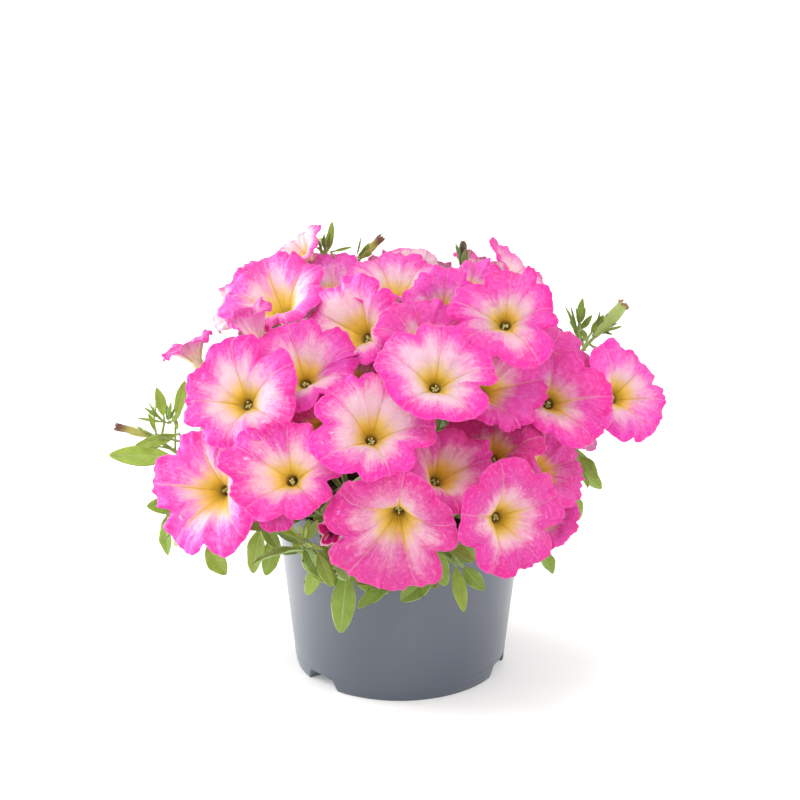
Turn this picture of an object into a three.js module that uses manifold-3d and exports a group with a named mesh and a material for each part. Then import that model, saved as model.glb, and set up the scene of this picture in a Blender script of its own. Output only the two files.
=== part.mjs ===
// A bushy potted petunia: a round grower's pot, its potting soil, eight leafy shoots, and the
// trumpet-shaped corollas and closed buds that stand on them. Millimetres, +Z up; the origin is the
// centre of the pot's foot circle, on the surface the pot stands on.
import * as THREE from "three";
import { mergeVertices } from "three/addons/utils/BufferGeometryUtils.js";
import Module from "manifold-3d";

// ---- driving dimensions -------------------------------------------------------------------
const POT_HEIGHT = 97; // foot to rim
const POT_BASE_R = 53.5; // outer radius at the foot
const POT_TAPER = 0.108; // outward lean of the wall, mm of radius per mm of height
const POT_WALL = 1.5; // wall thickness
const POT_FLOOR = 2; // floor thickness
const STEP_Z = 7; // height of the faint step above the foot
const RIM_Z = 88; // height where the rim band starts
const RIM_R = [64.7, 65.8]; // outer radius of the rim band at its foot and at its top
const NOTCH_AT = [-138, -19.5, 100.5]; // directions of the drainage notches in the foot, degrees
const NOTCH_HALF = [12, 8.5]; // half-angle of a notch at the foot and at its top, degrees
const NOTCH_H = 6.5; // height of a notch
const NOTCH_R = 46; // radius a notch reaches inwards to
const HOOD_T = 1.4; // thickness of the hood that closes a notch on the inside
const SOIL_Z = [86, 83.6]; // height of the soil's surface in the middle and at the wall
const CLEAR = 0.3; // gap between pieces that touch
const STEM_CLEAR = 0.45; // widening of the sockets that the stems leave in the soil
const PETAL_T = 0.9; // thickness of a corolla's skin
const LEAF_T = 0.7; // depth of a leaf's keel below its midrib
const POT_SIDES = 64; // sides of the pot's turned surfaces

// ---- small helpers ------------------------------------------------------------------------
// A repeatable stream of numbers in 0..1, so that each corolla has its own lobes and ripples.
function stream(seed) {
  let x = (seed * 7919 + 104729) % 2147483647;
  const u = () => (x = (x * 16807) % 2147483647) / 2147483647;
  u(), u(), u();
  return { u, g: () => 2 * (u() + u() + u() - 1.5) };
}
const list = (n, f) => Array.from({ length: n }, (_, i) => f(i));
const mod = (a, n) => ((a % n) + n) % n;
const clamp = (x, a, b) => Math.min(b, Math.max(a, x));

function geometryOf(points, faces) {
  const g = new THREE.BufferGeometry();
  g.setAttribute("position", new THREE.Float32BufferAttribute(points.flat(), 3));
  g.setIndex(faces.flat());
  g.computeVertexNormals();
  return g;
}

// ---- corolla ------------------------------------------------------------------------------
// The surface of one corolla in its own frame: the tube runs down -Z from the throat at the
// origin, and the limb opens towards +Z. s runs from -1 (foot of the tube) through 0 (throat)
// to 1 (margin); midribs lie at multiples of 72 degrees, with the notches half way between.
function shapeOf(seed) {
  const r = stream(seed);
  const lobe = list(5, () => 1 + 0.035 * r.g());
  const notch = list(5, () => 0.085 * (0.7 + 0.6 * r.u()));
  const phase = list(12, () => r.u() * 2 * Math.PI);
  const swing = list(12, () => r.g());
  const saddle = list(3, () => r.u() * 2 * Math.PI);
  return { lobe, notch, phase, swing, saddle };
}
const TUBE_TOP_R = 4.0,
  TUBE_FOOT_R = 1.7,
  RECURVE = 2.5;
function corollaPoint(f, th, s) {
  const { lobe, notch, phase, swing, saddle } = f.shape;
  const q = th / ((2 * Math.PI) / 5);
  const x = (mod(q + 0.5, 1) - 0.5) * 2,
    ax = Math.abs(x);
  const k0 = mod(Math.floor(q), 5),
    k1 = (k0 + 1) % 5;
  let w = q - Math.floor(q);
  w = w * w * (3 - 2 * w);
  const lob = lobe[k0] * (1 - w) + lobe[k1] * w;
  let rip = 0;
  for (let i = 0; i < 12; i++)
    rip += (swing[i] * Math.cos((6 + i) * th + phase[i])) / (1 + 0.15 * i);
  rip *= 0.3;
  const Rt =
    f.R *
    lob *
    (0.955 +
      0.055 * Math.sin(Math.PI * Math.min(ax, 1)) ** 0.8 +
      0.022 * Math.exp(-((x / 0.07) ** 2)) -
      notch[k0] * Math.exp(-(((1 - ax) / 0.12) ** 2)) +
      0.006 * rip);
  const t = clamp(s, 0, 1),
    u = clamp(-s, 0, 1);
  const rho =
    s > 0
      ? TUBE_TOP_R + (Rt - TUBE_TOP_R) * t
      : TUBE_FOOT_R + (TUBE_TOP_R - TUBE_FOOT_R) * (1 - u) ** 0.8;
  let z = f.h * (1 - (1 - t) ** 2);
  const valley = Math.exp(-Math.sqrt(x * x + 0.0009) / 0.22) - 0.22;
  z -= 2.3 * (Math.sin(Math.PI * t ** 0.6) * 0.85 + 0.25 * t) * valley;
  const q2 = th / (Math.PI / 5);
  const j0 = mod(Math.floor(q2), 10),
    j1 = (j0 + 1) % 10;
  let w2 = q2 - Math.floor(q2);
  w2 = w2 * w2 * (3 - 2 * w2);
  const bend = f.bend[j0] * (1 - w2) + f.bend[j1] * w2;
  const sad = 0.6 * Math.cos(2 * th + saddle[0]) + 0.35 * Math.cos(3 * th + saddle[1]);
  z +=
    (-RECURVE * clamp(t - 0.55, 0, 1) ** 2 * (0.65 + 0.35 * Math.cos(Math.PI * x))) / 0.2 +
    1.6 * t * t * sad -
    bend * t * t;
  z += 1.25 * rip * clamp((t - 0.35) / 0.65, 0, 1) ** 2;
  if (s <= 0) z = -f.Lt * u;
  return new THREE.Vector3(rho * Math.cos(th), rho * Math.sin(th), z);
}
// The corolla as a closed thin skin: the face, folded over at the margin into the back, which
// runs on down the outside of the tube.
function corollaGeometry(f) {
  const n = f.sides,
    th = list(n, (i) => (2 * Math.PI * i) / n);
  const skin = (s, side) =>
    th.map((a) => {
      const p = corollaPoint(f, a, s);
      if (!side) return p;
      const du = corollaPoint(f, a, Math.min(s + 0.03, 1)).sub(
        corollaPoint(f, a, Math.max(s - 0.03, 0.001)),
      );
      const dv = corollaPoint(f, a + 0.02, s).sub(corollaPoint(f, a - 0.02, s));
      const m = du.cross(dv).normalize();
      if (m.z < 0) m.negate();
      return p.addScaledVector(m, (side * PETAL_T) / 2);
    });
  const points = [
    ...skin(1, 0),
    ...skin(0.55, 1),
    ...skin(0.14, 1),
    new THREE.Vector3(0, 0, -0.45 * f.Lt),
    ...skin(0.55, -1),
    ...skin(0.1, -1),
    ...th.map((a) => new THREE.Vector3(2.3 * Math.cos(a), 2.3 * Math.sin(a), -f.Lt)),
    new THREE.Vector3(0, 0, -f.Lt),
  ].map((p) => [p.x, p.y, p.z]);
  const faces = [];
  const band = (a, b, flip) => {
    for (let i = 0; i < n; i++) {
      const j = (i + 1) % n;
      for (const t of [
        [a + i, b + i, b + j],
        [a + i, b + j, a + j],
      ])
        faces.push(flip ? [t[0], t[2], t[1]] : t);
    }
  };
  const cup = 3 * n,
    b1 = cup + 1,
    b2 = b1 + n,
    foot = b2 + n,
    end = foot + n;
  band(0, n, true);
  band(n, 2 * n, true);
  for (let i = 0; i < n; i++) faces.push([2 * n + i, 2 * n + ((i + 1) % n), cup]);
  band(0, b1, false);
  band(b1, b2, false);
  band(b2, foot, false);
  for (let i = 0; i < n; i++) faces.push([foot + i, end, foot + ((i + 1) % n)]);
  return geometryOf(points, faces);
}

// ---- leaf ---------------------------------------------------------------------------------
// A blade in its own frame: x along the midrib, y across, z the upper side. It curls down along
// its length, folds up a little along the midrib and waves at its edges.
function leafPoint(l, u, v) {
  const c = Math.abs(l.curl) < 1e-4 ? 1e-4 : l.curl;
  const hw =
    (l.W / 2) * Math.sin(Math.PI * clamp(u, 0, 1) ** 0.82) ** 0.78 * (1 - 0.12 * u) || 0;
  const up =
    hw * Math.abs(v) ** 1.3 * Math.sin(l.fold) +
    l.wave *
      Math.sin(2 * Math.PI * (1.8 * u + l.phase) + Math.sign(v) * 0.9) *
      v * v *
      Math.sin(Math.PI * u);
  return new THREE.Vector3(
    (l.L * Math.sin(c * u)) / c + up * Math.sin(c * u),
    hw * v * Math.cos(l.fold),
    (-l.L * (1 - Math.cos(c * u))) / c + up * Math.cos(c * u),
  );
}

// ---- stems --------------------------------------------------------------------------------
function tangentsOf(path, last) {
  return path.map((p, i) => {
    const back = i > 0 ? p.clone().sub(path[i - 1]).normalize() : null;
    const on = i < path.length - 1 ? path[i + 1].clone().sub(p).normalize() : last;
    return (back && on ? back.add(on) : back || on.clone()).normalize();
  });
}
// The direction of one corner of a four-sided stem at each point of its path, carried along it
// without twist: from the root outwards, or back from the blade of the leaf that it bears.
function sidesOf(path, tan, leaf) {
  const m = path.length,
    side = [];
  const u = leaf
    ? new THREE.Vector3(0, 1, 0).applyQuaternion(leaf.turn)
    : new THREE.Vector3().crossVectors(
        tan[0],
        Math.abs(tan[0].z) < 0.9 ? new THREE.Vector3(0, 0, 1) : new THREE.Vector3(1, 0, 0),
      );
  for (let k = 0; k < m; k++) {
    const i = leaf ? m - 1 - k : k;
    u.addScaledVector(tan[i], -u.dot(tan[i])).normalize();
    side[i] = u.clone();
  }
  return side;
}
// A four-sided stem along a path of points, with a radius at each point.
function stemSolid(path, radii, leaf = null) {
  const tan = tangentsOf(path, leaf ? new THREE.Vector3(1, 0, 0).applyQuaternion(leaf.turn) : null);
  const side = sidesOf(path, tan, leaf);
  const points = [],
    faces = [],
    m = path.length;
  for (let i = 0; i < m; i++) {
    const u = side[i],
      v = new THREE.Vector3().crossVectors(tan[i], u);
    for (let j = 0; j < 4; j++) {
      const a = (Math.PI / 2) * j;
      const p = path[i]
        .clone()
        .addScaledVector(u, radii[i] * Math.cos(a))
        .addScaledVector(v, radii[i] * Math.sin(a));
      points.push([p.x, p.y, p.z]);
    }
  }
  for (let i = 0; i < m - 1; i++)
    for (let j = 0; j < 4; j++) {
      const k = (j + 1) % 4,
        a = i * 4,
        b = a + 4;
      faces.push([a + j, a + k, b + k], [a + j, b + k, b + j]);
    }
  const e = (m - 1) * 4;
  for (let j = 1; j < 3; j++) faces.push([0, j + 1, j], [e, e + j, e + j + 1]);
  return solidOf(geometryOf(points, faces));
}
// A leaf stalk along a path that carries on as the blade, in one skin.
function leafSolid(path, radii, l) {
  const tan = tangentsOf(path, new THREE.Vector3(1, 0, 0).applyQuaternion(l.turn)),
    side = sidesOf(path, tan, l),
    m = path.length,
    points = [];
  for (let i = 0; i < m; i++) {
    const v = new THREE.Vector3().crossVectors(tan[i], side[i]),
      r = radii[i];
    for (const [a, b] of [
      [-r, 0],
      [0, r],
      [r, 0],
      [0, -r],
    ])
      points.push(path[i].clone().addScaledVector(side[i], a).addScaledVector(v, b));
  }
  const place = (p) => p.applyQuaternion(l.turn).add(l.at);
  for (const s of [0.3, 0.7]) {
    const down = new THREE.Vector3(Math.sin(l.curl * s), 0, Math.cos(l.curl * s));
    points.push(
      place(leafPoint(l, s, -1)),
      place(leafPoint(l, s, 0)),
      place(leafPoint(l, s, 1)),
      place(leafPoint(l, s, 0).addScaledVector(down, -LEAF_T)),
    );
  }
  points.push(place(leafPoint(l, 1, 0)));
  let faces = [
    [0, 2, 1],
    [0, 3, 2],
  ];
  for (let i = 0; i < m + 1; i++)
    for (let j = 0; j < 4; j++) {
      const k = (j + 1) % 4,
        a = i * 4,
        b = a + 4;
      // the underside's diagonals lie below those of the upper side, so that the skins can't cross
      if (j < 2) faces.push([a + j, a + k, b + k], [a + j, b + k, b + j]);
      else faces.push([a + j, a + k, b + j], [a + k, b + k, b + j]);
    }
  const a = (m + 1) * 4;
  for (let j = 0; j < 4; j++) faces.push([a + j, a + ((j + 1) % 4), a + 4]);
  let volume = 0;
  for (const [i, j, k] of faces)
    volume += points[i].dot(points[j].clone().cross(points[k]));
  if (volume < 0) faces = faces.map(([i, j, k]) => [i, k, j]);
  return solidOf(geometryOf(points.map((p) => [p.x, p.y, p.z]), faces));
}

// ---- closed bud ---------------------------------------------------------------------------
// Turned about +Z: [share of the length, share of the greatest radius].
const BUD_PROFILE = [
  [0, 0.3],
  [0.12, 0.42],
  [0.4, 0.62],
  [0.66, 0.98],
  [0.82, 1],
  [0.94, 0.72],
  [1, 0.35],
];
function budGeometry(b, gap) {
  const profile = [new THREE.Vector2(0, gap)];
  for (const [z, r] of BUD_PROFILE) profile.push(new THREE.Vector2(r * b.r, gap + z * (b.L - gap)));
  profile.push(new THREE.Vector2(0, b.L));
  return turned(profile, 8);
}

// ---- joining and cutting ------------------------------------------------------------------
const wasm = await Module();
wasm.setup();
function solidOf(geometry) {
  const bare = new THREE.BufferGeometry();
  bare.setAttribute("position", geometry.getAttribute("position"));
  bare.setIndex(geometry.getIndex());
  const g = mergeVertices(bare, 1e-4);
  return new wasm.Manifold(
    new wasm.Mesh({
      numProp: 3,
      vertProperties: new Float32Array(g.getAttribute("position").array),
      triVerts: new Uint32Array(g.getIndex().array),
    }),
  );
}
function geometryFrom(solid) {
  const m = solid.getMesh(),
    points = [];
  for (let i = 0; i < m.vertProperties.length; i += m.numProp)
    points.push(m.vertProperties[i], m.vertProperties[i + 1], m.vertProperties[i + 2]);
  const g = new THREE.BufferGeometry();
  g.setAttribute("position", new THREE.Float32BufferAttribute(points, 3));
  g.setIndex(Array.from(m.triVerts));
  g.computeVertexNormals();
  return g;
}
// A profile of (radius, height) turned about +Z.
function turned(profile, sides) {
  const g = new THREE.LatheGeometry(profile, sides);
  g.rotateX(Math.PI / 2);
  return g;
}
// A box-like prism between two heights whose plan is a sector, for the notches of the foot.
function sector(r0, r1, z0, z1, at, half0, half1) {
  const d = Math.PI / 180,
    p = [];
  for (const [z, h] of [
    [z0, half0],
    [z1, half1],
  ])
    for (const [r, a] of [
      [r0, at - h],
      [r1, at - h],
      [r1, at + h],
      [r0, at + h],
    ])
      p.push([r * Math.cos(a * d), r * Math.sin(a * d), z]);
  return solidOf(
    geometryOf(p, [
      [0, 2, 1], [0, 3, 2], [4, 5, 6], [4, 6, 7],
      [0, 1, 5], [0, 5, 4], [1, 2, 6], [1, 6, 5],
      [2, 3, 7], [2, 7, 6], [3, 0, 4], [3, 4, 7],
    ]),
  );
}

// ---- where everything stands ---------------------------------------------------------------
// Each leaf: foot of the blade, quaternion, length, width, curl, fold, wave, phase.
const LEAVES = [
  [[-114.4,-15,114.57],[-0.29708,0.44765,-0.82556,0.17263],35.44,11.71,0.35,0.264,0.679,0.066],
  [[-111.31,-12,125.27],[-0.12636,0.07981,-0.9628,0.2251],23.98,9.05,0.4,0.353,0.977,0.774],
  [[-119.1,-5,133.27],[0.23987,-0.5399,0.52448,0.6131],17.21,5.32,-0.2,0.344,1.043,0.248],
  [[-113.34,-3,128.12],[0.49687,-0.28216,0.57075,0.5897],25.22,6.39,-0.15,0.269,1.068,0.797],
  [[-110.58,-20,94.33],[-0.31554,0.52123,-0.75209,0.25121],19.24,10.11,0.5,0.31,1.371,0.033],
  [[-116.89,-25,89.94],[0.41901,0.12029,-0.72717,0.53026],20.55,7.99,0.5,0.236,1.351,0.246],
  [[-96.3,-45,85.13],[0.20276,0.21755,-0.39458,0.86941],22.69,12.24,0.5,0.377,0.972,0.317],
  [[-68.19,-49.05,94.51],[0.40257,0.34094,-0.71895,0.45256],25.02,9.58,0.5,0.258,0.975,0.741],
  [[-61.36,-48.16,90.87],[0.31474,0.50274,-0.58677,0.55127],23.21,9.58,0.4,0.26,1.153,0.631],
  [[-70.53,-59.72,106.66],[0.54154,0.2675,-0.39157,0.69415],24.82,7.51,0.199,0.249,0.976,0.266],
  [[-64.61,-59.75,107.77],[0.20912,-0.05794,-0.45604,0.8631],24.76,7.99,0.4,0.406,0.75,0.48],
  [[-65.23,-49.69,92.63],[-0.07762,-0.07894,-0.46107,0.88043],28.88,6.92,0.3,0.248,1.112,0.588],
  [[-54.26,-53.21,90.95],[0.49448,-0.17637,-0.46707,0.7115],19.75,6.39,0.3,0.268,0.862,0.767],
  [[-126.15,-12.5,127.22],[-0.50271,0.51846,-0.6912,0.02705],14.12,4.26,0.2,0.338,1.207,0.796],
  [[-117.03,-14,131.49],[0.50783,-0.58942,0.61253,0.13963],18.04,4.79,0.2,0.37,1.02,0.288],
  [[-124.54,-12,118.76],[-0.43815,0.36615,-0.82089,0.0098],14.78,3.73,0.2,0.25,1.241,0.784],
  [[-78.73,-19.8,102.49],[0.08178,0.07617,-0.98915,0.09533],37.92,18.3,0.619,0.448,1.043,0.551],
  [[-72.13,-28.19,104.4],[0.14789,0.08778,-0.95945,0.22334],28.61,16.6,1.001,0.394,0.882,0.317],
  [[-68.21,-13.79,117.69],[-0.0503,-0.09857,-0.99305,0.04015],37.54,16.72,0.6,0.217,1.029,0.71],
  [[-50.8,-9.23,107.06],[-0.15155,-0.12017,-0.96555,0.17407],31.64,16.16,0.5,0.321,1.154,0.545],
  [[-39.21,-21.49,99.59],[0.17259,-0.04305,0.98385,0.01999],32.49,19.82,0.5,0.298,1.242,0.216],
  [[-50.55,-35.89,140],[-0.099,-0.24903,-0.83579,0.47921],26.79,13.42,0.5,0.41,1.053,0.564],
  [[-63.23,-9.88,150],[-0.33712,-0.04514,-0.88937,0.30549],32.92,15.75,0.5,0.388,0.832,0.134],
  [[-55.68,-22.36,160],[-0.23134,-0.15815,-0.91059,0.3038],32.69,13.57,0.5,0.348,1.246,0.607],
  [[-62.73,-40.44,76.7],[-0.1468,-0.13534,-0.45266,0.86904],28.42,5.32,0.2,0.274,0.826,0.076],
  [[-49.02,-63.22,92.72],[0.24427,0.15085,-0.45715,0.84178],28.43,14.37,0.45,0.283,0.639,0.472],
  [[-25.6,-83.85,85.08],[0.41235,0.59634,-0.62599,0.2872],32.25,14.37,0.45,0.252,1.046,0.655],
  [[-34.28,-67.83,84.59],[0.51757,0.13993,-0.53019,0.65685],19,7.99,0.3,0.332,1.388,0.135],
  [[-39.15,-68.12,98.95],[0.24038,0.21747,-0.44425,0.8352],22.28,9.01,0.271,0.289,1.04,0.886],
  [[-42.72,-76.94,99.37],[0.46377,-0.42533,0.75677,0.17693],13.34,4.79,0.3,0.238,1.128,0.914],
  [[-39.76,-84.12,102.28],[0.41685,-0.65179,0.18501,0.60595],14.41,4.26,0.202,0.312,1.315,0.003],
  [[-33.01,-35.56,103.92],[-0.14796,-0.14923,-0.82626,0.52263],29.31,15.68,0.5,0.29,0.83,0.063],
  [[-16.97,-46.15,103],[-0.23285,-0.03696,-0.80371,0.54632],31.51,17.28,0.5,0.393,0.98,0.927],
  [[-3.49,-50.22,109.51],[-0.0716,-0.26273,-0.55769,0.78411],27.78,14.29,0.5,0.392,1.455,0.231],
  [[-13.03,-48.27,128],[-0.283,-0.18407,-0.75125,0.56715],31.26,15.71,0.5,0.222,1.487,0.335],
  [[-18.86,-30.35,147.61],[-0.13796,-0.2483,-0.81798,0.50021],27.1,11.63,0.5,0.38,0.889,0.169],
  [[-24.97,-71.78,76.19],[0.07315,-0.14043,-0.33657,0.92825],26.28,7.99,0.4,0.251,1.21,0.321],
  [[-3.41,-77.93,76.87],[0.138,0.25653,-0.927,0.23625],21.37,8.52,0.35,0.242,0.709,0.691],
  [[10.71,-75.24,92.22],[0.49142,0.28422,-0.71667,0.40511],28.52,14.37,0.35,0.372,0.641,0.931],
  [[27.35,-70.91,88.13],[0.38362,0.4656,-0.47151,0.64322],31.17,9.05,0.3,0.331,1.231,0.263],
  [[29.53,-72.08,85.88],[0.45763,0.24508,-0.4221,0.7432],21.55,10.9,0.4,0.356,1.393,0.321],
  [[17.47,-78.07,96.69],[0.11842,0.02583,-0.15188,0.98094],20.42,10.65,0.5,0.377,0.601,0.904],
  [[14.82,-77.37,97.68],[0.41448,0.31691,-0.47622,0.70781],22.53,10.19,0.4,0.266,0.672,0.623],
  [[12.41,-49.02,103.13],[-0.13945,-0.22421,-0.47827,0.83758],34.1,16.54,0.5,0.278,1.426,0.805],
  [[21.33,-45.57,108.14],[-0.02584,-0.3062,-0.53474,0.78716],32.7,18.87,0.5,0.246,1.306,0.62],
  [[35.69,-35.91,102.52],[-0.00387,-0.23755,-0.29939,0.92408],39.48,20.09,0.5,0.378,1.573,0.312],
  [[31.7,-50.94,135],[0.0554,-0.34482,-0.2397,0.90585],28.51,13.24,0.5,0.32,1.271,0.204],
  [[8.11,-37.13,150],[-0.10256,-0.27771,-0.64081,0.70832],30.53,17.4,0.5,0.269,0.98,0.363],
  [[67.31,-50.25,84.22],[0.32261,0.33626,-0.27045,0.84244],18.24,8.52,0.5,0.4,0.779,0.867],
  [[88.72,-40,128.19],[0.35943,0.10939,-0.46956,0.79897],21.1,9.05,0.5,0.292,1.207,0.296],
  [[89.99,-38,119.87],[0.14741,0.39401,-0.39961,0.81446],13.73,4.79,0.3,0.335,0.632,0.718],
  [[73.92,-26.41,104.91],[0.13573,0.14672,-0.1016,0.97454],41.19,19.81,0.866,0.377,1.163,0.544],
  [[76.32,-9.38,98.53],[-0.03548,0.19506,-0.19814,0.95991],30.71,21.36,0.81,0.384,1.118,0.576],
  [[72.45,-9.18,115.7],[-0.12623,-0.12103,-0.11054,0.97836],31.73,17.77,0.6,0.444,0.811,0.107],
  [[49.82,-23.61,102.91],[-0.06374,-0.17817,-0.28899,0.93844],30.75,18.08,0.5,0.38,1.494,0.853],
  [[61.31,-24.42,145],[-0.14731,-0.30034,-0.28023,0.89976],34.44,17.69,0.5,0.347,1.025,0.434],
  [[36.56,-20.68,160],[0.14517,-0.0849,-0.34766,0.92242],25.72,13.07,0.5,0.419,0.874,0.223],
  [[92.56,9.67,166.95],[0.43712,-0.56807,0.60666,0.34378],25.66,3.73,0,0.249,0.745,0.946],
  [[92.68,12,166.61],[0.54915,-0.36258,0.66062,0.36132],25.76,4.26,0,0.302,1.287,0.706],
  [[92.94,8,167.57],[0.47774,-0.61941,0.22688,0.5802],21.37,4.79,0.1,0.348,1.374,0.482],
  [[96.41,0,172.17],[0.32554,-0.33262,-0.101,0.87931],17.91,3.73,0.2,0.322,0.923,0.45],
  [[95.5,6.38,172.22],[0.24065,-0.52549,0.21502,0.78722],17.63,3.73,0.1,0.408,1.116,0.486],
  [[73.93,9.06,106.1],[0.14164,0.05014,-0.16799,0.97427],35.09,19.06,0.585,0.323,1.199,0.282],
  [[67.3,29.35,102.76],[0.0281,0.24759,0.26961,0.93017],39.81,22.45,0.661,0.238,1.491,0.861],
  [[58.64,49.43,100.82],[-0.05702,-0.02113,0.23434,0.97025],29.11,18.06,0.477,0.417,0.845,0.203],
  [[65.79,16.67,124.41],[-0.20464,-0.01023,-0.15354,0.96667],35.11,18.67,0.6,0.347,1.17,0.864],
  [[55.81,43.31,115.55],[0.06815,0.00568,0.53631,0.84125],35.57,18.77,0.6,0.368,1.326,0.903],
  [[58.53,13.2,150],[0.01451,-0.40133,0.13361,0.90602],27.63,16.08,0.5,0.407,1.21,0.744],
  [[30,0.33,170],[-0.242,-0.22076,-0.233,0.91565],28.15,14.95,0.5,0.203,1.495,0.131],
  [[43.59,67.52,98.39],[-0.16602,0.16522,0.54868,0.80255],38.43,20.51,0.509,0.442,0.931,0.216],
  [[23.02,61.95,106.11],[-0.15938,0.30715,0.41319,0.84233],30.35,17.78,1.102,0.22,1.218,0.217],
  [[17.44,77.03,99.46],[-0.03882,0.307,0.66569,0.67904],30.51,18.04,0.85,0.425,0.944,0.894],
  [[18.51,69.28,118.63],[0.06194,-0.00711,0.73348,0.67685],28.68,18.73,0.6,0.258,1.373,0.921],
  [[34.24,39.14,158],[-0.05681,-0.24228,0.30762,0.91839],24.84,12.39,0.5,0.343,0.8,0.307],
  [[-30.29,32,207.09],[0.37805,-0.44879,0.01957,0.8095],9.71,3.19,0.3,0.363,1.301,0.443],
  [[-10.92,79.71,101],[-0.26472,0.07851,0.6926,0.66638],34.74,18.9,0.936,0.414,1.409,0.14],
  [[-31.33,79.81,105.01],[-0.03685,0.32122,0.58398,0.7446],28.32,16.15,0.58,0.436,1.042,0.494],
  [[-46.37,68.36,101.41],[-0.20035,0.26148,0.91553,0.23085],33.31,17.88,0.728,0.413,1.007,0.574],
  [[-3.57,67.03,112.27],[0.35,0.07394,0.73861,0.57139],33.85,16.85,0.6,0.288,1.106,0.071],
  [[-26.3,55.58,117.63],[-0.13895,-0.19392,0.70455,0.66836],29.14,14.08,0.6,0.213,1.08,0.008],
  [[-3.22,49.9,160],[0.05261,-0.04043,0.7151,0.69587],32.54,17.6,0.5,0.336,1.212,0.887],
  [[-1.25,28.05,179.21],[0.2363,-0.32053,0.7251,0.56183],30.32,13.24,0.287,0.238,1.024,0.07],
  [[-41.33,38.04,206.21],[0.36463,-0.44862,0.43456,0.6906],17.15,7.24,-0.1,0.344,1.074,0.925],
  [[-65.32,42.9,101.61],[-0.10346,0.46057,0.79125,0.38871],36.36,16.76,0.863,0.354,1.198,0.99],
  [[-75.64,29.39,104],[-0.24326,0.03863,0.96666,0.07004],31.02,20.26,1.093,0.297,0.866,0.393],
  [[-78.82,15.45,101.99],[0.13326,0.04567,-0.9845,0.10444],31.4,18.5,0.839,0.216,0.831,0.651],
  [[-61.1,34.01,124.03],[0.0869,-0.14808,0.95348,0.24779],35.27,14,0.6,0.227,0.987,0.825],
  [[-71.56,13.59,123.34],[0.04884,-0.04488,0.99068,0.11898],33.57,17.6,0.6,0.379,1.559,0.37],
  [[-37.71,35.43,159.27],[0.2057,-0.02263,0.91376,0.34961],26.59,13.26,0.5,0.247,1.293,0.838],
  [[-40.3,16.07,180.4],[0.45257,-0.12943,0.79388,0.38494],25.62,16.29,0.625,0.359,1.113,0.929],
];
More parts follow.
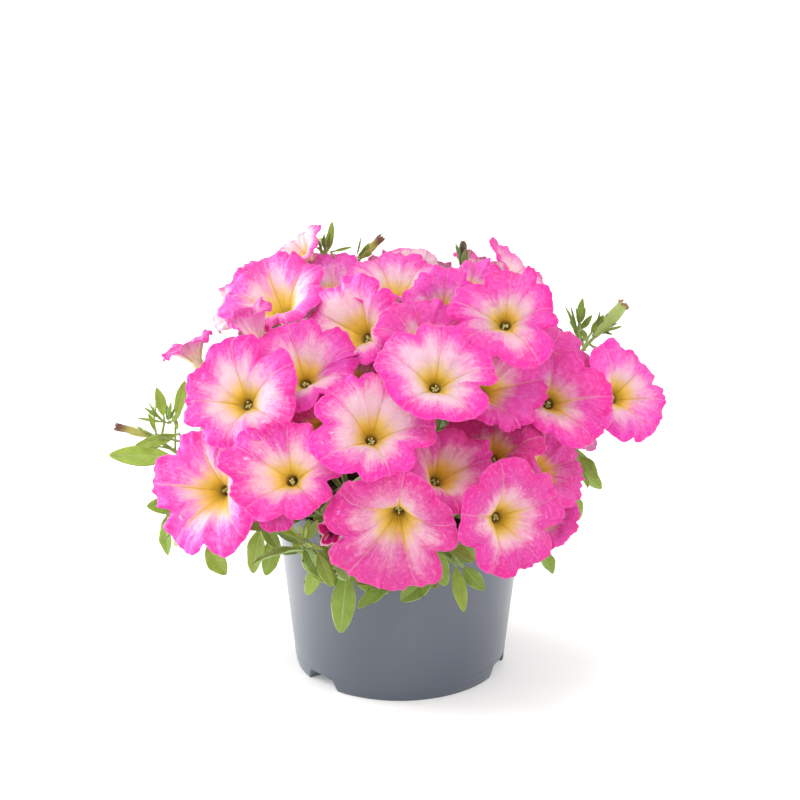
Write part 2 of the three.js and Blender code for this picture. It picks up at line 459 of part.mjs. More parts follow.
// Each shoot: its branches from root to tip, as [what it bears, path as x,y,z,..., radii, leaf].
const SHOOTS = [
  [
    ["bud",[-22.09,-9.38,79,-37.45,-9.73,86.97,-60,-7.84,98.04,-87.5,-7.5,102.19,-95,-7.5,104.77,-122.79,-8.36,124.31,-125.98,-10,126.08],[1.73,1.4,1.28,1.33,1.27,0.95,0.95]],
    ["flower",[-25.31,-9.45,80.67,-26.49,-11.96,97.43,-35.18,-19.3,131,-41.17,-24.23,141.06,-59.33,-39.48,162.45,-61.39,-39.07,167.64],[1.51,1.51,1.21,1.21,1,2.2]],
    ["flower",[-54.96,-35.81,157.31,-60.37,-47.12,148.49,-62.79,-50.93,151.8],[0.85,1,2.2]],
    ["flower",[-47.61,-29.63,148.64,-41.98,-39.77,150.45,-42.8,-42.82,155.08],[0.85,1,2.2]],
    ["flower",[-30.24,-15.13,111.93,-41.82,-25.6,111.27,-49.88,-31.13,111,-68.14,-37.04,110.05,-71.46,-41.3,111.52],[1.36,1.33,1.33,1,2.2]],
    ["flower",[-51.02,-31.5,110.94,-53.57,-50.58,113.13,-54.52,-55.71,115.16],[0.85,1,2.2]],
    ["leaf",[-107.57,-7.89,113.61,-113.49,-14.34,114.17],[0.62,0.62],0],
    ["leaf",[-110.22,-7.97,115.47,-110.27,-11.46,125.02],[0.78,0.62],1],
    ["leaf",[-120.47,-8.29,122.68,-118.94,-5.46,132.17],[0.78,0.62],2],
    ["leaf",[-113.19,-8.07,117.57,-113.56,-3.47,127.04],[0.62,0.62],3],
    ["leaf",[-93.82,-7.5,104.37,-109.77,-19.15,94.08],[0.78,0.62],4],
    ["leaf",[-107.08,-17,95.25,-116.79,-24.2,90.82],[0.62,0.62],5],
    ["leaf",[-77.54,-7.62,100.69,-92.29,-25.09,90.17,-95.69,-32.86,88.27,-97.01,-44.28,85.78],[0.62,0.62,0.62,0.62],6],
    ["leaf",[-55.59,-32.98,110.7,-67.87,-48.6,95.57],[1.01,0.62],7],
    ["leaf",[-64.6,-44.41,100.02,-61.12,-47.76,91.98],[0.78,0.62],8],
    ["leaf",[-66.8,-47.21,97.41,-71.19,-59.41,107.62],[0.85,0.62],9],
    ["leaf",[-68.33,-50.91,100.81,-65.3,-58.77,107.88],[0.62,0.62],10],
    ["leaf",[-67.16,-48.06,98.2,-65.9,-48.73,92.38],[0.62,0.62],11],
    ["leaf",[-62.15,-46.43,95.28,-54.87,-52.2,91.2],[0.62,0.62],12],
    ["leaf",[-120.24,-7.96,123.85,-125.56,-11.83,126.42],[0.62,0.62],13],
    ["leaf",[-109.51,-10.62,123.65,-116.49,-13.49,130.55],[0.62,0.62],14],
    ["leaf",[-114.85,-8.12,118.73,-123.8,-11.6,117.91],[0.62,0.62],15],
    ["leaf",[-70.36,-7.71,99.6,-77.57,-19.59,102.71],[0.62,0.62],16],
    ["leaf",[-62.43,-35.19,110.35,-71.11,-27.7,104.79],[0.62,0.62],17],
    ["leaf",[-32.62,-17.28,111.79,-47.59,-13.23,115.52,-67.02,-13.71,117.56],[0.62,0.62,0.62],18],
    ["leaf",[-40,-9.52,88.22,-49.73,-8.87,106.66],[0.62,0.62],19],
    ["leaf",[-27.38,-12.71,100.87,-38.08,-21.52,99.18],[0.62,0.62],20],
    ["leaf",[-42.78,-25.58,142.95,-49.93,-34.99,139.52],[0.62,0.62],21],
    ["leaf",[-42.78,-25.58,142.95,-52.42,-16.32,144.96,-62.53,-9.27,149.25],[0.62,0.62,0.62],22],
    ["leaf",[-45.08,-27.51,145.66,-54.83,-21.79,159.38],[0.62,0.62],23],
    ["leaf",[-60.39,-39.08,105.01,-63.39,-39.54,76.25],[0.62,0.62],24],
  ],
  [
    ["flower",[-8.99,-22.25,79,-14.71,-29.89,86.76,-16.54,-32.42,88.94,-19.99,-37.47,92.54,-23.1,-42.49,95.29,-31.28,-57.5,102.48,-34.23,-62.5,105.52,-38.77,-70.02,110.86,-41.36,-75.06,114.61,-43.28,-80.12,118.27,-42.2,-87.25,121.72,-44.3,-88.04,124.17,-45.71,-91.8,127.65],[1.53,1.43,1.38,1.36,1.33,1.3,1.08,1.01,0.85,0.85,0.85,1,2.2]],
    ["flower",[-38.93,-70.34,111.1,-29.43,-74.99,123.48,-16.16,-85.3,138.16,-15.68,-88.58,142.67],[0.85,0.85,1,2.2]],
    ["flower",[-11.28,-25.31,82.1,-10.09,-22.7,103.22,-9.63,-22.5,143.5,-2.47,-22.71,173.26,-5.46,-25.93,176.73],[1.17,1.17,0.85,1,2.2]],
    ["bud",[-31.65,-58.13,102.86,-32.56,-64.66,97.34,-34.87,-72.31,91.25,-34.56,-74,94.86],[1.21,1.13,0.95,0.95]],
    ["flower",[-9.92,-22.63,118.53,-13.92,-37.08,133.45,-19.49,-47.8,145.72,-19.65,-48.9,151.21],[1.08,1.01,1,2.2]],
    ["flower",[-18.97,-46.8,144.58,-28.43,-51.01,137,-30.47,-54.72,140.67],[0.85,1,2.2]],
    ["leaf",[-28.97,-53.26,100.45,-41.59,-57.41,97.97,-49.66,-62.39,93.29],[0.62,0.62,0.62],25],
    ["leaf",[-32.47,-64.04,97.86,-26.43,-74.45,92.84,-25.01,-84.01,86.11],[0.78,0.62,0.62],26],
    ["leaf",[-33.58,-68.03,94.66,-34.76,-67.17,85.47],[0.62,0.62],27],
    ["leaf",[-35.32,-64.31,106.81,-39.76,-67.35,99.64],[0.62,0.62],28],
    ["leaf",[-34.87,-72.31,91.25,-40.63,-75.09,94.9,-42.11,-76.79,98.34],[0.78,0.71,0.62],29],
    ["leaf",[-40.63,-75.09,94.9,-39.86,-83.73,101.14],[0.62,0.62],30],
    ["leaf",[-19.38,-36.58,91.91,-32.52,-34.57,103.44],[0.62,0.62],31],
    ["leaf",[-22.13,-40.92,94.43,-16.61,-45.11,102.5],[0.62,0.62],32],
    ["leaf",[-15.93,-31.58,88.21,-3.78,-49.22,108.92],[0.78,0.62],33],
    ["leaf",[-12.61,-32.35,128.57,-12.8,-47.37,127.24],[0.62,0.62],34],
    ["leaf",[-9.68,-22.52,138.67,-18.3,-29.45,147.04],[0.62,0.62],35],
    ["leaf",[-30.21,-67.94,95.98,-25.85,-71.01,75.93],[0.62,0.62],36],
    ["leaf",[-5.67,-46.05,105.62,-2.85,-59.92,103.11,-2.37,-66.58,99.99,-2,-72.31,91.66,-2.39,-77.48,77.32],[0.62,0.62,0.62,0.62,0.62],37],
  ],
  [
    ["flower",[9.38,-22.09,79,10,-25.07,93.86,10.6,-29.32,102.99,11.85,-40.13,115.99,12.57,-66.25,143.53,13.54,-76.79,161.4,14.08,-80.1,165.88],[1.55,1.4,1.4,1.3,1.13,1,2.2]],
    ["flower",[11.35,-35.75,110.73,16.52,-30.78,133.49,18.26,-26.92,160.97,22.21,-22.14,182.05,21.88,-25.67,186.39],[1.13,1.08,0.85,1,2.2]],
    ["flower",[13.38,-75.13,158.6,11.16,-65.42,163.81,9.54,-54.41,167.85,9.86,-56.26,173.13],[0.85,0.85,1,2.2]],
    ["flower",[12.76,-68.31,147.03,4.42,-82.54,137.41,3.48,-87.84,135.88],[1.01,1,2.2]],
    ["flower",[6.37,-79.21,139.66,5.15,-88.26,122.93,7.67,-91.36,126.86],[0.85,1,2.2]],
    ["flower",[12.32,-57.08,133.86,20.06,-69.67,126.19,29.26,-81.27,117.81,32.34,-85.81,118.93],[1.08,0.85,1,2.2]],
    ["flower",[12.39,-59.58,136.5,18.06,-54.7,148.35,21.44,-52.92,159.74,24.72,-56.58,162.43],[0.85,0.85,1,2.2]],
    ["flower",[16.48,-63.83,129.74,32.12,-63.15,126.77,45.48,-64.94,122.22,45.28,-68.29,126.7],[1.01,1.01,1,2.2]],
    ["flower",[17.93,-27.65,155.79,0.79,-10.47,173.35,0.28,-11.53,178.82],[0.85,1,2.2]],
    ["flower",[40.14,-64.22,124.04,45.83,-58.32,119.01,50.07,-60.69,121.8],[0.85,1,2.2]],
    ["leaf",[9.66,-23.46,85.83,9.96,-37.62,88.24,10.28,-59.97,98.07,10.55,-64.91,98.46,10.93,-74.88,93.35],[0.98,0.98,0.94,0.8,0.62],38],
    ["leaf",[10.82,-69.37,96.53,27.21,-70.61,89.28],[0.85,0.62],39],
    ["leaf",[24.06,-70.17,91.41,28.9,-71.59,86.78],[0.62,0.62],40],
    ["leaf",[10.99,-72.35,95.24,16.33,-77.72,96.79],[0.62,0.62],41],
    ["leaf",[11.57,-69.42,96.24,14.4,-76.88,98.69],[0.62,0.62],42],
    ["leaf",[10.09,-46.78,92.26,11.88,-48.13,102.52],[0.62,0.62],43],
    ["leaf",[11.52,-35.58,111.5,21.05,-44.58,107.53],[0.62,0.62],44],
    ["leaf",[9.66,-23.46,85.83,34.84,-35.24,101.99],[0.62,0.62],45],
    ["leaf",[12.05,-47.35,123.6,30.93,-50.37,134.28],[0.62,0.62],46],
    ["leaf",[16.85,-30.05,138.67,8.08,-36.1,149.37],[0.62,0.62],47],
  ],
  [
    ["flower",[22.25,-8.99,79,23.13,-13.29,102.99,25.62,-22.44,128.5,28.13,-27.95,138.5,32.34,-33.78,148.5,35.76,-36.34,156.01,41.58,-37.61,166.1,51.75,-38.71,179.01,51.51,-42.09,183.47],[1.47,1.21,1.13,1.01,1.01,1.01,0.85,1,2.2]],
    ["flower",[22.5,-10.21,85.8,62.5,-7.53,121.76,72.48,-6.83,127.61,87.36,-4.03,134.28,90.76,-7.15,137.46],[1.33,1.13,0.85,1,2.2]],
    ["flower",[37.77,-36.78,159.49,35.88,-27.31,169.76,35.39,-20.2,175.49,35.79,-11.17,179.59,37.06,-6.21,178.88,36.41,-8.19,184.08],[0.85,0.85,0.85,0.85,1,2.2]],
    ["flower",[66.06,-7.28,123.85,65.26,-24.88,134.79,66.52,-39.17,146.72,67.63,-43.34,150.29],[1.08,0.85,1,2.2]],
    ["flower",[25.1,-20.55,123.25,53.36,-22.06,151.54,56.57,-23.63,155.85],[1.01,1,2.2]],
    ["flower",[25.79,-22.82,129.19,21.31,-15,143.15,17.69,-0.94,169.97,17.59,-2.01,175.46],[1.01,1.01,1,2.2]],
    ["flower",[37.13,-9.23,98.95,64.52,-43.07,100.35,65.84,-48.25,102.01],[1.13,1,2.2]],
    ["leaf",[62.24,-40.25,100.23,66.56,-49.96,85.11],[0.62,0.62],48],
    ["leaf",[65.42,-21.43,132.65,77.6,-32.51,130.81,88.08,-39.19,128.81],[0.78,0.78,0.62],49],
    ["leaf",[81.37,-34.79,130.25,89.54,-37.36,120.78],[0.62,0.62],50],
    ["leaf",[57.93,-34.92,100.01,72.8,-26.22,105.29],[0.62,0.62],51],
    ["leaf",[47.57,-8.53,108.34,59.95,-7.83,105.6,75.3,-8.9,98.96],[0.78,0.62,0.62],52],
    ["leaf",[59.55,-7.85,105.69,71.31,-8.96,115.38],[0.62,0.62],53],
    ["leaf",[45.5,-19.57,99.38,48.9,-22.99,102.46],[0.62,0.62],54],
    ["leaf",[45.16,-21.63,143.34,60.52,-23.93,144.25],[0.62,0.62],55],
    ["leaf",[20.97,-13.7,145.62,35.66,-19.88,159.93],[0.62,0.62],56],
  ],
  [
    ["bud",[22.09,9.38,79,26.16,9.16,93.86,33.23,7.72,105.72,69.96,2.81,143.5,84.16,2.53,158.63,94.35,2.61,171.66,96.97,2,174.62],[1.47,1.47,1.4,1.21,1.21,0.95,0.95]],
    ["tip_bud",[35.45,7.42,108.01,34.69,8.15,148.5,32.61,16.35,176,31.61,20,203.5,31.58,20,207.5],[1.17,1.08,0.85,0.95,0.95]],
    ["flower",[33.17,14.16,168.64,33.08,3.77,182.2,36.68,3.83,186.5],[0.85,1,2.2]],
    ["flower",[31.36,8.1,102.58,39.48,24.77,112.68,47.47,47.93,120,51.5,50.67,122.75],[1.08,1.08,1,2.2]],
    ["leaf",[88.63,2.56,164.35,93.02,9.77,165.84],[0.85,0.62],57],
    ["leaf",[93.18,9.5,164.89,92.84,11.9,165.42],[0.78,0.62],58],
    ["leaf",[93.1,10.43,164.71,92.79,8.39,166.44],[0.62,0.62],59],
    ["leaf",[92.11,2.59,168.8,95.5,0.47,171.54],[0.62,0.62],60],
    ["leaf",[92.11,2.59,168.8,95.08,6.28,171.1],[0.62,0.62],61],
    ["leaf",[35.45,7.43,108.41,72.8,9.44,106.27],[0.78,0.62],62],
    ["leaf",[55.06,8.68,107.34,66.42,28.73,103.29],[0.62,0.62],63],
    ["leaf",[42.27,32.86,115.23,57.58,48.88,100.8],[0.78,0.62],64],
    ["leaf",[50.2,5.45,123.18,64.65,17.02,124.31],[0.62,0.62],65],
    ["leaf",[46.78,37.73,110.72,55.3,42.23,115.47],[0.62,0.62],66],
    ["leaf",[57.72,4.44,130.91,57.76,12.92,149.12],[0.62,0.62],67],
    ["leaf",[33.78,11.73,160.51,29.05,0.72,169.38],[0.62,0.62],68],
  ],
  [
    ["flower",[8.99,22.25,79,8.84,24.27,97.1,5.42,29.51,121,4.79,30.57,173.24,4.86,27.78,178.09],[1.36,1.08,1.08,1,2.2]],
    ["flower",[5.42,29.51,121,32.73,56.95,149.28,34.41,59.21,154.12],[1.01,1,2.2]],
    ["flower",[8.94,23.02,85.84,11.2,37.56,89.05,14.9,59.89,99.22,16.24,74.14,100.42,20.94,76.97,101.55],[1.27,1.27,1.01,1,2.2]],
    ["flower",[14.36,56.65,97.75,17.02,58.31,110.28,21.09,63.69,124.87,21.09,67.59,128.88],[1.13,1.01,1,2.2]],
    ["flower",[13.88,53.77,96.43,27.16,52.87,99.77,32.05,52.89,99.88,38.75,53.3,98.6,40.74,53.53,97.67,44,53.88,94.05,51.97,54.1,82.54,55.84,57.09,85.28],[1.01,1.01,1.01,0.85,0.85,0.85,1,2.2]],
    ["flower",[15.02,57.07,100.88,5.13,64.25,101.57,5.31,69.85,101.6],[0.85,1,2.2]],
    ["leaf",[37.17,53.2,98.9,43.18,66.53,98.92],[0.62,0.62],69],
    ["leaf",[15.52,57.38,103.23,22.46,61.23,106.89],[0.62,0.62],70],
    ["leaf",[16.09,72.51,100.28,17.53,75.97,100.02],[0.62,0.62],71],
    ["leaf",[18.64,60.46,116.12,18.61,68.08,118.5],[0.62,0.62],72],
    ["leaf",[25.16,49.34,141.43,33.41,38.43,157.51],[0.62,0.62],73],
  ],
  [
    ["bud",[-9.38,22.09,79,-17.71,30.22,108.36,-19.53,32.03,118.49,-20.11,32.61,178.49,-21.73,34.5,202.26,-19.21,34,205.34],[1.45,1.38,1.24,1.01,0.95,0.95]],
    ["flower",[-20.09,32.59,176.07,-27.44,40.14,185.68,-31.46,39.16,189.45],[0.85,1,2.2]],
    ["flower",[-19.6,32.1,126.14,-27.87,56.05,148.14,-31.3,59.37,151.07],[0.85,1,2.2]],
    ["flower",[-17.85,30.36,109.14,-30.85,47.4,112.26,-33.63,55.55,113.27,-34.66,63.85,113.9,-35.22,68.49,116.98],[1.17,1.13,0.85,1,2.2]],
    ["flower",[-19.69,32.2,135.81,-0.49,39.94,155.01,0.74,43.55,159.1],[1.01,1,2.2]],
    ["flower",[-31.38,48.95,112.45,-34.13,59.25,98.45,-32.08,65.33,84.12,-34.17,70.36,85.42],[1.08,0.85,1,2.2]],
    ["leaf",[-21.32,34.02,196.22,-31.01,32.37,206.2],[0.62,0.62],74],
    ["leaf",[-16.54,29.07,104.22,-16.67,57.51,103.45,-10.95,78.65,101.56],[0.85,0.78,0.62],75],
    ["leaf",[-15.46,61.79,103.15,-31.46,78.79,105.64],[0.62,0.62],76],
    ["leaf",[-33.36,56.38,102.35,-45.39,67.98,102],[0.78,0.62],77],
    ["leaf",[-16.63,49.9,103.65,-3.45,65.96,111.75],[0.62,0.62],78],
    ["leaf",[-30.37,46.77,112.14,-26.22,54.38,117.56],[0.62,0.62],79],
    ["leaf",[-4.88,38.17,150.62,-3.19,48.71,159.84],[0.62,0.62],80],
    ["leaf",[-19.91,32.42,158.36,-0.94,27.26,178.37],[0.62,0.62],81],
    ["flower",[-37.1,60.14,102.4,-47.67,47.52,82.5,-52.15,50.15,84.58],[0.85,1,2.2]],
  ],
  [
    ["flower",[-22.25,8.99,79,-37.47,9,100.13,-60,7.56,122.76,-72.46,7.51,130.87,-91.49,7.73,135.91,-93.98,9.04,140.76],[1.4,1.4,1.24,0.85,1,2.2]],
    ["flower",[-71.79,7.51,130.43,-61.03,25.58,155.75,-57.99,31.58,167.56,-62.91,30.32,169.93],[1.17,1.01,1,2.2]],
    ["flower",[-70.21,10.16,134.14,-57.84,5.92,148.17,-46.51,4.46,161.2,-48.48,2.84,166.18],[1.08,1.08,1,2.2]],
    ["flower",[-48.35,4.7,159.08,-34.72,16.51,165.36,-34.49,15.5,170.86],[1.01,1,2.2]],
    ["flower",[-40.32,8.82,103,-46.82,21.94,115.51,-50.51,33.39,126.55,-53.15,36.12,130.67],[1.21,1.17,1,2.2]],
    ["leaf",[-58.18,31.22,166.84,-50.62,31.85,173.87,-44.03,32.11,181.1,-40.67,32.22,186.01,-38.31,32.55,190.94,-36.7,33.14,195.87,-36.46,33.76,198.32,-36.87,35,200.72,-40.83,39.46,209.72,-41.59,37.71,205.08],[0.62,0.62,0.62,0.62,0.62,0.62,0.62,0.62,0.62,0.62],82],
    ["leaf",[-47.93,25.38,118.82,-64.51,42.28,102.24],[0.78,0.62],83],
    ["leaf",[-60.84,38.67,105.79,-74.59,29.25,104.58],[0.62,0.62],84],
    ["leaf",[-43.43,15.11,108.99,-60.02,15.12,107.29,-77.69,15.68,102.31],[0.62,0.62,0.62],85],
    ["leaf",[-49.49,30.24,123.52,-60.07,33.47,123.74],[0.62,0.62],86],
    ["leaf",[-63.37,7.55,124.95,-70.4,13.31,123.21],[0.62,0.62],87],
    ["leaf",[-50.23,32.53,125.72,-39.36,32.69,143.47,-36.9,34.67,158.8],[0.62,0.62,0.62],88],
    ["leaf",[-43.13,9.23,161.48,-39.95,15.48,179.42],[0.62,0.62],89],
  ],
];
// Each corolla: throat, quaternion, radius, depth, tube length, seed, sides, colour, and how far
// each tenth of the margin bends back.
const COROLLAS = [
  [[-73.32,-67.56,166.22],[0.07883,-0.44539,0.65857,0.60141],29.91,16.55,24,1,15,0xf256b6,[1.59,-0.66,-0.54,-1.05,1.37,-1.18,2.92,1.02,0.43,6.87]],
  [[-13.56,-102.86,162.34],[0.26711,-0.16005,0.60285,0.73458],30.29,16.95,24,2,15,0xf256b6,[-0.43,-0.05,-2.35,1.8,-3.97,-0.9,0.15,-1.39,-1.2,-0.98]],
  [[-50.84,-108.97,144.2],[0.1809,-0.35789,0.66497,0.63008],29.66,10,24,3,15,0xf256b6,[1.86,0.31,0.05,-2.07,-0.31,-0.4,-0.12,-0.74,-0.08,-0.57]],
  [[-85.95,-59.86,117.92],[0.09623,-0.59972,0.5408,0.5819],30.93,17.08,24,4,15,0xf256b6,[0.06,0.55,-1.1,0.76,-0.46,-1.74,-0.71,0.66,0.37,-1.26]],
  [[-57.07,-4.23,187.9],[-0.03028,-0.23256,0.70944,0.66461],27.89,15.5,24,5,15,0xf256b6,[0.49,-0.36,2.69,-0.23,0.28,2.02,-0.17,-0.42,0.27,-0.35]],
  [[-16.37,-37.64,189.39],[0.04013,-0.43371,0.59948,0.6715],24.75,14.18,20,6,15,0xf256b6,[-1.7,1.68,0.32,-0.65,-2.57,0.72,0.6,-1.85,1.72,-0.51]],
  [[-45.75,-53.92,171.93],[0.11133,-0.27299,0.76216,0.57636],24.84,13.92,20,7,15,0xf256b6,[1.88,-0.44,0.26,1.21,-0.5,0.12,0.04,-1.91,1.12,0.67]],
  [[-20.23,-52.92,171.2],[0.05992,-0.08004,0.70321,0.70392],15.72,9.17,20,8,10,0xf256b6,[0.11,1.23,-2.05,-1.15,-2.35,2.7,1.92,2.43,0.88,1.08]],
  [[-68.93,-37.6,186.54],[-0.14767,-0.12231,0.62168,0.75944],13.69,17,20,9,10,0xf256b6,[0,-0.32,-1.23,-0.01,-0.42,-0.53,-1.67,-0.54,-0.26,-0.71]],
  [[-103.07,13.81,158.39],[-0.02824,-0.25889,-0.3534,0.89849],17.75,10.23,20,10,15,0xf256b6,[1.46,0.79,-1.7,-0.01,0.68,-0.79,0.29,0.12,0,-0.19]],
  [[-80.8,25.75,178.59],[0.26036,-0.46913,-0.21394,0.81631],15.72,9.17,20,11,10,0xf6a6cf,[1.92,-0.31,-0.53,-2.92,-0.01,-0.35,-0.59,0.35,0.46,-1.17]],
  [[-46.1,35.6,203.2],[-0.21362,-0.3425,0.65401,0.63979],18.25,10.49,20,12,15,0xf6a6cf,[0.52,-0.75,0.27,-1.87,0.83,-1.69,0.01,-0.13,-0.89,3.16]],
  [[-33.65,11.81,190.91],[0.07866,-0.04995,0.70648,0.70157],20.65,12.07,20,13,15,0xf256b6,[-0.79,0.83,-0.05,0.5,1.48,0.59,1.49,0.96,1.63,-1.16]],
  [[-1.58,-15.38,198.77],[0.03315,-0.10019,0.71435,0.69178],25.35,14.18,20,14,15,0xf256b6,[1.68,0.07,0.16,-0.16,-2.37,0.25,1.6,0.57,-0.93,1.11]],
  [[5.13,17.62,195.78],[0.18505,-0.17968,0.69097,0.6753],19.81,11.55,20,15,15,0xf6a6cf,[-0.41,0.39,-0.13,-0.45,0.34,-1.77,-0.78,-1.16,-0.32,-0.52]],
  [[17.22,-5.93,195.48],[0.06943,-0.0677,0.62486,0.77469],13.86,8.38,20,16,10,0xf256b6,[0.15,-1.65,-0.56,0.71,-1.8,-0.75,-1.19,0.97,0.57,0.14]],
  [[20.69,-38.52,202.19],[0.25105,-0.22296,0.55782,0.75901],20.28,11.55,20,17,15,0xf256b6,[0.45,-1.68,1.86,3.54,1.96,3.41,0.9,1,0.62,-0.31]],
  [[34.04,-15.41,203.01],[0.11765,-0.14866,0.54143,0.8191],18.03,10.49,20,18,15,0xf256b6,[0.04,2.41,-0.08,0.44,0.52,0.71,1.11,0.47,-0.45,-0.73]],
  [[50.49,-56.81,202.9],[0.22623,-0.22506,0.62011,0.71668],26.87,14.97,24,19,15,0xf256b6,[0.24,-0.37,-0.64,-0.44,-0.66,-0.27,1.14,0.64,0.28,-1.61]],
  [[49.77,4.06,202.14],[0.16069,0.30138,0.45685,0.82136],24.34,13.65,20,20,15,0xf6a6cf,[0.97,0.22,0.39,-2.58,-1.19,0.62,1.03,-1.08,0.55,0.45]],
  [[16.46,-94.54,185.4],[0.26304,-0.17533,0.64742,0.69348],29.66,16.42,24,21,15,0xf256b6,[0.01,-0.22,1.18,-1.34,0.75,-1.75,-0.1,-0.35,1.2,0.02]],
  [[11.03,-62.99,192.35],[0.12998,-0.10938,0.75427,0.63421],24.82,13.92,20,22,15,0xb5257f,[0.58,-1.4,1.07,-0.09,-2.78,1.76,7.03,-1.17,-0.27,0.17]],
  [[38.99,-72.54,174.13],[0.46613,0.20698,0.26401,0.81864],25.81,14.71,24,23,15,0xf256b6,[-0.04,-0.64,-0.42,0.69,2.18,0.41,-0.34,-1.29,-0.58,2.33]],
  [[71.68,-58.52,163.3],[0.34792,-0.24511,0.69428,0.58039],23.58,14.18,20,24,15,0xf256b6,[3.12,-0.08,3.54,0.23,0.19,-1.14,1.85,1.1,-1.7,0.39]],
  [[105.58,-20.71,151.31],[0.46317,0.04022,0.59875,0.6522],26.36,14.71,24,25,15,0xf256b6,[0.25,1.13,-0.92,-0.65,-1.05,-0.24,-0.68,2.02,-2.26,0.96]],
  [[68.29,-29.32,171.55],[0.30644,0.1459,0.58696,0.73504],23.48,13.92,20,26,15,0xf256b6,[0.22,-2.21,0.82,0.74,-0.23,0.4,0.06,-1.73,-0.88,0.68]],
  [[44.55,-80.5,143.03],[0.20604,-0.23956,0.68093,0.66068],24.84,13.92,20,27,15,0xb5257f,[1.89,-0.13,0.92,1,0.65,1.02,0.32,0.18,2.03,2.87]],
  [[16.85,-102.66,141.14],[0.3849,-0.04065,0.65325,0.65074],25.86,14.45,20,28,15,0xf256b6,[0.5,1.91,-0.08,-1.43,0.63,2.5,1.04,1.31,-1.88,-0.77]],
  [[-0.62,-110.96,129.22],[0.50035,-0.6214,0.39637,0.45432],29.99,17.08,24,29,15,0xf256b6,[-0.44,0.78,2.11,-2.36,0.81,0.52,0.85,0.97,0.89,-1.09]],
  [[45.77,-105.6,123.79],[0.59656,-0.21095,0.6235,0.4592],29.66,16.42,24,30,15,0xf256b6,[-1.39,1.68,-1.05,0.47,-0.11,0.33,-1.9,1.74,0.15,-1.22]],
  [[65.52,-69.31,131.95],[0.40963,0.28854,0.37494,0.77998],23.93,13.65,20,31,15,0xf256b6,[-0.47,-0.28,1.08,-0.7,0.48,-0.84,-0.88,1.99,-0.9,-0.17]],
  [[70.64,-67.13,108.06],[0.5907,-0.05151,0.26564,0.76017],18.19,10.75,20,32,15,0xf256b6,[-0.24,1.3,1.26,0.55,0.4,0.65,1.63,1.74,-0.24,-0.54]],
  [[-37.87,-68.21,154.06],[-0.03112,-0.41332,0.82851,0.37653],16.42,9.7,20,33,10,0xb5257f,[-0.77,-1.76,-1.69,-0.63,-0.24,0.28,-0.16,2.24,-0.11,0.64]],
  [[-57.97,-74.4,122.58],[0.45235,-0.33695,0.36477,0.7408],18.25,10.49,20,34,15,0xf256b6,[0.27,-0.82,-1.72,-0.51,-0.39,-1.41,0.32,1.08,0.53,0.5]],
  [[72.7,70.08,97.21],[-0.49579,-0.09908,-0.77328,0.38264],27.72,16.11,24,60,10,0xf256b6,[-0.65,-0.54,1.31,-1.36,-2.18,1.45,0.85,0.54,0.23,-0.86]],
  [[41.42,89.29,106.46],[-0.43122,0.46197,-0.16082,0.75813],28.28,15.71,24,61,10,0xf256b6,[-0.5,0.48,0,1.17,0.22,0.73,-1.14,-1.38,0.05,-0.84]],
  [[6.08,94.23,101.74],[-0.66835,0.22472,0.20454,0.67895],29.83,16.51,24,62,10,0xf256b6,[-0.01,-0.58,-0.32,1.24,-1.56,0.98,-1.68,0.26,-0.71,1.75]],
  [[-43.26,92.27,91.11],[0.04507,-0.61752,-0.74524,0.24749],30.19,16.7,24,63,10,0xf256b6,[-2.35,1.22,0.04,-0.69,0,-1.33,0.32,-1.82,-1.66,0.29]],
  [[-71.67,61.62,93.67],[0.25235,-0.50004,-0.69636,0.44872],30.57,16.9,24,64,10,0xf256b6,[1.21,-2.18,-1.26,2.42,-2.08,-0.47,-1.25,-1.14,-2.61,0.77]],
  [[69.05,62.62,134.77],[-0.00124,0.50368,0.48439,0.71532],31.01,17.13,24,65,10,0xf256b6,[-0.93,-0.59,-0.94,-0.55,1.12,0.82,-1.75,0.1,0.04,-1.73]],
  [[21.08,84.62,146.36],[-0.21444,0.30956,0.76165,0.52733],29.85,16.52,24,66,10,0xf256b6,[1.57,-1.17,-0.61,-1.92,3.44,1.93,-2.92,1.58,-1.03,-0.87]],
  [[-37.64,88.73,130.4],[-0.3191,0.35094,0.7171,0.51067],29.32,16.25,24,67,10,0xf256b6,[1.24,0.16,-1.22,1.36,-0.17,-0.65,0.39,1.34,-0.91,-1.22]],
  [[-64.65,48.01,148.61],[-0.36375,0.01083,0.66715,0.64999],26.85,14.96,24,68,10,0xf256b6,[-0.72,0.31,-1.67,0.93,0.44,0.2,0.44,0.46,1.56,1.62]],
  [[41.7,69.05,175.22],[-0.25531,-0.04898,-0.71079,0.6536],31.51,17.38,24,69,10,0xf256b6,[1.01,-0.66,1.28,-0.66,-1.76,0.44,1.33,1.16,0.94,0.76]],
  [[6.07,59.31,176.95],[-0.20165,0.30593,0.57152,0.73424],28.21,15.85,24,70,10,0xf256b6,[1.3,0.2,-1.87,-1.5,-0.22,1.22,-3.3,-0.33,-1.22,0.3]],
  [[-46.25,73.83,163.82],[-0.48749,-0.03247,0.58541,0.64698],28.57,16.36,24,71,10,0xf256b6,[-0.47,-1.31,-0.49,0.54,-0.5,0.64,1.3,-1.06,0.24,-0.95]],
];
// Each closed bud: foot, quaternion, length, radius, colour.
const BUDS = [
  [[96.97,2,174.62],[0.35919,-0.02326,0.9205,0.15208],26.3,4.3,0x8fa84a],
  [[-125.98,-10,126.08],[0.52216,0.08009,-0.80565,0.26809],19.56,2.4,0x9a7a4a],
  [[-19.21,34,205.34],[0.3405,-0.01515,0.92955,0.14058],16.14,2.6,0x8a6a3c],
  [[-34.56,-74,94.86],[0.04656,-0.21547,0.9749,0.03136],23.64,5.2,0x8a2560],
];
const TIP_BUD = [[31.58,20,207.5],[0.00363,-0.00001,-0.99999,0.00143],12.15,2];

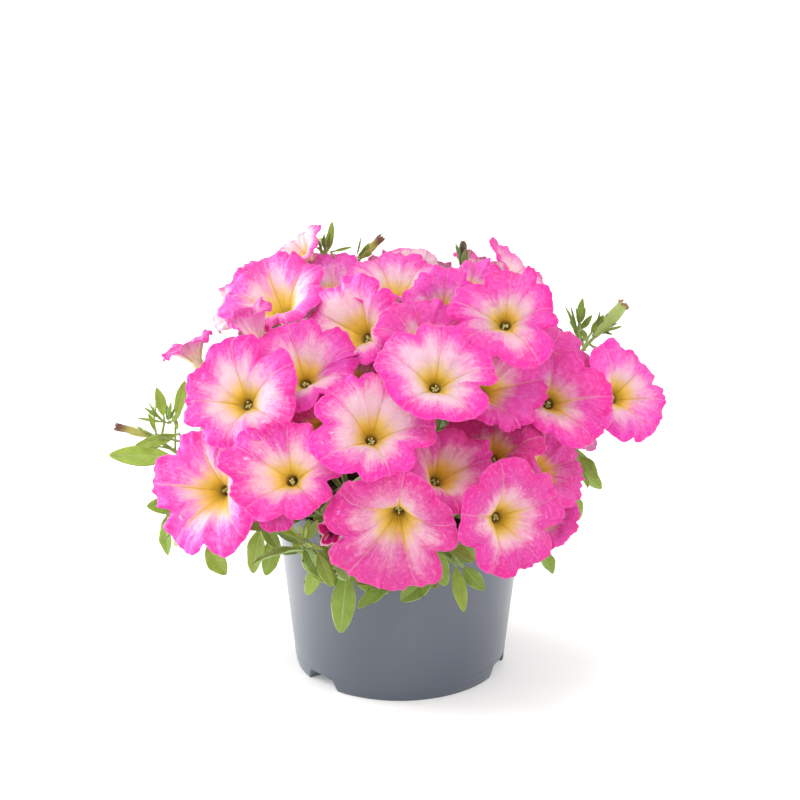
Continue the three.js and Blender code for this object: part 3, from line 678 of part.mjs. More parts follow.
// ---- pot ----------------------------------------------------------------------------------
const wallR = (z) => POT_BASE_R + 0.1 + POT_TAPER * z;
const V2 = (r, z) => new THREE.Vector2(r, z);
function potGeometry() {
  // outside up, over the rim, inside down, and across the floor: one turned skin
  const rimT = POT_WALL + 0.2;
  const shell = turned(
    [
      V2(0, 0),
      V2(POT_BASE_R - 0.8, 0),
      V2(POT_BASE_R, 0.8),
      V2(wallR(STEP_Z) + 0.05, STEP_Z),
      V2(wallR(STEP_Z + 0.5) - 0.3, STEP_Z + 0.5),
      V2(wallR(RIM_Z), RIM_Z),
      V2(RIM_R[0], RIM_Z + 0.6),
      V2(RIM_R[1], POT_HEIGHT - 0.7),
      V2(RIM_R[1] - 0.4, POT_HEIGHT),
      V2(RIM_R[1] - rimT + 0.4, POT_HEIGHT),
      V2(RIM_R[1] - rimT, POT_HEIGHT - 0.7),
      V2(RIM_R[0] - rimT, RIM_Z + 1.6),
      V2(wallR(RIM_Z) - POT_WALL, RIM_Z - 0.6),
      V2(wallR(STEP_Z) - POT_WALL - 0.3, STEP_Z),
      V2(wallR(POT_FLOOR) - POT_WALL - 0.6, POT_FLOOR),
      V2(0, POT_FLOOR),
    ],
    POT_SIDES,
  );
  let pot = solidOf(shell);
  const d = HOOD_T / NOTCH_R / (Math.PI / 180);
  for (const at of NOTCH_AT)
    pot = pot.add(
      sector(NOTCH_R - HOOD_T, wallR(4) - 0.8, 0.5, NOTCH_H + HOOD_T, at, NOTCH_HALF[0] + d, NOTCH_HALF[1] + d),
    );
  for (const at of NOTCH_AT)
    pot = pot.subtract(
      sector(NOTCH_R, POT_BASE_R + 6, -1, NOTCH_H, at, NOTCH_HALF[0] + 0.5, NOTCH_HALF[1]),
    );
  return geometryFrom(pot);
}

// ---- soil ---------------------------------------------------------------------------------
// Fills the pot from just above the floor, with a recess over each hood and a socket for each stem.
function soilGeometry(sockets) {
  const inner = (z) => wallR(z) - POT_WALL - 0.3 - 2 * CLEAR;
  const profile = [
    V2(0, POT_FLOOR + CLEAR),
    V2(inner(POT_FLOOR) - 0.6, POT_FLOOR + CLEAR),
    V2(inner(STEP_Z), STEP_Z),
    V2(inner(SOIL_Z[1]), SOIL_Z[1]),
  ];
  for (const k of [0.86, 0.66, 0.44, 0.22])
    profile.push(
      V2(inner(SOIL_Z[1]) * k, SOIL_Z[1] + (SOIL_Z[0] - SOIL_Z[1]) * (1 - k * k)),
    );
  profile.push(V2(0, SOIL_Z[0]));
  let soil = solidOf(turned(profile, 48));
  const gap = 0.5,
    d = (HOOD_T + gap) / NOTCH_R / (Math.PI / 180);
  for (const at of NOTCH_AT)
    soil = soil.subtract(
      sector(
        NOTCH_R - HOOD_T - gap, POT_BASE_R + 6, -1, NOTCH_H + HOOD_T + gap,
        at, NOTCH_HALF[0] + d + 1, NOTCH_HALF[1] + d + 1,
      ),
    );
  for (const socket of sockets) soil = soil.subtract(socket);
  return geometryFrom(soil);
}

// ---- assembly -----------------------------------------------------------------------------
const plant = new THREE.Group();
plant.name = "petunia_in_pot";
const planter = new THREE.Group(),
  shoots = new THREE.Group(),
  blooms = new THREE.Group(),
  buds = new THREE.Group();
planter.name = "planter";
shoots.name = "shoots";
blooms.name = "blooms";
buds.name = "buds";
plant.add(planter, shoots, blooms, buds);
function put(group, name, geometry, color, roughness, at, turn) {
  const mesh = new THREE.Mesh(
    geometry,
    new THREE.MeshStandardMaterial({ color, roughness, metalness: 0 }),
  );
  mesh.name = name;
  if (at) mesh.position.set(...at);
  if (turn) mesh.quaternion.set(...turn).normalize();
  group.add(mesh);
  return mesh;
}
const two = (n) => String(n).padStart(2, "0");
const quat = (q) => new THREE.Quaternion(...q).normalize();

put(planter, "pot", potGeometry(), 0x6b7078, 0.42);

const sockets = [];
SHOOTS.forEach((branches, n) => {
  let shoot = null;
  for (const [kind, path, radii, id] of branches) {
    const line = [];
    for (let i = 0; i < path.length; i += 3)
      line.push(new THREE.Vector3(path[i], path[i + 1], path[i + 2]));
    let leaf = null,
      solid;
    if (kind === "leaf") {
      const [at, turn, L, W, curl, fold, wave, phase] = LEAVES[id];
      leaf = { at: new THREE.Vector3(...at), turn: quat(turn), L, W, curl, fold, wave, phase };
      solid = leafSolid(line, radii, leaf);
    } else solid = stemSolid(line, radii);
    if (kind === "tip_bud") {
      const [at, turn, L, r] = TIP_BUD;
      const bud = budGeometry({ L, r }, -0.8);
      bud.applyQuaternion(quat(turn)).translate(...at);
      solid = solid.add(solidOf(bud));
    }
    shoot = shoot ? shoot.add(solid) : solid;
    if (line.some((p) => p.z < SOIL_Z[0] + 2)) {
      const wide = line.map((p) => p.clone());
      const back = wide[0].clone().sub(wide[1]).normalize();
      wide[0].addScaledVector(back, STEM_CLEAR);
      sockets.push(stemSolid(wide, radii.map((r) => r + STEM_CLEAR), leaf));
    }
  }
  put(shoots, "shoot_" + (n + 1), geometryFrom(shoot), 0x7ea231, 0.62);
});
put(planter, "soil", soilGeometry(sockets), 0x2f2620, 0.95);

COROLLAS.forEach(([at, turn, R, h, Lt, seed, sides, color, bend], i) =>
  put(
    blooms,
    "flower_" + two(i + 1),
    corollaGeometry({ R, h, Lt, sides, bend, shape: shapeOf(seed) }),
    color,
    0.55,
    at,
    turn,
  ),
);
BUDS.forEach(([at, turn, L, r, color], i) =>
  put(buds, "bud_" + (i + 1), budGeometry({ L, r }, CLEAR), color, 0.6, at, turn),
);

export default plant;
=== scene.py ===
# A potted petunia in bloom: the visible surfaces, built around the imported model.
# Lengths in this file are millimetres, in the object's own frame, and meshes are written in metres.
import bpy
import math
import numpy as np
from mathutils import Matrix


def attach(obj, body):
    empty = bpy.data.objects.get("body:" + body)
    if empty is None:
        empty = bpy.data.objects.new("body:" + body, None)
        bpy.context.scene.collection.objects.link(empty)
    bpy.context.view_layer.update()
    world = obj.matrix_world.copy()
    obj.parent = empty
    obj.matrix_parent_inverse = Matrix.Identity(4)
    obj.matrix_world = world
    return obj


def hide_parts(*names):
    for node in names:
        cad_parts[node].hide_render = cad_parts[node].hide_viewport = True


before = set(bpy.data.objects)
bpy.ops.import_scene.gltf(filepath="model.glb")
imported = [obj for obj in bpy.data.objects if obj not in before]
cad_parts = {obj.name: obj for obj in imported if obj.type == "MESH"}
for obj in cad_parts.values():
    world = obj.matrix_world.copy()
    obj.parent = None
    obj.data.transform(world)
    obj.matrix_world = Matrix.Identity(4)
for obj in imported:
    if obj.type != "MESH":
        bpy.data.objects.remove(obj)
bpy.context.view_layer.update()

# ---- camera and light -----------------------------------------------------------------------
ELEV, DIST, TARGET_Z, LENS = math.radians(21.5), 1.6, 0.1421, 143.145
scene = bpy.context.scene
cam = bpy.data.objects.new("camera", bpy.data.cameras.new("camera"))
scene.collection.objects.link(cam)
cam.data.sensor_fit = "HORIZONTAL"
cam.data.sensor_width = 36
cam.data.lens = LENS
cam.data.clip_start = 0.05
cam.data.clip_end = 50
cam.location = (0, -DIST * math.cos(ELEV), TARGET_Z + DIST * math.sin(ELEV))
cam.rotation_euler = (math.pi / 2 - ELEV, 0, 0)
scene.camera = cam
scene.view_settings.view_transform = "Standard"
scene.view_settings.look = "None"


def srgb(r, g, b):
    def f(c):
        c = c / 255
        return c / 12.92 if c <= 0.04045 else ((c + 0.055) / 1.055) ** 2.4
    return (f(r), f(g), f(b), 1.0)


def area_light(name, at, to, size, power, colour=(1, 1, 1)):
    d = bpy.data.lights.new(name, "AREA")
    d.shape = "RECTANGLE"
    d.size, d.size_y = size
    d.energy = power
    d.color = colour
    o = bpy.data.objects.new(name, d)
    scene.collection.objects.link(o)
    o.location = at
    v = np.array(to, float) - np.array(at, float)
    yaw = math.atan2(v[1], v[0]) - math.pi / 2
    pitch = math.atan2(v[2], math.hypot(v[0], v[1]))
    o.rotation_euler = (math.pi / 2 + pitch, 0, yaw)
    return o


LIGHT = {"world": 0.80, "key": 14.6, "fill": 3.2, "left": 26.0, "right": 3.0, "back": 5.0}
WORLD = bpy.data.worlds.new("studio")
scene.world = WORLD
WORLD.use_nodes = True
WORLD.node_tree.nodes["Background"].inputs[0].default_value = (1, 1, 1, 1)
WORLD.node_tree.nodes["Background"].inputs[1].default_value = LIGHT["world"]
area_light("key", (-0.45, -0.80, 1.60), (0, 0, 0.12), (0.9, 0.9), LIGHT["key"])
area_light("fill", (1.1, -0.9, 0.7), (0, 0, 0.12), (0.9, 0.9), LIGHT["fill"])
area_light("left", (-1.12, 0.46, 0.18), (0, 0, 0.03), (0.9, 0.6), LIGHT["left"])
area_light("right", (1.15, 0.15, 0.35), (0, 0, 0.06), (0.35, 1.0), LIGHT["right"])
area_light("back", (0.1, 1.3, 0.9), (0, 0, 0.15), (1.2, 0.8), LIGHT["back"])

TRIS = {}

# ---- repeatable numbers ---------------------------------------------------------------------
class Stream:
    def __init__(s, seed):
        s.x = (seed * 7919 + 104729) % 2147483647
        for _ in range(3):
            s.u()

    def u(s):
        s.x = (s.x * 16807) % 2147483647
        return s.x / 2147483647

    def g(s):
        return 2 * (s.u() + s.u() + s.u() - 1.5)

    def us(s, n):
        return np.array([s.u() for _ in range(n)])

    def gs(s, n):
        return np.array([s.g() for _ in range(n)])


def turn(q):
    x, y, z, w = np.array(q, float) / np.linalg.norm(q)
    return np.array([
        [1 - 2 * (y * y + z * z), 2 * (x * y - z * w), 2 * (x * z + y * w)],
        [2 * (x * y + z * w), 1 - 2 * (x * x + z * z), 2 * (y * z - x * w)],
        [2 * (x * z - y * w), 2 * (y * z + x * w), 1 - 2 * (x * x + y * y)],
    ])


def unit(v):
    return v / max(np.linalg.norm(v), 1e-12)


# ---- mesh building --------------------------------------------------------------------------
class Build:
    """Gathers closed pieces of one object, with a material, a UV pair per corner and a tint per vertex."""

    def __init__(s):
        s.v, s.n, s.base, s.faces, s.mat, s.uv, s.bake, s.tint = [], 0, 0, [], [], [], [], []

    def verts(s, verts, tint=0.5):
        verts = np.asarray(verts, float).reshape(-1, 3)
        s.v.append(verts)
        s.tint.append(np.full(len(verts), float(tint)) if np.isscalar(tint) else np.asarray(tint, float).ravel())
        s.base, s.n = s.n, s.n + len(verts)

    def face(s, faces, mat, uv=None, bake=None):
        """Faces over the verts added last: (m,k) indices, one material or one each, (m,k,2) UVs."""
        faces = np.asarray(faces, int)
        m, k = faces.shape
        s.faces.append((faces + s.base, k))
        s.mat.append(np.full(m, mat, np.int32) if np.isscalar(mat) else np.asarray(mat, np.int32).ravel())
        s.uv.append(np.full((m * k, 2), 0.5) if uv is None else np.asarray(uv, float).reshape(-1, 2))
        s.bake.append(np.zeros((m * k, 2)) if bake is None else np.asarray(bake, float).reshape(-1, 2))

    def tris(s):
        return sum(len(f) * (k - 2) for f, k in s.faces)

    def make(s, name, mats, bake=False, attrs=None):
        me = bpy.data.meshes.new(name)
        v = np.concatenate(s.v) * 0.001
        loops = np.concatenate([f.ravel() for f, k in s.faces])
        tot = np.concatenate([np.full(len(f), k, np.int32) for f, k in s.faces])
        start = np.concatenate([[0], np.cumsum(tot)[:-1]]).astype(np.int32)
        me.vertices.add(len(v))
        me.vertices.foreach_set("co", v.astype(np.float32).ravel())
        me.loops.add(len(loops))
        me.loops.foreach_set("vertex_index", loops.astype(np.int32))
        me.polygons.add(len(tot))
        me.polygons.foreach_set("loop_start", start)
        me.polygons.foreach_set("material_index", np.concatenate(s.mat))
        me.update(calc_edges=True)
        me.polygons.foreach_set("use_smooth", np.ones(len(tot), bool))
        for key, data in (("part", s.uv), ("OFBake", s.bake if bake else None)):
            if data is not None:
                layer = me.uv_layers.new(name=key, do_init=False)
                layer.uv.foreach_set("vector", np.concatenate(data).astype(np.float32).ravel())
        a = me.attributes.new("tint", "FLOAT", "POINT")
        a.data.foreach_set("value", np.concatenate(s.tint).astype(np.float32))
        for key, value in (attrs or {}).items():
            a = me.attributes.new(key, "FLOAT_COLOR", "POINT")
            a.data.foreach_set("color", np.tile(np.array(value, np.float32), (len(v), 1)).ravel())
        for m in mats:
            me.materials.append(m)
        me.validate()
        ob = bpy.data.objects.new(name, me)
        scene.collection.objects.link(ob)
        return ob


def grid_quads(rows, cols, wrap=True, flip=False):
    """Quads of a rows x cols vertex grid; cols close on themselves if wrap."""
    i, j = np.meshgrid(np.arange(rows - 1), np.arange(cols if wrap else cols - 1), indexing="ij")
    k = (j + 1) % cols
    q = np.stack([i * cols + j, i * cols + k, (i + 1) * cols + k, (i + 1) * cols + j], -1).reshape(-1, 4)
    return q[:, ::-1] if flip else q


def grid_uv(us, vs, wrap=True, flip=False):
    """Per-corner (u, v) of grid_quads: us per column (one more than the columns if wrap), vs per row."""
    us, vs = np.asarray(us, float), np.asarray(vs, float)
    rows, cols = len(vs), len(us)
    i, j = np.meshgrid(np.arange(rows - 1), np.arange(cols - 1), indexing="ij")
    q = np.stack([
        np.stack([us[j], vs[i]], -1), np.stack([us[j + 1], vs[i]], -1),
        np.stack([us[j + 1], vs[i + 1]], -1), np.stack([us[j], vs[i + 1]], -1),
    ], -2).reshape(-1, 4, 2)
    return q[:, ::-1] if flip else q


def shell(b, rings, mat, us=None, vs=None, tint=0.5, flip=False, caps=(True, True), bake=None, cap_mat=None):
    """A closed skin over rings of points (rows, cols, 3); each end is closed with a fan."""
    rings = np.asarray(rings, float)
    rows, cols = rings.shape[:2]
    ends = [rings[0].mean(0), rings[-1].mean(0)]
    t = tint if np.isscalar(tint) else np.concatenate([np.asarray(tint, float).ravel(), [np.ravel(tint)[0], np.ravel(tint)[-1]]])
    b.verts(np.vstack([rings.reshape(-1, 3), ends]), t)
    us = np.linspace(0, 1, cols + 1) if us is None else us
    vs = np.linspace(0, 1, rows) if vs is None else vs
    b.face(grid_quads(rows, cols, flip=flip), mat, grid_uv(us, vs, flip=flip), bake)
    j = np.arange(cols)
    k = (j + 1) % cols
    n = rows * cols
    m0 = mat if np.isscalar(mat) else np.ravel(mat)[0]
    m1 = mat if np.isscalar(mat) else np.ravel(mat)[-1]
    for end, (use, c, m, v) in enumerate(((caps[0], n, m0, vs[0]), (caps[1], n + 1, m1, vs[-1]))):
        if use:
            r = end * (rows - 1) * cols
            f = np.stack([r + k, r + j, np.full(cols, c)], 1) if (end == 0) != flip else np.stack([r + j, r + k, np.full(cols, c)], 1)
            b.face(f, m, np.full((cols, 3, 2), (0.5, v)), np.full((cols, 3, 2), (0.985, 0.985)) + np.array([[0, 0], [0.004, 0], [0, 0.004]]))


def ball(b, at, radii, mat, tint=0.5, axis=None, rows=7, cols=10):
    """A small closed ellipsoid; radii (side, side, along axis)."""
    ph = np.linspace(math.pi, 0, rows)
    ph[0], ph[-1] = math.pi - 0.12, 0.12
    th = np.arange(cols) * 2 * math.pi / cols
    p = np.stack([np.outer(np.sin(ph), np.cos(th)) * radii[0], np.outer(np.sin(ph), np.sin(th)) * radii[1],
                  np.outer(np.cos(ph), np.ones(cols)) * radii[2]], -1)
    if axis is not None:
        z = unit(np.array(axis, float))
        x = unit(np.cross(z, [0, 0, 1.0] if abs(z[2]) < 0.9 else [1.0, 0, 0]))
        p = p @ np.stack([x, np.cross(z, x), z])
    n = (rows - 1) * cols
    bk = np.tile(np.array([[0, 0], [0.012, 0], [0.012, 0.012], [0, 0.012]]) + np.array([0.94, 0.004]), (n, 1, 1))
    shell(b, p + np.array(at, float), mat, tint=tint, bake=bk)


def frames(path, start=None, end=None, side=None, from_end=False):
    """Unit tangents along a path, and a side vector carried along it without twist."""
    path = np.asarray(path, float)
    d = np.gradient(path, axis=0)
    d[1:-1] = path[2:] - path[:-2]
    if start is not None:
        d[0] = start
    if end is not None:
        d[-1] = end
    d /= np.maximum(np.linalg.norm(d, axis=1, keepdims=True), 1e-9)
    order = range(len(path) - 1, -1, -1) if from_end else range(len(path))
    t0 = d[-1] if from_end else d[0]
    u = np.cross(t0, [0, 0, 1.0] if abs(t0[2]) < 0.9 else [1.0, 0, 0]) if side is None else np.array(side, float)
    out = np.zeros_like(path)
    for i in order:
        u = unit(u - d[i] * (u @ d[i]))
        out[i] = u
    return d, out


def smooth(path, radii, step=3.0):
    """A rounded line through the path's points (Catmull-Rom), with radii."""
    P = np.asarray(path, float)
    R = np.asarray(radii, float)
    E = np.vstack([2 * P[0] - P[1], P, 2 * P[-1] - P[-2]])
    RR = np.concatenate([[R[0]], R, [R[-1]]])
    pts, rad = [], []
    for i in range(1, len(E) - 2):
        a, b_, c, d = E[i - 1], E[i], E[i + 1], E[i + 2]
        # centripetal parameters keep short and long spans from overshooting
        t = [0.0]
        for p, q in ((a, b_), (b_, c), (c, d)):
            t.append(t[-1] + max(np.linalg.norm(q - p), 1e-6) ** 0.5)
        m = max(1, int(math.ceil(np.linalg.norm(c - b_) / step)))
        for k in range(m):
            x = t[1] + (t[2] - t[1]) * k / m
            A1 = ((t[1] - x) * a + (x - t[0]) * b_) / (t[1] - t[0])
            A2 = ((t[2] - x) * b_ + (x - t[1]) * c) / (t[2] - t[1])
            A3 = ((t[3] - x) * c + (x - t[2]) * d) / (t[3] - t[2])
            B1 = ((t[2] - x) * A1 + (x - t[0]) * A2) / (t[2] - t[0])
            B2 = ((t[3] - x) * A2 + (x - t[1]) * A3) / (t[3] - t[1])
            pts.append(((t[2] - x) * B1 + (x - t[1]) * B2) / (t[2] - t[1]))
            rad.append(RR[i] + (RR[i + 1] - RR[i]) * k / m)
    pts.append(P[-1])
    rad.append(R[-1])
    return np.array(pts), np.array(rad)


def tube(b, path, radii, mat, sides=8, tint=0.5, end=None):
    d, u = frames(path, end=end)
    v = np.cross(d, u)
    a = np.arange(sides) * 2 * math.pi / sides
    r = np.asarray(radii, float)[:, None, None]
    rings = np.asarray(path)[:, None] + r * (u[:, None] * np.cos(a)[None, :, None] + v[:, None] * np.sin(a)[None, :, None])
    shell(b, rings, mat, tint=tint)

# ---- where everything stands ----------------------------------------------------------------
# Leaves: foot of the blade, turn, length, width, curl, fold, wave, phase.
LEAVES = [
    ((-113.9, -13.99, 117.14), (-0.03164, 0.55475, -0.83139, 0.00702), 32.14, 11.06, 0.12, 0.264, 0.679, 0.066),
    ((-111.82, -10.99, 127.84), (-0.02649, 0.65026, -0.74117, 0.16469), 21.74, 6.78, 0.12, 0.353, 0.611, 0.774),
    ((-118.7, -4.45, 134.67), (0.48636, -0.37523, 0.68043, 0.3996), 15.37, 6.03, 0.12, 0.344, 0.543, 0.248),
    ((-112.68, -1.15, 132.81), (0.39172, -0.36648, 0.50895, 0.67321), 19.44, 6.03, 0.12, 0.269, 0.543, 0.797),
    ((-110.58, -20, 94.33), (-0.31554, 0.52123, -0.75209, 0.25121), 19.24, 10.11, 0.5, 0.31, 0.91, 0.033),
    ((-116.89, -25, 89.94), (0.41901, 0.12029, -0.72717, 0.53026), 20.55, 7.99, 0.5, 0.236, 0.719, 0.246),
    ((-95.8, -45.91, 82.83), (0.54537, 0.21276, -0.43861, 0.68185), 17.64, 11.06, 0.12, 0.377, 0.972, 0.317),
    ((-68.19, -49.05, 94.51), (0.40257, 0.34094, -0.71895, 0.45256), 25.02, 9.58, 0.5, 0.258, 0.862, 0.741),
    ((-61.36, -48.16, 90.87), (0.31474, 0.50274, -0.58677, 0.55127), 23.21, 9.58, 0.4, 0.26, 0.862, 0.631),
    ((-69.03, -60.97, 103.5), (0.49565, 0.15981, -0.45018, 0.72535), 19.6, 7.04, 0.12, 0.249, 0.633, 0.266),
    ((-63.14, -60.64, 105.49), (0.51859, 0.00348, -0.36535, 0.77303), 18.44, 6.78, 0.12, 0.406, 0.611, 0.48),
    ((-65.23, -49.69, 92.63), (-0.07762, -0.07894, -0.46107, 0.88043), 28.88, 6.92, 0.3, 0.248, 0.623, 0.588),
    ((-54.26, -53.21, 90.95), (0.49448, -0.17637, -0.46707, 0.7115), 19.75, 6.39, 0.3, 0.268, 0.575, 0.767),
    ((-127.77, -11.44, 129.91), (-0.09051, -0.44625, 0.82089, 0.34467), 6.75, 1.31, 0.12, 0.338, 0.118, 0.796),
    ((-122.28, -14.37, 130.56), (0.33788, -0.24448, 0.78281, 0.46182), 10.17, 3.02, 0.12, 0.37, 0.271, 0.288),
    ((-119.52, -11.08, 121.1), (-0.08321, -0.53893, 0.82825, 0.129), 8.86, 2.01, 0.12, 0.25, 0.181, 0.784),
    ((-78.73, -19.8, 102.49), (0.08178, 0.07617, -0.98915, 0.09533), 37.92, 18.3, 0.619, 0.448, 1.043, 0.551),
    ((-72.13, -28.19, 104.4), (0.14789, 0.08778, -0.95945, 0.22334), 28.61, 16.6, 1.001, 0.394, 0.882, 0.317),
    ((-68.21, -13.79, 117.69), (-0.0503, -0.09857, -0.99305, 0.04015), 37.54, 16.72, 0.6, 0.217, 1.029, 0.71),
    ((-50.8, -9.23, 107.06), (-0.15155, -0.12017, -0.96555, 0.17407), 31.64, 16.16, 0.5, 0.321, 1.154, 0.545),
    ((-39.21, -21.49, 99.59), (0.17259, -0.04305, 0.98385, 0.01999), 32.49, 19.82, 0.5, 0.298, 1.242, 0.216),
    ((-50.55, -35.89, 140), (-0.099, -0.24903, -0.83579, 0.47921), 26.79, 13.42, 0.5, 0.41, 1.053, 0.564),
    ((-63.23, -9.88, 150), (-0.33712, -0.04514, -0.88937, 0.30549), 32.92, 15.75, 0.5, 0.388, 0.832, 0.134),
    ((-55.68, -22.36, 160), (-0.23134, -0.15815, -0.91059, 0.3038), 32.69, 13.57, 0.5, 0.348, 1.221, 0.607),
    ((-63.83, -40.3, 77.04), (0.46758, -0.02651, -0.01403, 0.88344), 15.47, 4.52, 0.12, 0.274, 0.407, 0.076),
    ((-47.55, -64.3, 89.98), (0.39187, 0.08733, -0.46052, 0.79166), 23.89, 12.56, 0.12, 0.283, 0.639, 0.472),
    ((-25.81, -77.81, 83.78), (0.38592, 0.39559, -0.63226, 0.54298), 32.25, 12.6, 0.45, 0.252, 1.046, 0.655),
    ((-34.28, -67.83, 84.59), (0.51757, 0.13993, -0.53019, 0.65685), 19, 7.99, 0.3, 0.332, 0.719, 0.135),
    ((-39.15, -68.12, 98.95), (0.24038, 0.21747, -0.44425, 0.8352), 22.28, 9.01, 0.271, 0.289, 0.811, 0.886),
    ((-47.08, -77.03, 99.14), (0.62876, -0.35264, 0.48548, 0.49459), 11.38, 3.77, 0.12, 0.238, 0.339, 0.914),
    ((-44.92, -84.2, 102.07), (0.46657, -0.46519, 0.27377, 0.70069), 12.31, 4.27, 0.12, 0.312, 0.384, 0.003),
    ((-33.01, -35.56, 103.92), (-0.14796, -0.14923, -0.82626, 0.52263), 29.31, 15.68, 0.5, 0.29, 0.83, 0.063),
    ((-16.97, -46.15, 103), (-0.23285, -0.03696, -0.80371, 0.54632), 31.51, 17.28, 0.5, 0.393, 0.98, 0.927),
    ((-3.49, -50.22, 109.51), (-0.0716, -0.26273, -0.55769, 0.78411), 27.78, 14.29, 0.5, 0.392, 1.286, 0.231),
    ((-13.03, -48.27, 128), (-0.283, -0.18407, -0.75125, 0.56715), 31.26, 15.71, 0.5, 0.222, 1.414, 0.335),
    ((-18.86, -30.35, 147.61), (-0.13796, -0.2483, -0.81798, 0.50021), 27.1, 11.63, 0.5, 0.38, 0.889, 0.169),
    ((-24.97, -71.78, 76.19), (0.07315, -0.14043, -0.33657, 0.92825), 26.28, 7.99, 0.4, 0.251, 0.719, 0.321),
    ((-3.41, -77.93, 76.87), (0.138, 0.25653, -0.927, 0.23625), 21.37, 8.52, 0.35, 0.242, 0.709, 0.691),
    ((16.55, -78.81, 83.17), (0.21835, 0.51272, -0.78229, 0.27833), 21.57, 12.06, 0.12, 0.372, 0.641, 0.931),
    ((26.87, -72.7, 83.59), (0.37195, 0.27879, -0.5742, 0.67396), 22.98, 7.54, 0.12, 0.331, 0.678, 0.263),
    ((30.28, -72.94, 83.7), (0.52679, 0.27701, -0.29828, 0.74618), 16.37, 8.54, 0.12, 0.356, 0.769, 0.321),
    ((17.47, -78.07, 96.69), (0.11842, 0.02583, -0.15188, 0.98094), 20.42, 10.65, 0.5, 0.377, 0.601, 0.904),
    ((14.82, -77.37, 97.68), (0.41448, 0.31691, -0.47622, 0.70781), 22.53, 10.19, 0.4, 0.266, 0.672, 0.623),
    ((12.41, -49.02, 103.13), (-0.13945, -0.22421, -0.47827, 0.83758), 34.1, 16.54, 0.5, 0.278, 1.426, 0.805),
    ((21.33, -45.57, 108.14), (-0.02584, -0.3062, -0.53474, 0.78716), 32.7, 18.87, 0.5, 0.246, 1.306, 0.62),
    ((35.69, -35.91, 102.52), (-0.00387, -0.23755, -0.29939, 0.92408), 39.48, 20.09, 0.5, 0.378, 1.573, 0.312),
    ((31.7, -50.94, 135), (0.0554, -0.34482, -0.2397, 0.90585), 28.51, 13.24, 0.5, 0.32, 1.192, 0.204),
    ((8.11, -37.13, 150), (-0.10256, -0.27771, -0.64081, 0.70832), 30.53, 17.4, 0.5, 0.269, 0.98, 0.363),
    ((67.31, -50.25, 84.22), (0.32261, 0.33626, -0.27045, 0.84244), 17.15, 8.26, 0.5, 0.4, 0.767, 0.867),
    ((88.72, -40, 128.19), (0.35943, 0.10939, -0.46956, 0.79897), 14.56, 7.54, 0.5, 0.292, 0.814, 0.296),
    ((89.99, -38, 119.87), (0.14741, 0.39401, -0.39961, 0.81446), 9.47, 3.99, 0.3, 0.335, 0.431, 0.718),
    ((73.92, -26.41, 104.91), (0.13573, 0.14672, -0.1016, 0.97454), 23.6, 15.06, 0.866, 0.377, 1.163, 0.544),
    ((76.32, -9.38, 98.53), (-0.03548, 0.19506, -0.19814, 0.95991), 22.54, 18.35, 0.81, 0.384, 1.118, 0.576),
    ((72.45, -9.18, 115.7), (-0.12623, -0.12103, -0.11054, 0.97836), 23.28, 15.26, 0.6, 0.444, 0.811, 0.107),
    ((49.82, -23.61, 102.91), (-0.06374, -0.17817, -0.28899, 0.93844), 30.75, 18.08, 0.5, 0.38, 1.494, 0.853),
    ((61.31, -24.42, 145), (-0.14731, -0.30034, -0.28023, 0.89976), 34.44, 17.69, 0.5, 0.347, 1.025, 0.434),
    ((36.56, -20.68, 160), (0.14517, -0.0849, -0.34766, 0.92242), 25.72, 13.07, 0.5, 0.419, 0.874, 0.223),
    ((89.78, 12.25, 173.49), (0.41495, -0.41416, 0.73883, 0.3323), 15.18, 1.71, 0.12, 0.249, 0.154, 0.946),
    ((90.01, 15.88, 176.45), (0.36756, -0.54224, 0.38375, 0.65086), 13.98, 4.27, 0.12, 0.302, 0.384, 0.706),
    ((90.43, 11.13, 175.51), (0.63079, -0.42191, 0.24055, 0.60516), 10.62, 3.52, 0.12, 0.348, 0.317, 0.482),
    ((101.9, 2.38, 178.21), (0.56933, -0.17909, 0.02638, 0.80194), 9.6, 1.81, 0.12, 0.322, 0.163, 0.45),
    ((95.51, 7.38, 174.76), (0.44139, -0.41769, 0.24695, 0.7548), 11.9, 4.02, 0.12, 0.408, 0.362, 0.486),
    ((73.93, 9.06, 106.1), (0.14164, 0.05014, -0.16799, 0.97427), 32.98, 18.48, 0.585, 0.323, 1.199, 0.282),
    ((67.3, 29.35, 102.76), (0.0281, 0.24759, 0.26961, 0.93017), 39.81, 22.45, 0.661, 0.238, 1.491, 0.861),
    ((58.64, 49.43, 100.82), (-0.05702, -0.02113, 0.23434, 0.97025), 29.11, 18.06, 0.477, 0.417, 0.845, 0.203),
    ((65.79, 16.67, 124.41), (-0.20464, -0.01023, -0.15354, 0.96667), 35.11, 18.67, 0.6, 0.347, 1.17, 0.864),
    ((55.81, 43.31, 115.55), (0.06815, 0.00568, 0.53631, 0.84125), 35.57, 18.77, 0.6, 0.368, 1.326, 0.903),
    ((58.53, 13.2, 150), (0.01451, -0.40133, 0.13361, 0.90602), 27.63, 16.08, 0.5, 0.407, 1.21, 0.744),
    ((30, 0.33, 170), (-0.242, -0.22076, -0.233, 0.91565), 28.15, 14.95, 0.5, 0.203, 1.345, 0.131),
    ((43.59, 67.52, 98.39), (-0.16602, 0.16522, 0.54868, 0.80255), 38.43, 20.51, 0.509, 0.442, 0.931, 0.216),
    ((23.02, 61.95, 106.11), (-0.15938, 0.30715, 0.41319, 0.84233), 30.35, 17.78, 1.102, 0.22, 1.218, 0.217),
    ((17.44, 77.03, 99.46), (-0.03882, 0.307, 0.66569, 0.67904), 30.51, 18.04, 0.85, 0.425, 0.944, 0.894),
    ((18.51, 69.28, 118.63), (0.06194, -0.00711, 0.73348, 0.67685), 28.68, 18.73, 0.6, 0.258, 1.373, 0.921),
    ((34.24, 39.14, 158), (-0.05681, -0.24228, 0.30762, 0.91839), 24.84, 12.39, 0.5, 0.343, 0.8, 0.307),
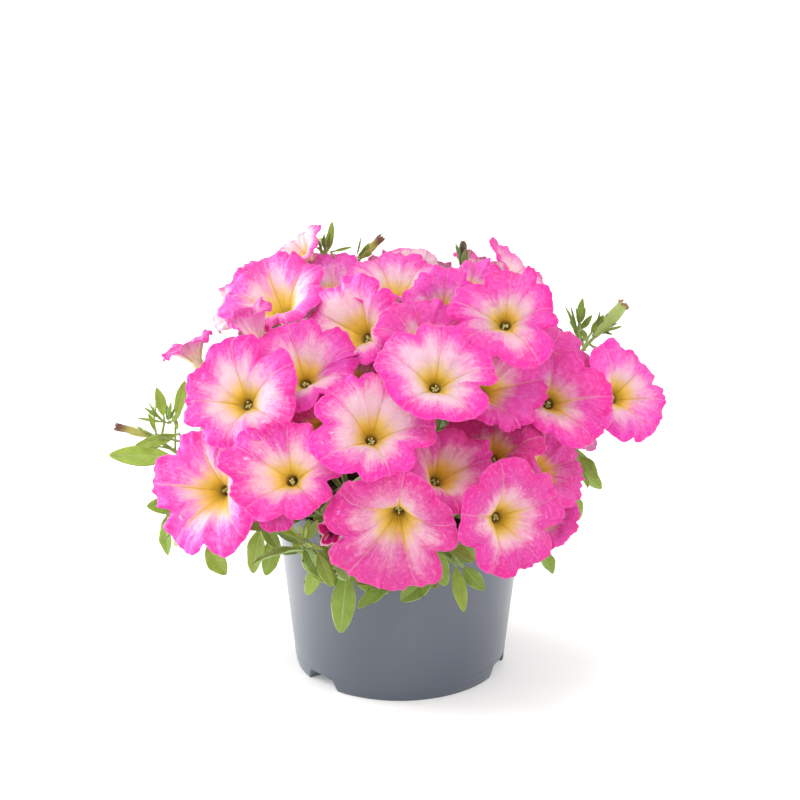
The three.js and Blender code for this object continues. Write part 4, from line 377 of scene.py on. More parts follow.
    ((-33.83, 33.02, 209.67), (0.5872, -0.16702, 0.02149, 0.79173), 10.07, 1.81, 0.12, 0.363, 0.163, 0.443),
    ((-10.92, 79.71, 101), (-0.26472, 0.07851, 0.6926, 0.66638), 34.74, 18.9, 0.936, 0.414, 1.409, 0.14),
    ((-31.33, 79.81, 105.01), (-0.03685, 0.32122, 0.58398, 0.7446), 28.32, 16.15, 0.58, 0.436, 1.042, 0.494),
    ((-46.37, 68.36, 101.41), (-0.20035, 0.26148, 0.91553, 0.23085), 33.31, 17.88, 0.728, 0.413, 1.007, 0.574),
    ((-3.57, 67.03, 112.27), (0.35, 0.07394, 0.73861, 0.57139), 33.85, 16.85, 0.6, 0.288, 1.106, 0.071),
    ((-26.3, 55.58, 117.63), (-0.13895, -0.19392, 0.70455, 0.66836), 29.14, 14.08, 0.6, 0.213, 1.08, 0.008),
    ((-3.22, 49.9, 160), (0.05261, -0.04043, 0.7151, 0.69587), 32.54, 17.6, 0.5, 0.336, 1.212, 0.887),
    ((-1.25, 28.05, 179.21), (0.2363, -0.32053, 0.7251, 0.56183), 30.32, 13.24, 0.287, 0.238, 1.024, 0.07),
    ((-37.24, 38.37, 207.05), (0.58359, -0.24444, 0.58359, 0.50901), 16.11, 4.77, 0.12, 0.344, 0.43, 0.925),
    ((-65.32, 42.9, 101.61), (-0.10346, 0.46057, 0.79125, 0.38871), 36.36, 16.76, 0.863, 0.354, 1.198, 0.99),
    ((-75.64, 29.39, 104), (-0.24326, 0.03863, 0.96666, 0.07004), 31.02, 20.26, 1.093, 0.297, 0.866, 0.393),
    ((-78.82, 15.45, 101.99), (0.13326, 0.04567, -0.9845, 0.10444), 31.4, 18.5, 0.839, 0.216, 0.831, 0.651),
    ((-61.1, 34.01, 124.03), (0.0869, -0.14808, 0.95348, 0.24779), 35.27, 14, 0.6, 0.227, 0.987, 0.825),
    ((-71.56, 13.59, 123.34), (0.04884, -0.04488, 0.99068, 0.11898), 33.57, 17.6, 0.6, 0.379, 1.559, 0.37),
    ((-37.71, 35.43, 159.27), (0.2057, -0.02263, 0.91376, 0.34961), 26.59, 13.26, 0.5, 0.247, 1.193, 0.838),
    ((-40.3, 16.07, 180.4), (0.45257, -0.12943, 0.79388, 0.38494), 25.62, 16.29, 0.625, 0.359, 1.113, 0.929),
]
# Leaf tints, dark to bright yellow-green: partly each leaf's own colour, partly painted light and shade, lower for
# leaves that sit in shade.
LEAF_TINT_AND_SHADE = [0.85, 0.75, 0.95, 0.75, 0.63, 0.51, 0.85, 0.69, 0.69, 0.45, 1, 0.59, 0.57, 0.6, 0.7, 0.5, 0.57, 0.75, 0.7, 0.33, 0.29, 0.76, 0.56, 0.45, 0.7, 1, 0.47, 0.82, 0.48, 0.75, 0.7, 0.39, 0.53, 0.21, 0.31, 0.41, 0.71, 0.57, 0.35, 0.85, 0.4, 0.72, 0.5, 0.41, 0.59, 0.55, 0.32, 0.56, 0.49, 0.59, 0.51, 0.66, 0.48, 0.61, 0.38, 0.79, 0.39, 0.45, 0.6, 0.55, 0.4, 0.55, 0.81, 0.63, 0.49, 0.75, 0.59, 0.33, 0.56, 0.8, 0.51, 0.84, 0.76, 0.59, 0.5, 0.81, 0.74, 0.85, 0.66, 0.46, 0.33, 0.38, 0.55, 0.65, 0.68, 0.68, 0.47, 0.56, 0.52, 0.45]
# Shoots: what each branch bears, its path, its radii, and its leaf.
SHOOTS = [
    [
        ("bud", (-22.09, -9.38, 79, -37.45, -9.73, 86.97, -60, -7.84, 98.04, -87.5, -7.5, 102.19, -95, -7.5, 104.77, -122.79, -8.36, 124.31, -125.73, -9.82, 126.55), (1.73, 1.4, 1.28, 1.33, 1.27, 0.95, 0.95), None),
        ("flower", (-25.31, -9.45, 80.67, -26.49, -11.96, 97.43, -35.18, -19.3, 131, -41.17, -24.23, 141.06, -59.33, -39.48, 162.45, -61.39, -39.07, 167.64), (1.51, 1.51, 1.21, 1.21, 1, 1.5), None),
        ("flower", (-54.96, -35.81, 157.31, -60.37, -47.12, 148.49, -62.79, -50.93, 151.8), (0.85, 1, 1.5), None),
        ("flower", (-47.61, -29.63, 148.64, -41.98, -39.77, 150.45, -42.8, -42.82, 155.08), (0.85, 1, 1.5), None),
        ("flower", (-30.24, -15.13, 111.93, -41.82, -25.6, 111.27, -49.88, -31.13, 111, -68.14, -37.04, 110.05, -71.46, -41.3, 111.52), (1.36, 1.33, 1.33, 1, 1.5), None),
        ("flower", (-51.02, -31.5, 110.94, -53.57, -50.58, 113.13, -54.52, -55.71, 115.16), (0.85, 1, 1.5), None),
        ("leaf", (-107.57, -7.89, 113.61, -112.7, -13.93, 117.09), (0.62, 0.62), 0),
        ("leaf", (-110.22, -7.97, 115.47, -110.68, -10.65, 128.05), (0.78, 0.62), 1),
        ("leaf", (-120.47, -8.29, 122.68, -118.45, -4.66, 133.52), (0.78, 0.62), 2),
        ("leaf", (-113.19, -8.07, 117.57, -112.94, -1.63, 131.74), (0.62, 0.62), 3),
        ("leaf", (-93.82, -7.5, 104.37, -109.77, -19.15, 94.08), (0.78, 0.62), 4),
        ("leaf", (-107.08, -17, 95.25, -116.79, -24.2, 90.82), (0.62, 0.62), 5),
        ("leaf", (-77.54, -7.62, 100.69, -92.29, -25.09, 90.17, -95.69, -32.86, 88.27, -96.43, -45.47, 83.75), (0.62, 0.62, 0.62, 0.62), 6),
        ("leaf", (-55.59, -32.98, 110.7, -67.87, -48.6, 95.57), (1.01, 0.62), 7),
        ("leaf", (-64.6, -44.41, 100.02, -61.12, -47.76, 91.98), (0.78, 0.62), 8),
        ("leaf", (-66.8, -47.21, 97.41, -69.69, -60.37, 104.31), (0.85, 0.62), 9),
        ("leaf", (-68.33, -50.91, 100.81, -64.02, -59.97, 105.95), (0.62, 0.62), 10),
        ("leaf", (-67.16, -48.06, 98.2, -65.9, -48.73, 92.38), (0.62, 0.62), 11),
        ("leaf", (-62.15, -46.43, 95.28, -54.87, -52.2, 91.2), (0.62, 0.62), 12),
        ("leaf", (-120.24, -7.96, 123.85, -126.87, -12.22, 129.72), (0.62, 0.62), 13),
        ("leaf", (-109.51, -10.62, 123.65, -121.86, -15.04, 129.65), (0.62, 0.62), 14),
        ("leaf", (-114.85, -8.12, 118.73, -118.37, -11.44, 121.1), (0.62, 0.62), 15),
        ("leaf", (-70.36, -7.71, 99.6, -77.57, -19.59, 102.71), (0.62, 0.62), 16),
        ("leaf", (-62.43, -35.19, 110.35, -71.11, -27.7, 104.79), (0.62, 0.62), 17),
        ("leaf", (-32.62, -17.28, 111.79, -47.59, -13.23, 115.52, -67.02, -13.71, 117.56), (0.62, 0.62, 0.62), 18),
        ("leaf", (-40, -9.52, 88.22, -49.73, -8.87, 106.66), (0.62, 0.62), 19),
        ("leaf", (-27.38, -12.71, 100.87, -38.08, -21.52, 99.18), (0.62, 0.62), 20),
        ("leaf", (-42.78, -25.58, 142.95, -49.93, -34.99, 139.52), (0.62, 0.62), 21),
        ("leaf", (-42.78, -25.58, 142.95, -52.42, -16.32, 144.96, -62.53, -9.27, 149.25), (0.62, 0.62, 0.62), 22),
        ("leaf", (-45.08, -27.51, 145.66, -54.83, -21.79, 159.38), (0.62, 0.62), 23),
        ("leaf", (-60.39, -39.08, 105.01, -65.03, -40.24, 77), (0.62, 0.62), 24),
    ],
    [
        ("flower", (-8.99, -22.25, 79, -14.71, -29.89, 86.76, -16.54, -32.42, 88.94, -19.99, -37.47, 92.54, -23.1, -42.49, 95.29, -31.28, -57.5, 102.48, -34.23, -62.5, 105.52, -38.77, -70.02, 110.86, -41.36, -75.06, 114.61, -43.28, -80.12, 118.27, -42.2, -87.25, 121.72, -44.3, -88.04, 124.17, -45.71, -91.8, 127.65), (1.53, 1.43, 1.38, 1.36, 1.33, 1.3, 1.08, 1.01, 0.85, 0.85, 0.85, 1, 1.5), None),
        ("flower", (-38.93, -70.34, 111.1, -29.43, -74.99, 123.48, -16.16, -85.3, 138.16, -15.68, -88.58, 142.67), (0.85, 0.85, 1, 1.5), None),
        ("flower", (-11.28, -25.31, 82.1, -10.09, -22.7, 103.22, -9.63, -22.5, 143.5, -2.47, -22.71, 173.26, -5.46, -25.93, 176.73), (1.17, 1.17, 0.85, 1, 1.5), None),
        ("bud", (-31.65, -58.13, 102.86, -32.56, -64.66, 97.34, -34.87, -72.31, 91.25, -28.72, -69.72, 105.73), (1.21, 1.13, 0.95, 0.95), None),
        ("flower", (-9.92, -22.63, 118.53, -13.92, -37.08, 133.45, -19.49, -47.8, 145.72, -19.65, -48.9, 151.21), (1.08, 1.01, 1, 1.5), None),
        ("flower", (-18.97, -46.8, 144.58, -28.43, -51.01, 137, -30.47, -54.72, 140.67), (0.85, 1, 1.5), None),
        ("leaf", (-28.97, -53.26, 100.45, -41.59, -57.41, 97.97, -48.22, -63.51, 90.58), (0.62, 0.62, 0.62), 25),
        ("leaf", (-32.47, -64.04, 97.86, -26.43, -74.45, 92.84, -25.67, -77.35, 84.88), (0.78, 0.62, 0.62), 26),
        ("leaf", (-33.58, -68.03, 94.66, -34.76, -67.17, 85.47), (0.62, 0.62), 27),
        ("leaf", (-35.32, -64.31, 106.81, -39.76, -67.35, 99.64), (0.62, 0.62), 28),
        ("leaf", (-34.87, -72.31, 91.25, -40.63, -75.09, 94.9, -47.42, -77.07, 97.99), (0.78, 0.71, 0.62), 29),
        ("leaf", (-40.63, -75.09, 94.9, -45.42, -84.14, 100.99), (0.62, 0.62), 30),
        ("leaf", (-19.38, -36.58, 91.91, -32.52, -34.57, 103.44), (0.62, 0.62), 31),
        ("leaf", (-22.13, -40.92, 94.43, -16.61, -45.11, 102.5), (0.62, 0.62), 32),
        ("leaf", (-15.93, -31.58, 88.21, -3.78, -49.22, 108.92), (0.78, 0.62), 33),
        ("leaf", (-12.61, -32.35, 128.57, -12.8, -47.37, 127.24), (0.62, 0.62), 34),
        ("leaf", (-9.68, -22.52, 138.67, -18.3, -29.45, 147.04), (0.62, 0.62), 35),
        ("leaf", (-30.21, -67.94, 95.98, -25.85, -71.01, 75.93), (0.62, 0.62), 36),
        ("leaf", (-5.67, -46.05, 105.62, -2.85, -59.92, 103.11, -2.37, -66.58, 99.99, -2, -72.31, 91.66, -2.39, -77.48, 77.32), (0.62, 0.62, 0.62, 0.62, 0.62), 37),
    ],
    [
        ("flower", (9.38, -22.09, 79, 10, -25.07, 93.86, 10.6, -29.32, 102.99, 11.85, -40.13, 115.99, 12.57, -66.25, 143.53, 13.54, -76.79, 161.4, 14.08, -80.1, 165.88), (1.55, 1.4, 1.4, 1.3, 1.13, 1, 1.5), None),
        ("flower", (11.35, -35.75, 110.73, 16.52, -30.78, 133.49, 18.26, -26.92, 160.97, 22.21, -22.14, 182.05, 21.88, -25.67, 186.39), (1.13, 1.08, 0.85, 1, 1.5), None),
        ("flower", (13.38, -75.13, 158.6, 11.16, -65.42, 163.81, 9.54, -54.41, 167.85, 9.86, -56.26, 173.13), (0.85, 0.85, 1, 1.5), None),
        ("flower", (12.76, -68.31, 147.03, 4.42, -82.54, 137.41, 3.48, -87.84, 135.88), (1.01, 1, 1.5), None),
        ("flower", (6.37, -79.21, 139.66, 5.15, -88.26, 122.93, 7.67, -91.36, 126.86), (0.85, 1, 1.5), None),
        ("flower", (12.32, -57.08, 133.86, 20.06, -69.67, 126.19, 29.26, -81.27, 117.81, 32.34, -85.81, 118.93), (1.08, 0.85, 1, 1.5), None),
        ("flower", (12.39, -59.58, 136.5, 18.06, -54.7, 148.35, 21.44, -52.92, 159.74, 24.72, -56.58, 162.43), (0.85, 0.85, 1, 1.5), None),
        ("flower", (16.48, -63.83, 129.74, 32.12, -63.15, 126.77, 45.48, -64.94, 122.22, 45.28, -68.29, 126.7), (1.01, 1.01, 1, 1.5), None),
        ("flower", (17.93, -27.65, 155.79, 0.79, -10.47, 173.35, 0.28, -11.53, 178.82), (0.85, 1, 1.5), None),
        ("flower", (40.14, -64.22, 124.04, 45.83, -58.32, 119.01, 50.07, -60.69, 121.8), (0.85, 1, 1.5), None),
        ("leaf", (9.66, -23.46, 85.83, 9.96, -37.62, 88.24, 10.28, -59.97, 98.07, 10.55, -64.91, 98.46, 17.45, -78.56, 83.92), (0.98, 0.98, 0.94, 0.8, 0.62), 38),
        ("leaf", (10.82, -69.37, 96.53, 26.64, -72.02, 84.55), (0.85, 0.62), 39),
        ("leaf", (24.06, -70.17, 91.41, 29.48, -72.75, 84.57), (0.62, 0.62), 40),
        ("leaf", (10.99, -72.35, 95.24, 16.33, -77.72, 96.79), (0.62, 0.62), 41),
        ("leaf", (11.57, -69.42, 96.24, 14.4, -76.88, 98.69), (0.62, 0.62), 42),
        ("leaf", (10.09, -46.78, 92.26, 11.88, -48.13, 102.52), (0.62, 0.62), 43),
        ("leaf", (11.52, -35.58, 111.5, 21.05, -44.58, 107.53), (0.62, 0.62), 44),
        ("leaf", (9.66, -23.46, 85.83, 34.84, -35.24, 101.99), (0.62, 0.62), 45),
        ("leaf", (12.05, -47.35, 123.6, 30.93, -50.37, 134.28), (0.62, 0.62), 46),
        ("leaf", (16.85, -30.05, 138.67, 8.08, -36.1, 149.37), (0.62, 0.62), 47),
    ],
    [
        ("flower", (22.25, -8.99, 79, 23.13, -13.29, 102.99, 25.62, -22.44, 128.5, 28.13, -27.95, 138.5, 32.34, -33.78, 148.5, 35.76, -36.34, 156.01, 41.58, -37.61, 166.1, 51.75, -38.71, 179.01, 51.51, -42.09, 183.47), (1.47, 1.21, 1.13, 1.01, 1.01, 1.01, 0.85, 1, 1.5), None),
        ("flower", (22.5, -10.21, 85.8, 62.5, -7.53, 121.76, 72.48, -6.83, 127.61, 87.36, -4.03, 134.28, 90.76, -7.15, 137.46), (1.33, 1.13, 0.85, 1, 1.5), None),
        ("flower", (37.77, -36.78, 159.49, 35.88, -27.31, 169.76, 35.39, -20.2, 175.49, 35.79, -11.17, 179.59, 37.06, -6.21, 178.88, 36.41, -8.19, 184.08), (0.85, 0.85, 0.85, 0.85, 1, 1.5), None),
        ("flower", (66.06, -7.28, 123.85, 65.26, -24.88, 134.79, 66.52, -39.17, 146.72, 67.63, -43.34, 150.29), (1.08, 0.85, 1, 1.5), None),
        ("flower", (25.1, -20.55, 123.25, 53.36, -22.06, 151.54, 56.57, -23.63, 155.85), (1.01, 1, 1.5), None),
        ("flower", (25.79, -22.82, 129.19, 21.31, -15, 143.15, 17.69, -0.94, 169.97, 17.59, -2.01, 175.46), (1.01, 1.01, 1, 1.5), None),
        ("flower", (37.13, -9.23, 98.95, 64.52, -43.07, 100.35, 65.84, -48.25, 102.01), (1.13, 1, 1.5), None),
        ("leaf", (62.24, -40.25, 100.23, 66.56, -49.96, 85.11), (0.62, 0.62), 48),
        ("leaf", (65.42, -21.43, 132.65, 77.6, -32.51, 130.81, 88.08, -39.19, 128.81), (0.78, 0.78, 0.62), 49),
        ("leaf", (81.37, -34.79, 130.25, 89.54, -37.36, 120.78), (0.62, 0.62), 50),
        ("leaf", (57.93, -34.92, 100.01, 72.8, -26.22, 105.29), (0.62, 0.62), 51),
        ("leaf", (47.57, -8.53, 108.34, 59.95, -7.83, 105.6, 75.3, -8.9, 98.96), (0.78, 0.62, 0.62), 52),
        ("leaf", (59.55, -7.85, 105.69, 71.31, -8.96, 115.38), (0.62, 0.62), 53),
        ("leaf", (45.5, -19.57, 99.38, 48.9, -22.99, 102.46), (0.62, 0.62), 54),
        ("leaf", (45.16, -21.63, 143.34, 60.52, -23.93, 144.25), (0.62, 0.62), 55),
        ("leaf", (20.97, -13.7, 145.62, 35.66, -19.88, 159.93), (0.62, 0.62), 56),
    ],
    [
        ("bud", (22.09, 9.38, 79, 26.16, 9.16, 93.86, 33.23, 7.72, 105.72, 69.96, 2.81, 143.5, 84.16, 2.53, 158.63, 94.35, 2.61, 171.66, 97.22, 2.18, 175.08), (1.47, 1.47, 1.4, 1.21, 1.21, 0.95, 0.95), None),
        ("tip_bud", (35.45, 7.42, 108.01, 34.69, 8.15, 148.5, 32.61, 16.35, 176, 31.61, 20, 203.5, 31.58, 20, 207.5), (1.17, 1.08, 0.85, 0.95, 0.95), None),
        ("flower", (33.17, 14.16, 168.64, 33.08, 3.77, 182.2, 36.68, 3.83, 186.5), (0.85, 1, 1.5), None),
        ("flower", (31.36, 8.1, 102.58, 39.48, 24.77, 112.68, 47.47, 47.93, 120, 51.5, 50.67, 122.75), (1.08, 1.08, 1, 1.5), None),
        ("leaf", (88.63, 2.56, 164.35, 90.3, 12.08, 172.43), (0.85, 0.62), 57),
        ("leaf", (93.18, 9.5, 164.89, 89.87, 15.76, 175.26), (0.78, 0.62), 58),
        ("leaf", (93.1, 10.43, 164.71, 89.8, 11.42, 174.54), (0.62, 0.62), 59),
        ("leaf", (92.11, 2.59, 168.8, 100.78, 2.57, 177.83), (0.62, 0.62), 60),
        ("leaf", (92.11, 2.59, 168.8, 94.88, 7.38, 173.74), (0.62, 0.62), 61),
        ("leaf", (35.45, 7.43, 108.41, 72.8, 9.44, 106.27), (0.78, 0.62), 62),
        ("leaf", (55.06, 8.68, 107.34, 66.42, 28.73, 103.29), (0.62, 0.62), 63),
        ("leaf", (42.27, 32.86, 115.23, 57.58, 48.88, 100.8), (0.78, 0.62), 64),
        ("leaf", (50.2, 5.45, 123.18, 64.65, 17.02, 124.31), (0.62, 0.62), 65),
        ("leaf", (46.78, 37.73, 110.72, 55.3, 42.23, 115.47), (0.62, 0.62), 66),
        ("leaf", (57.72, 4.44, 130.91, 57.76, 12.92, 149.12), (0.62, 0.62), 67),
        ("leaf", (33.78, 11.73, 160.51, 29.05, 0.72, 169.38), (0.62, 0.62), 68),
    ],
    [
        ("flower", (8.99, 22.25, 79, 8.84, 24.27, 97.1, 5.42, 29.51, 121, 4.79, 30.57, 173.24, 4.86, 27.78, 178.09), (1.36, 1.08, 1.08, 1, 1.5), None),
        ("flower", (5.42, 29.51, 121, 32.73, 56.95, 149.28, 34.41, 59.21, 154.12), (1.01, 1, 1.5), None),
        ("flower", (8.94, 23.02, 85.84, 11.2, 37.56, 89.05, 14.9, 59.89, 99.22, 16.24, 74.14, 100.42, 20.94, 76.97, 101.55), (1.27, 1.27, 1.01, 1, 1.5), None),
        ("flower", (14.36, 56.65, 97.75, 17.02, 58.31, 110.28, 21.09, 63.69, 124.87, 21.09, 67.59, 128.88), (1.13, 1.01, 1, 1.5), None),
        ("flower", (13.88, 53.77, 96.43, 27.16, 52.87, 99.77, 32.05, 52.89, 99.88, 38.75, 53.3, 98.6, 40.74, 53.53, 97.67, 44, 53.88, 94.05, 51.97, 54.1, 82.54, 55.84, 57.09, 85.28), (1.01, 1.01, 1.01, 0.85, 0.85, 0.85, 1, 1.5), None),
        ("flower", (15.02, 57.07, 100.88, 5.13, 64.25, 101.57, 5.31, 69.85, 101.6), (0.85, 1, 1.5), None),
        ("leaf", (37.17, 53.2, 98.9, 43.18, 66.53, 98.92), (0.62, 0.62), 69),
        ("leaf", (15.52, 57.38, 103.23, 22.46, 61.23, 106.89), (0.62, 0.62), 70),
        ("leaf", (16.09, 72.51, 100.28, 17.53, 75.97, 100.02), (0.62, 0.62), 71),
        ("leaf", (18.64, 60.46, 116.12, 18.61, 68.08, 118.5), (0.62, 0.62), 72),
        ("leaf", (25.16, 49.34, 141.43, 33.41, 38.43, 157.51), (0.62, 0.62), 73),
    ],
    [
        ("bud", (-9.38, 22.09, 79, -17.71, 30.22, 108.36, -19.53, 32.03, 118.49, -20.11, 32.61, 178.49, -21.73, 34.5, 202.26, -19.97, 34.28, 206.04), (1.45, 1.38, 1.24, 1.01, 0.95, 0.95), None),
        ("flower", (-20.09, 32.59, 176.07, -27.44, 40.14, 185.68, -31.46, 39.16, 189.45), (0.85, 1, 1.5), None),
        ("flower", (-19.6, 32.1, 126.14, -27.87, 56.05, 148.14, -31.3, 59.37, 151.07), (0.85, 1, 1.5), None),
        ("flower", (-17.85, 30.36, 109.14, -30.85, 47.4, 112.26, -33.63, 55.55, 113.27, -34.66, 63.85, 113.9, -35.22, 68.49, 116.98), (1.17, 1.13, 0.85, 1, 1.5), None),
        ("flower", (-19.69, 32.2, 135.81, -0.49, 39.94, 155.01, 0.74, 43.55, 159.1), (1.01, 1, 1.5), None),
        ("flower", (-31.38, 48.95, 112.45, -34.13, 59.25, 98.45, -32.08, 65.33, 84.12, -34.17, 70.36, 85.42), (1.08, 0.85, 1, 1.5), None),
        ("leaf", (-21.32, 34.02, 196.22, -34.96, 33.21, 209.32), (0.62, 0.62), 74),
        ("leaf", (-16.54, 29.07, 104.22, -16.67, 57.51, 103.45, -10.95, 78.65, 101.56), (0.85, 0.78, 0.62), 75),
        ("leaf", (-15.46, 61.79, 103.15, -31.46, 78.79, 105.64), (0.62, 0.62), 76),
        ("leaf", (-33.36, 56.38, 102.35, -45.39, 67.98, 102), (0.78, 0.62), 77),
        ("leaf", (-16.63, 49.9, 103.65, -3.45, 65.96, 111.75), (0.62, 0.62), 78),
        ("leaf", (-30.37, 46.77, 112.14, -26.22, 54.38, 117.56), (0.62, 0.62), 79),
        ("leaf", (-4.88, 38.17, 150.62, -3.19, 48.71, 159.84), (0.62, 0.62), 80),
        ("leaf", (-19.91, 32.42, 158.36, -0.94, 27.26, 178.37), (0.62, 0.62), 81),
        ("flower", (-37.1, 60.14, 102.4, -47.67, 47.52, 82.5, -52.15, 50.15, 84.58), (0.85, 1, 1.5), None),
    ],
    [
        ("flower", (-22.25, 8.99, 79, -37.47, 9, 100.13, -60, 7.56, 122.76, -72.46, 7.51, 130.87, -91.49, 7.73, 135.91, -93.98, 9.04, 140.76), (1.4, 1.4, 1.24, 0.85, 1, 1.5), None),
        ("flower", (-71.79, 7.51, 130.43, -61.03, 25.58, 155.75, -57.99, 31.58, 167.56, -62.91, 30.32, 169.93), (1.17, 1.01, 1, 1.5), None),
        ("flower", (-70.21, 10.16, 134.14, -57.84, 5.92, 148.17, -46.51, 4.46, 161.2, -48.48, 2.84, 166.18), (1.08, 1.08, 1, 1.5), None),
        ("flower", (-48.35, 4.7, 159.08, -34.72, 16.51, 165.36, -34.49, 15.5, 170.86), (1.01, 1, 1.5), None),
        ("flower", (-40.32, 8.82, 103, -46.82, 21.94, 115.51, -50.51, 33.39, 126.55, -53.15, 36.12, 130.67), (1.21, 1.17, 1, 1.5), None),
        ("leaf", (-58.18, 31.22, 166.84, -50.62, 31.85, 173.87, -44.03, 32.11, 181.1, -40.67, 32.22, 186.01, -38.31, 32.55, 190.94, -36.7, 33.14, 195.87, -36.46, 33.76, 198.32, -36.87, 35, 200.72, -40.83, 39.46, 209.72, -37.48, 38, 205.93), (0.62, 0.62, 0.62, 0.62, 0.62, 0.62, 0.62, 0.62, 0.62, 0.62), 82),
        ("leaf", (-47.93, 25.38, 118.82, -64.51, 42.28, 102.24), (0.78, 0.62), 83),
        ("leaf", (-60.84, 38.67, 105.79, -74.59, 29.25, 104.58), (0.62, 0.62), 84),
        ("leaf", (-43.43, 15.11, 108.99, -60.02, 15.12, 107.29, -77.69, 15.68, 102.31), (0.62, 0.62, 0.62), 85),
        ("leaf", (-49.49, 30.24, 123.52, -60.07, 33.47, 123.74), (0.62, 0.62), 86),
        ("leaf", (-63.37, 7.55, 124.95, -70.4, 13.31, 123.21), (0.62, 0.62), 87),
        ("leaf", (-50.23, 32.53, 125.72, -39.36, 32.69, 143.47, -36.9, 34.67, 158.8), (0.62, 0.62, 0.62), 88),
        ("leaf", (-43.13, 9.23, 161.48, -39.95, 15.48, 179.42), (0.62, 0.62), 89),
    ],
]
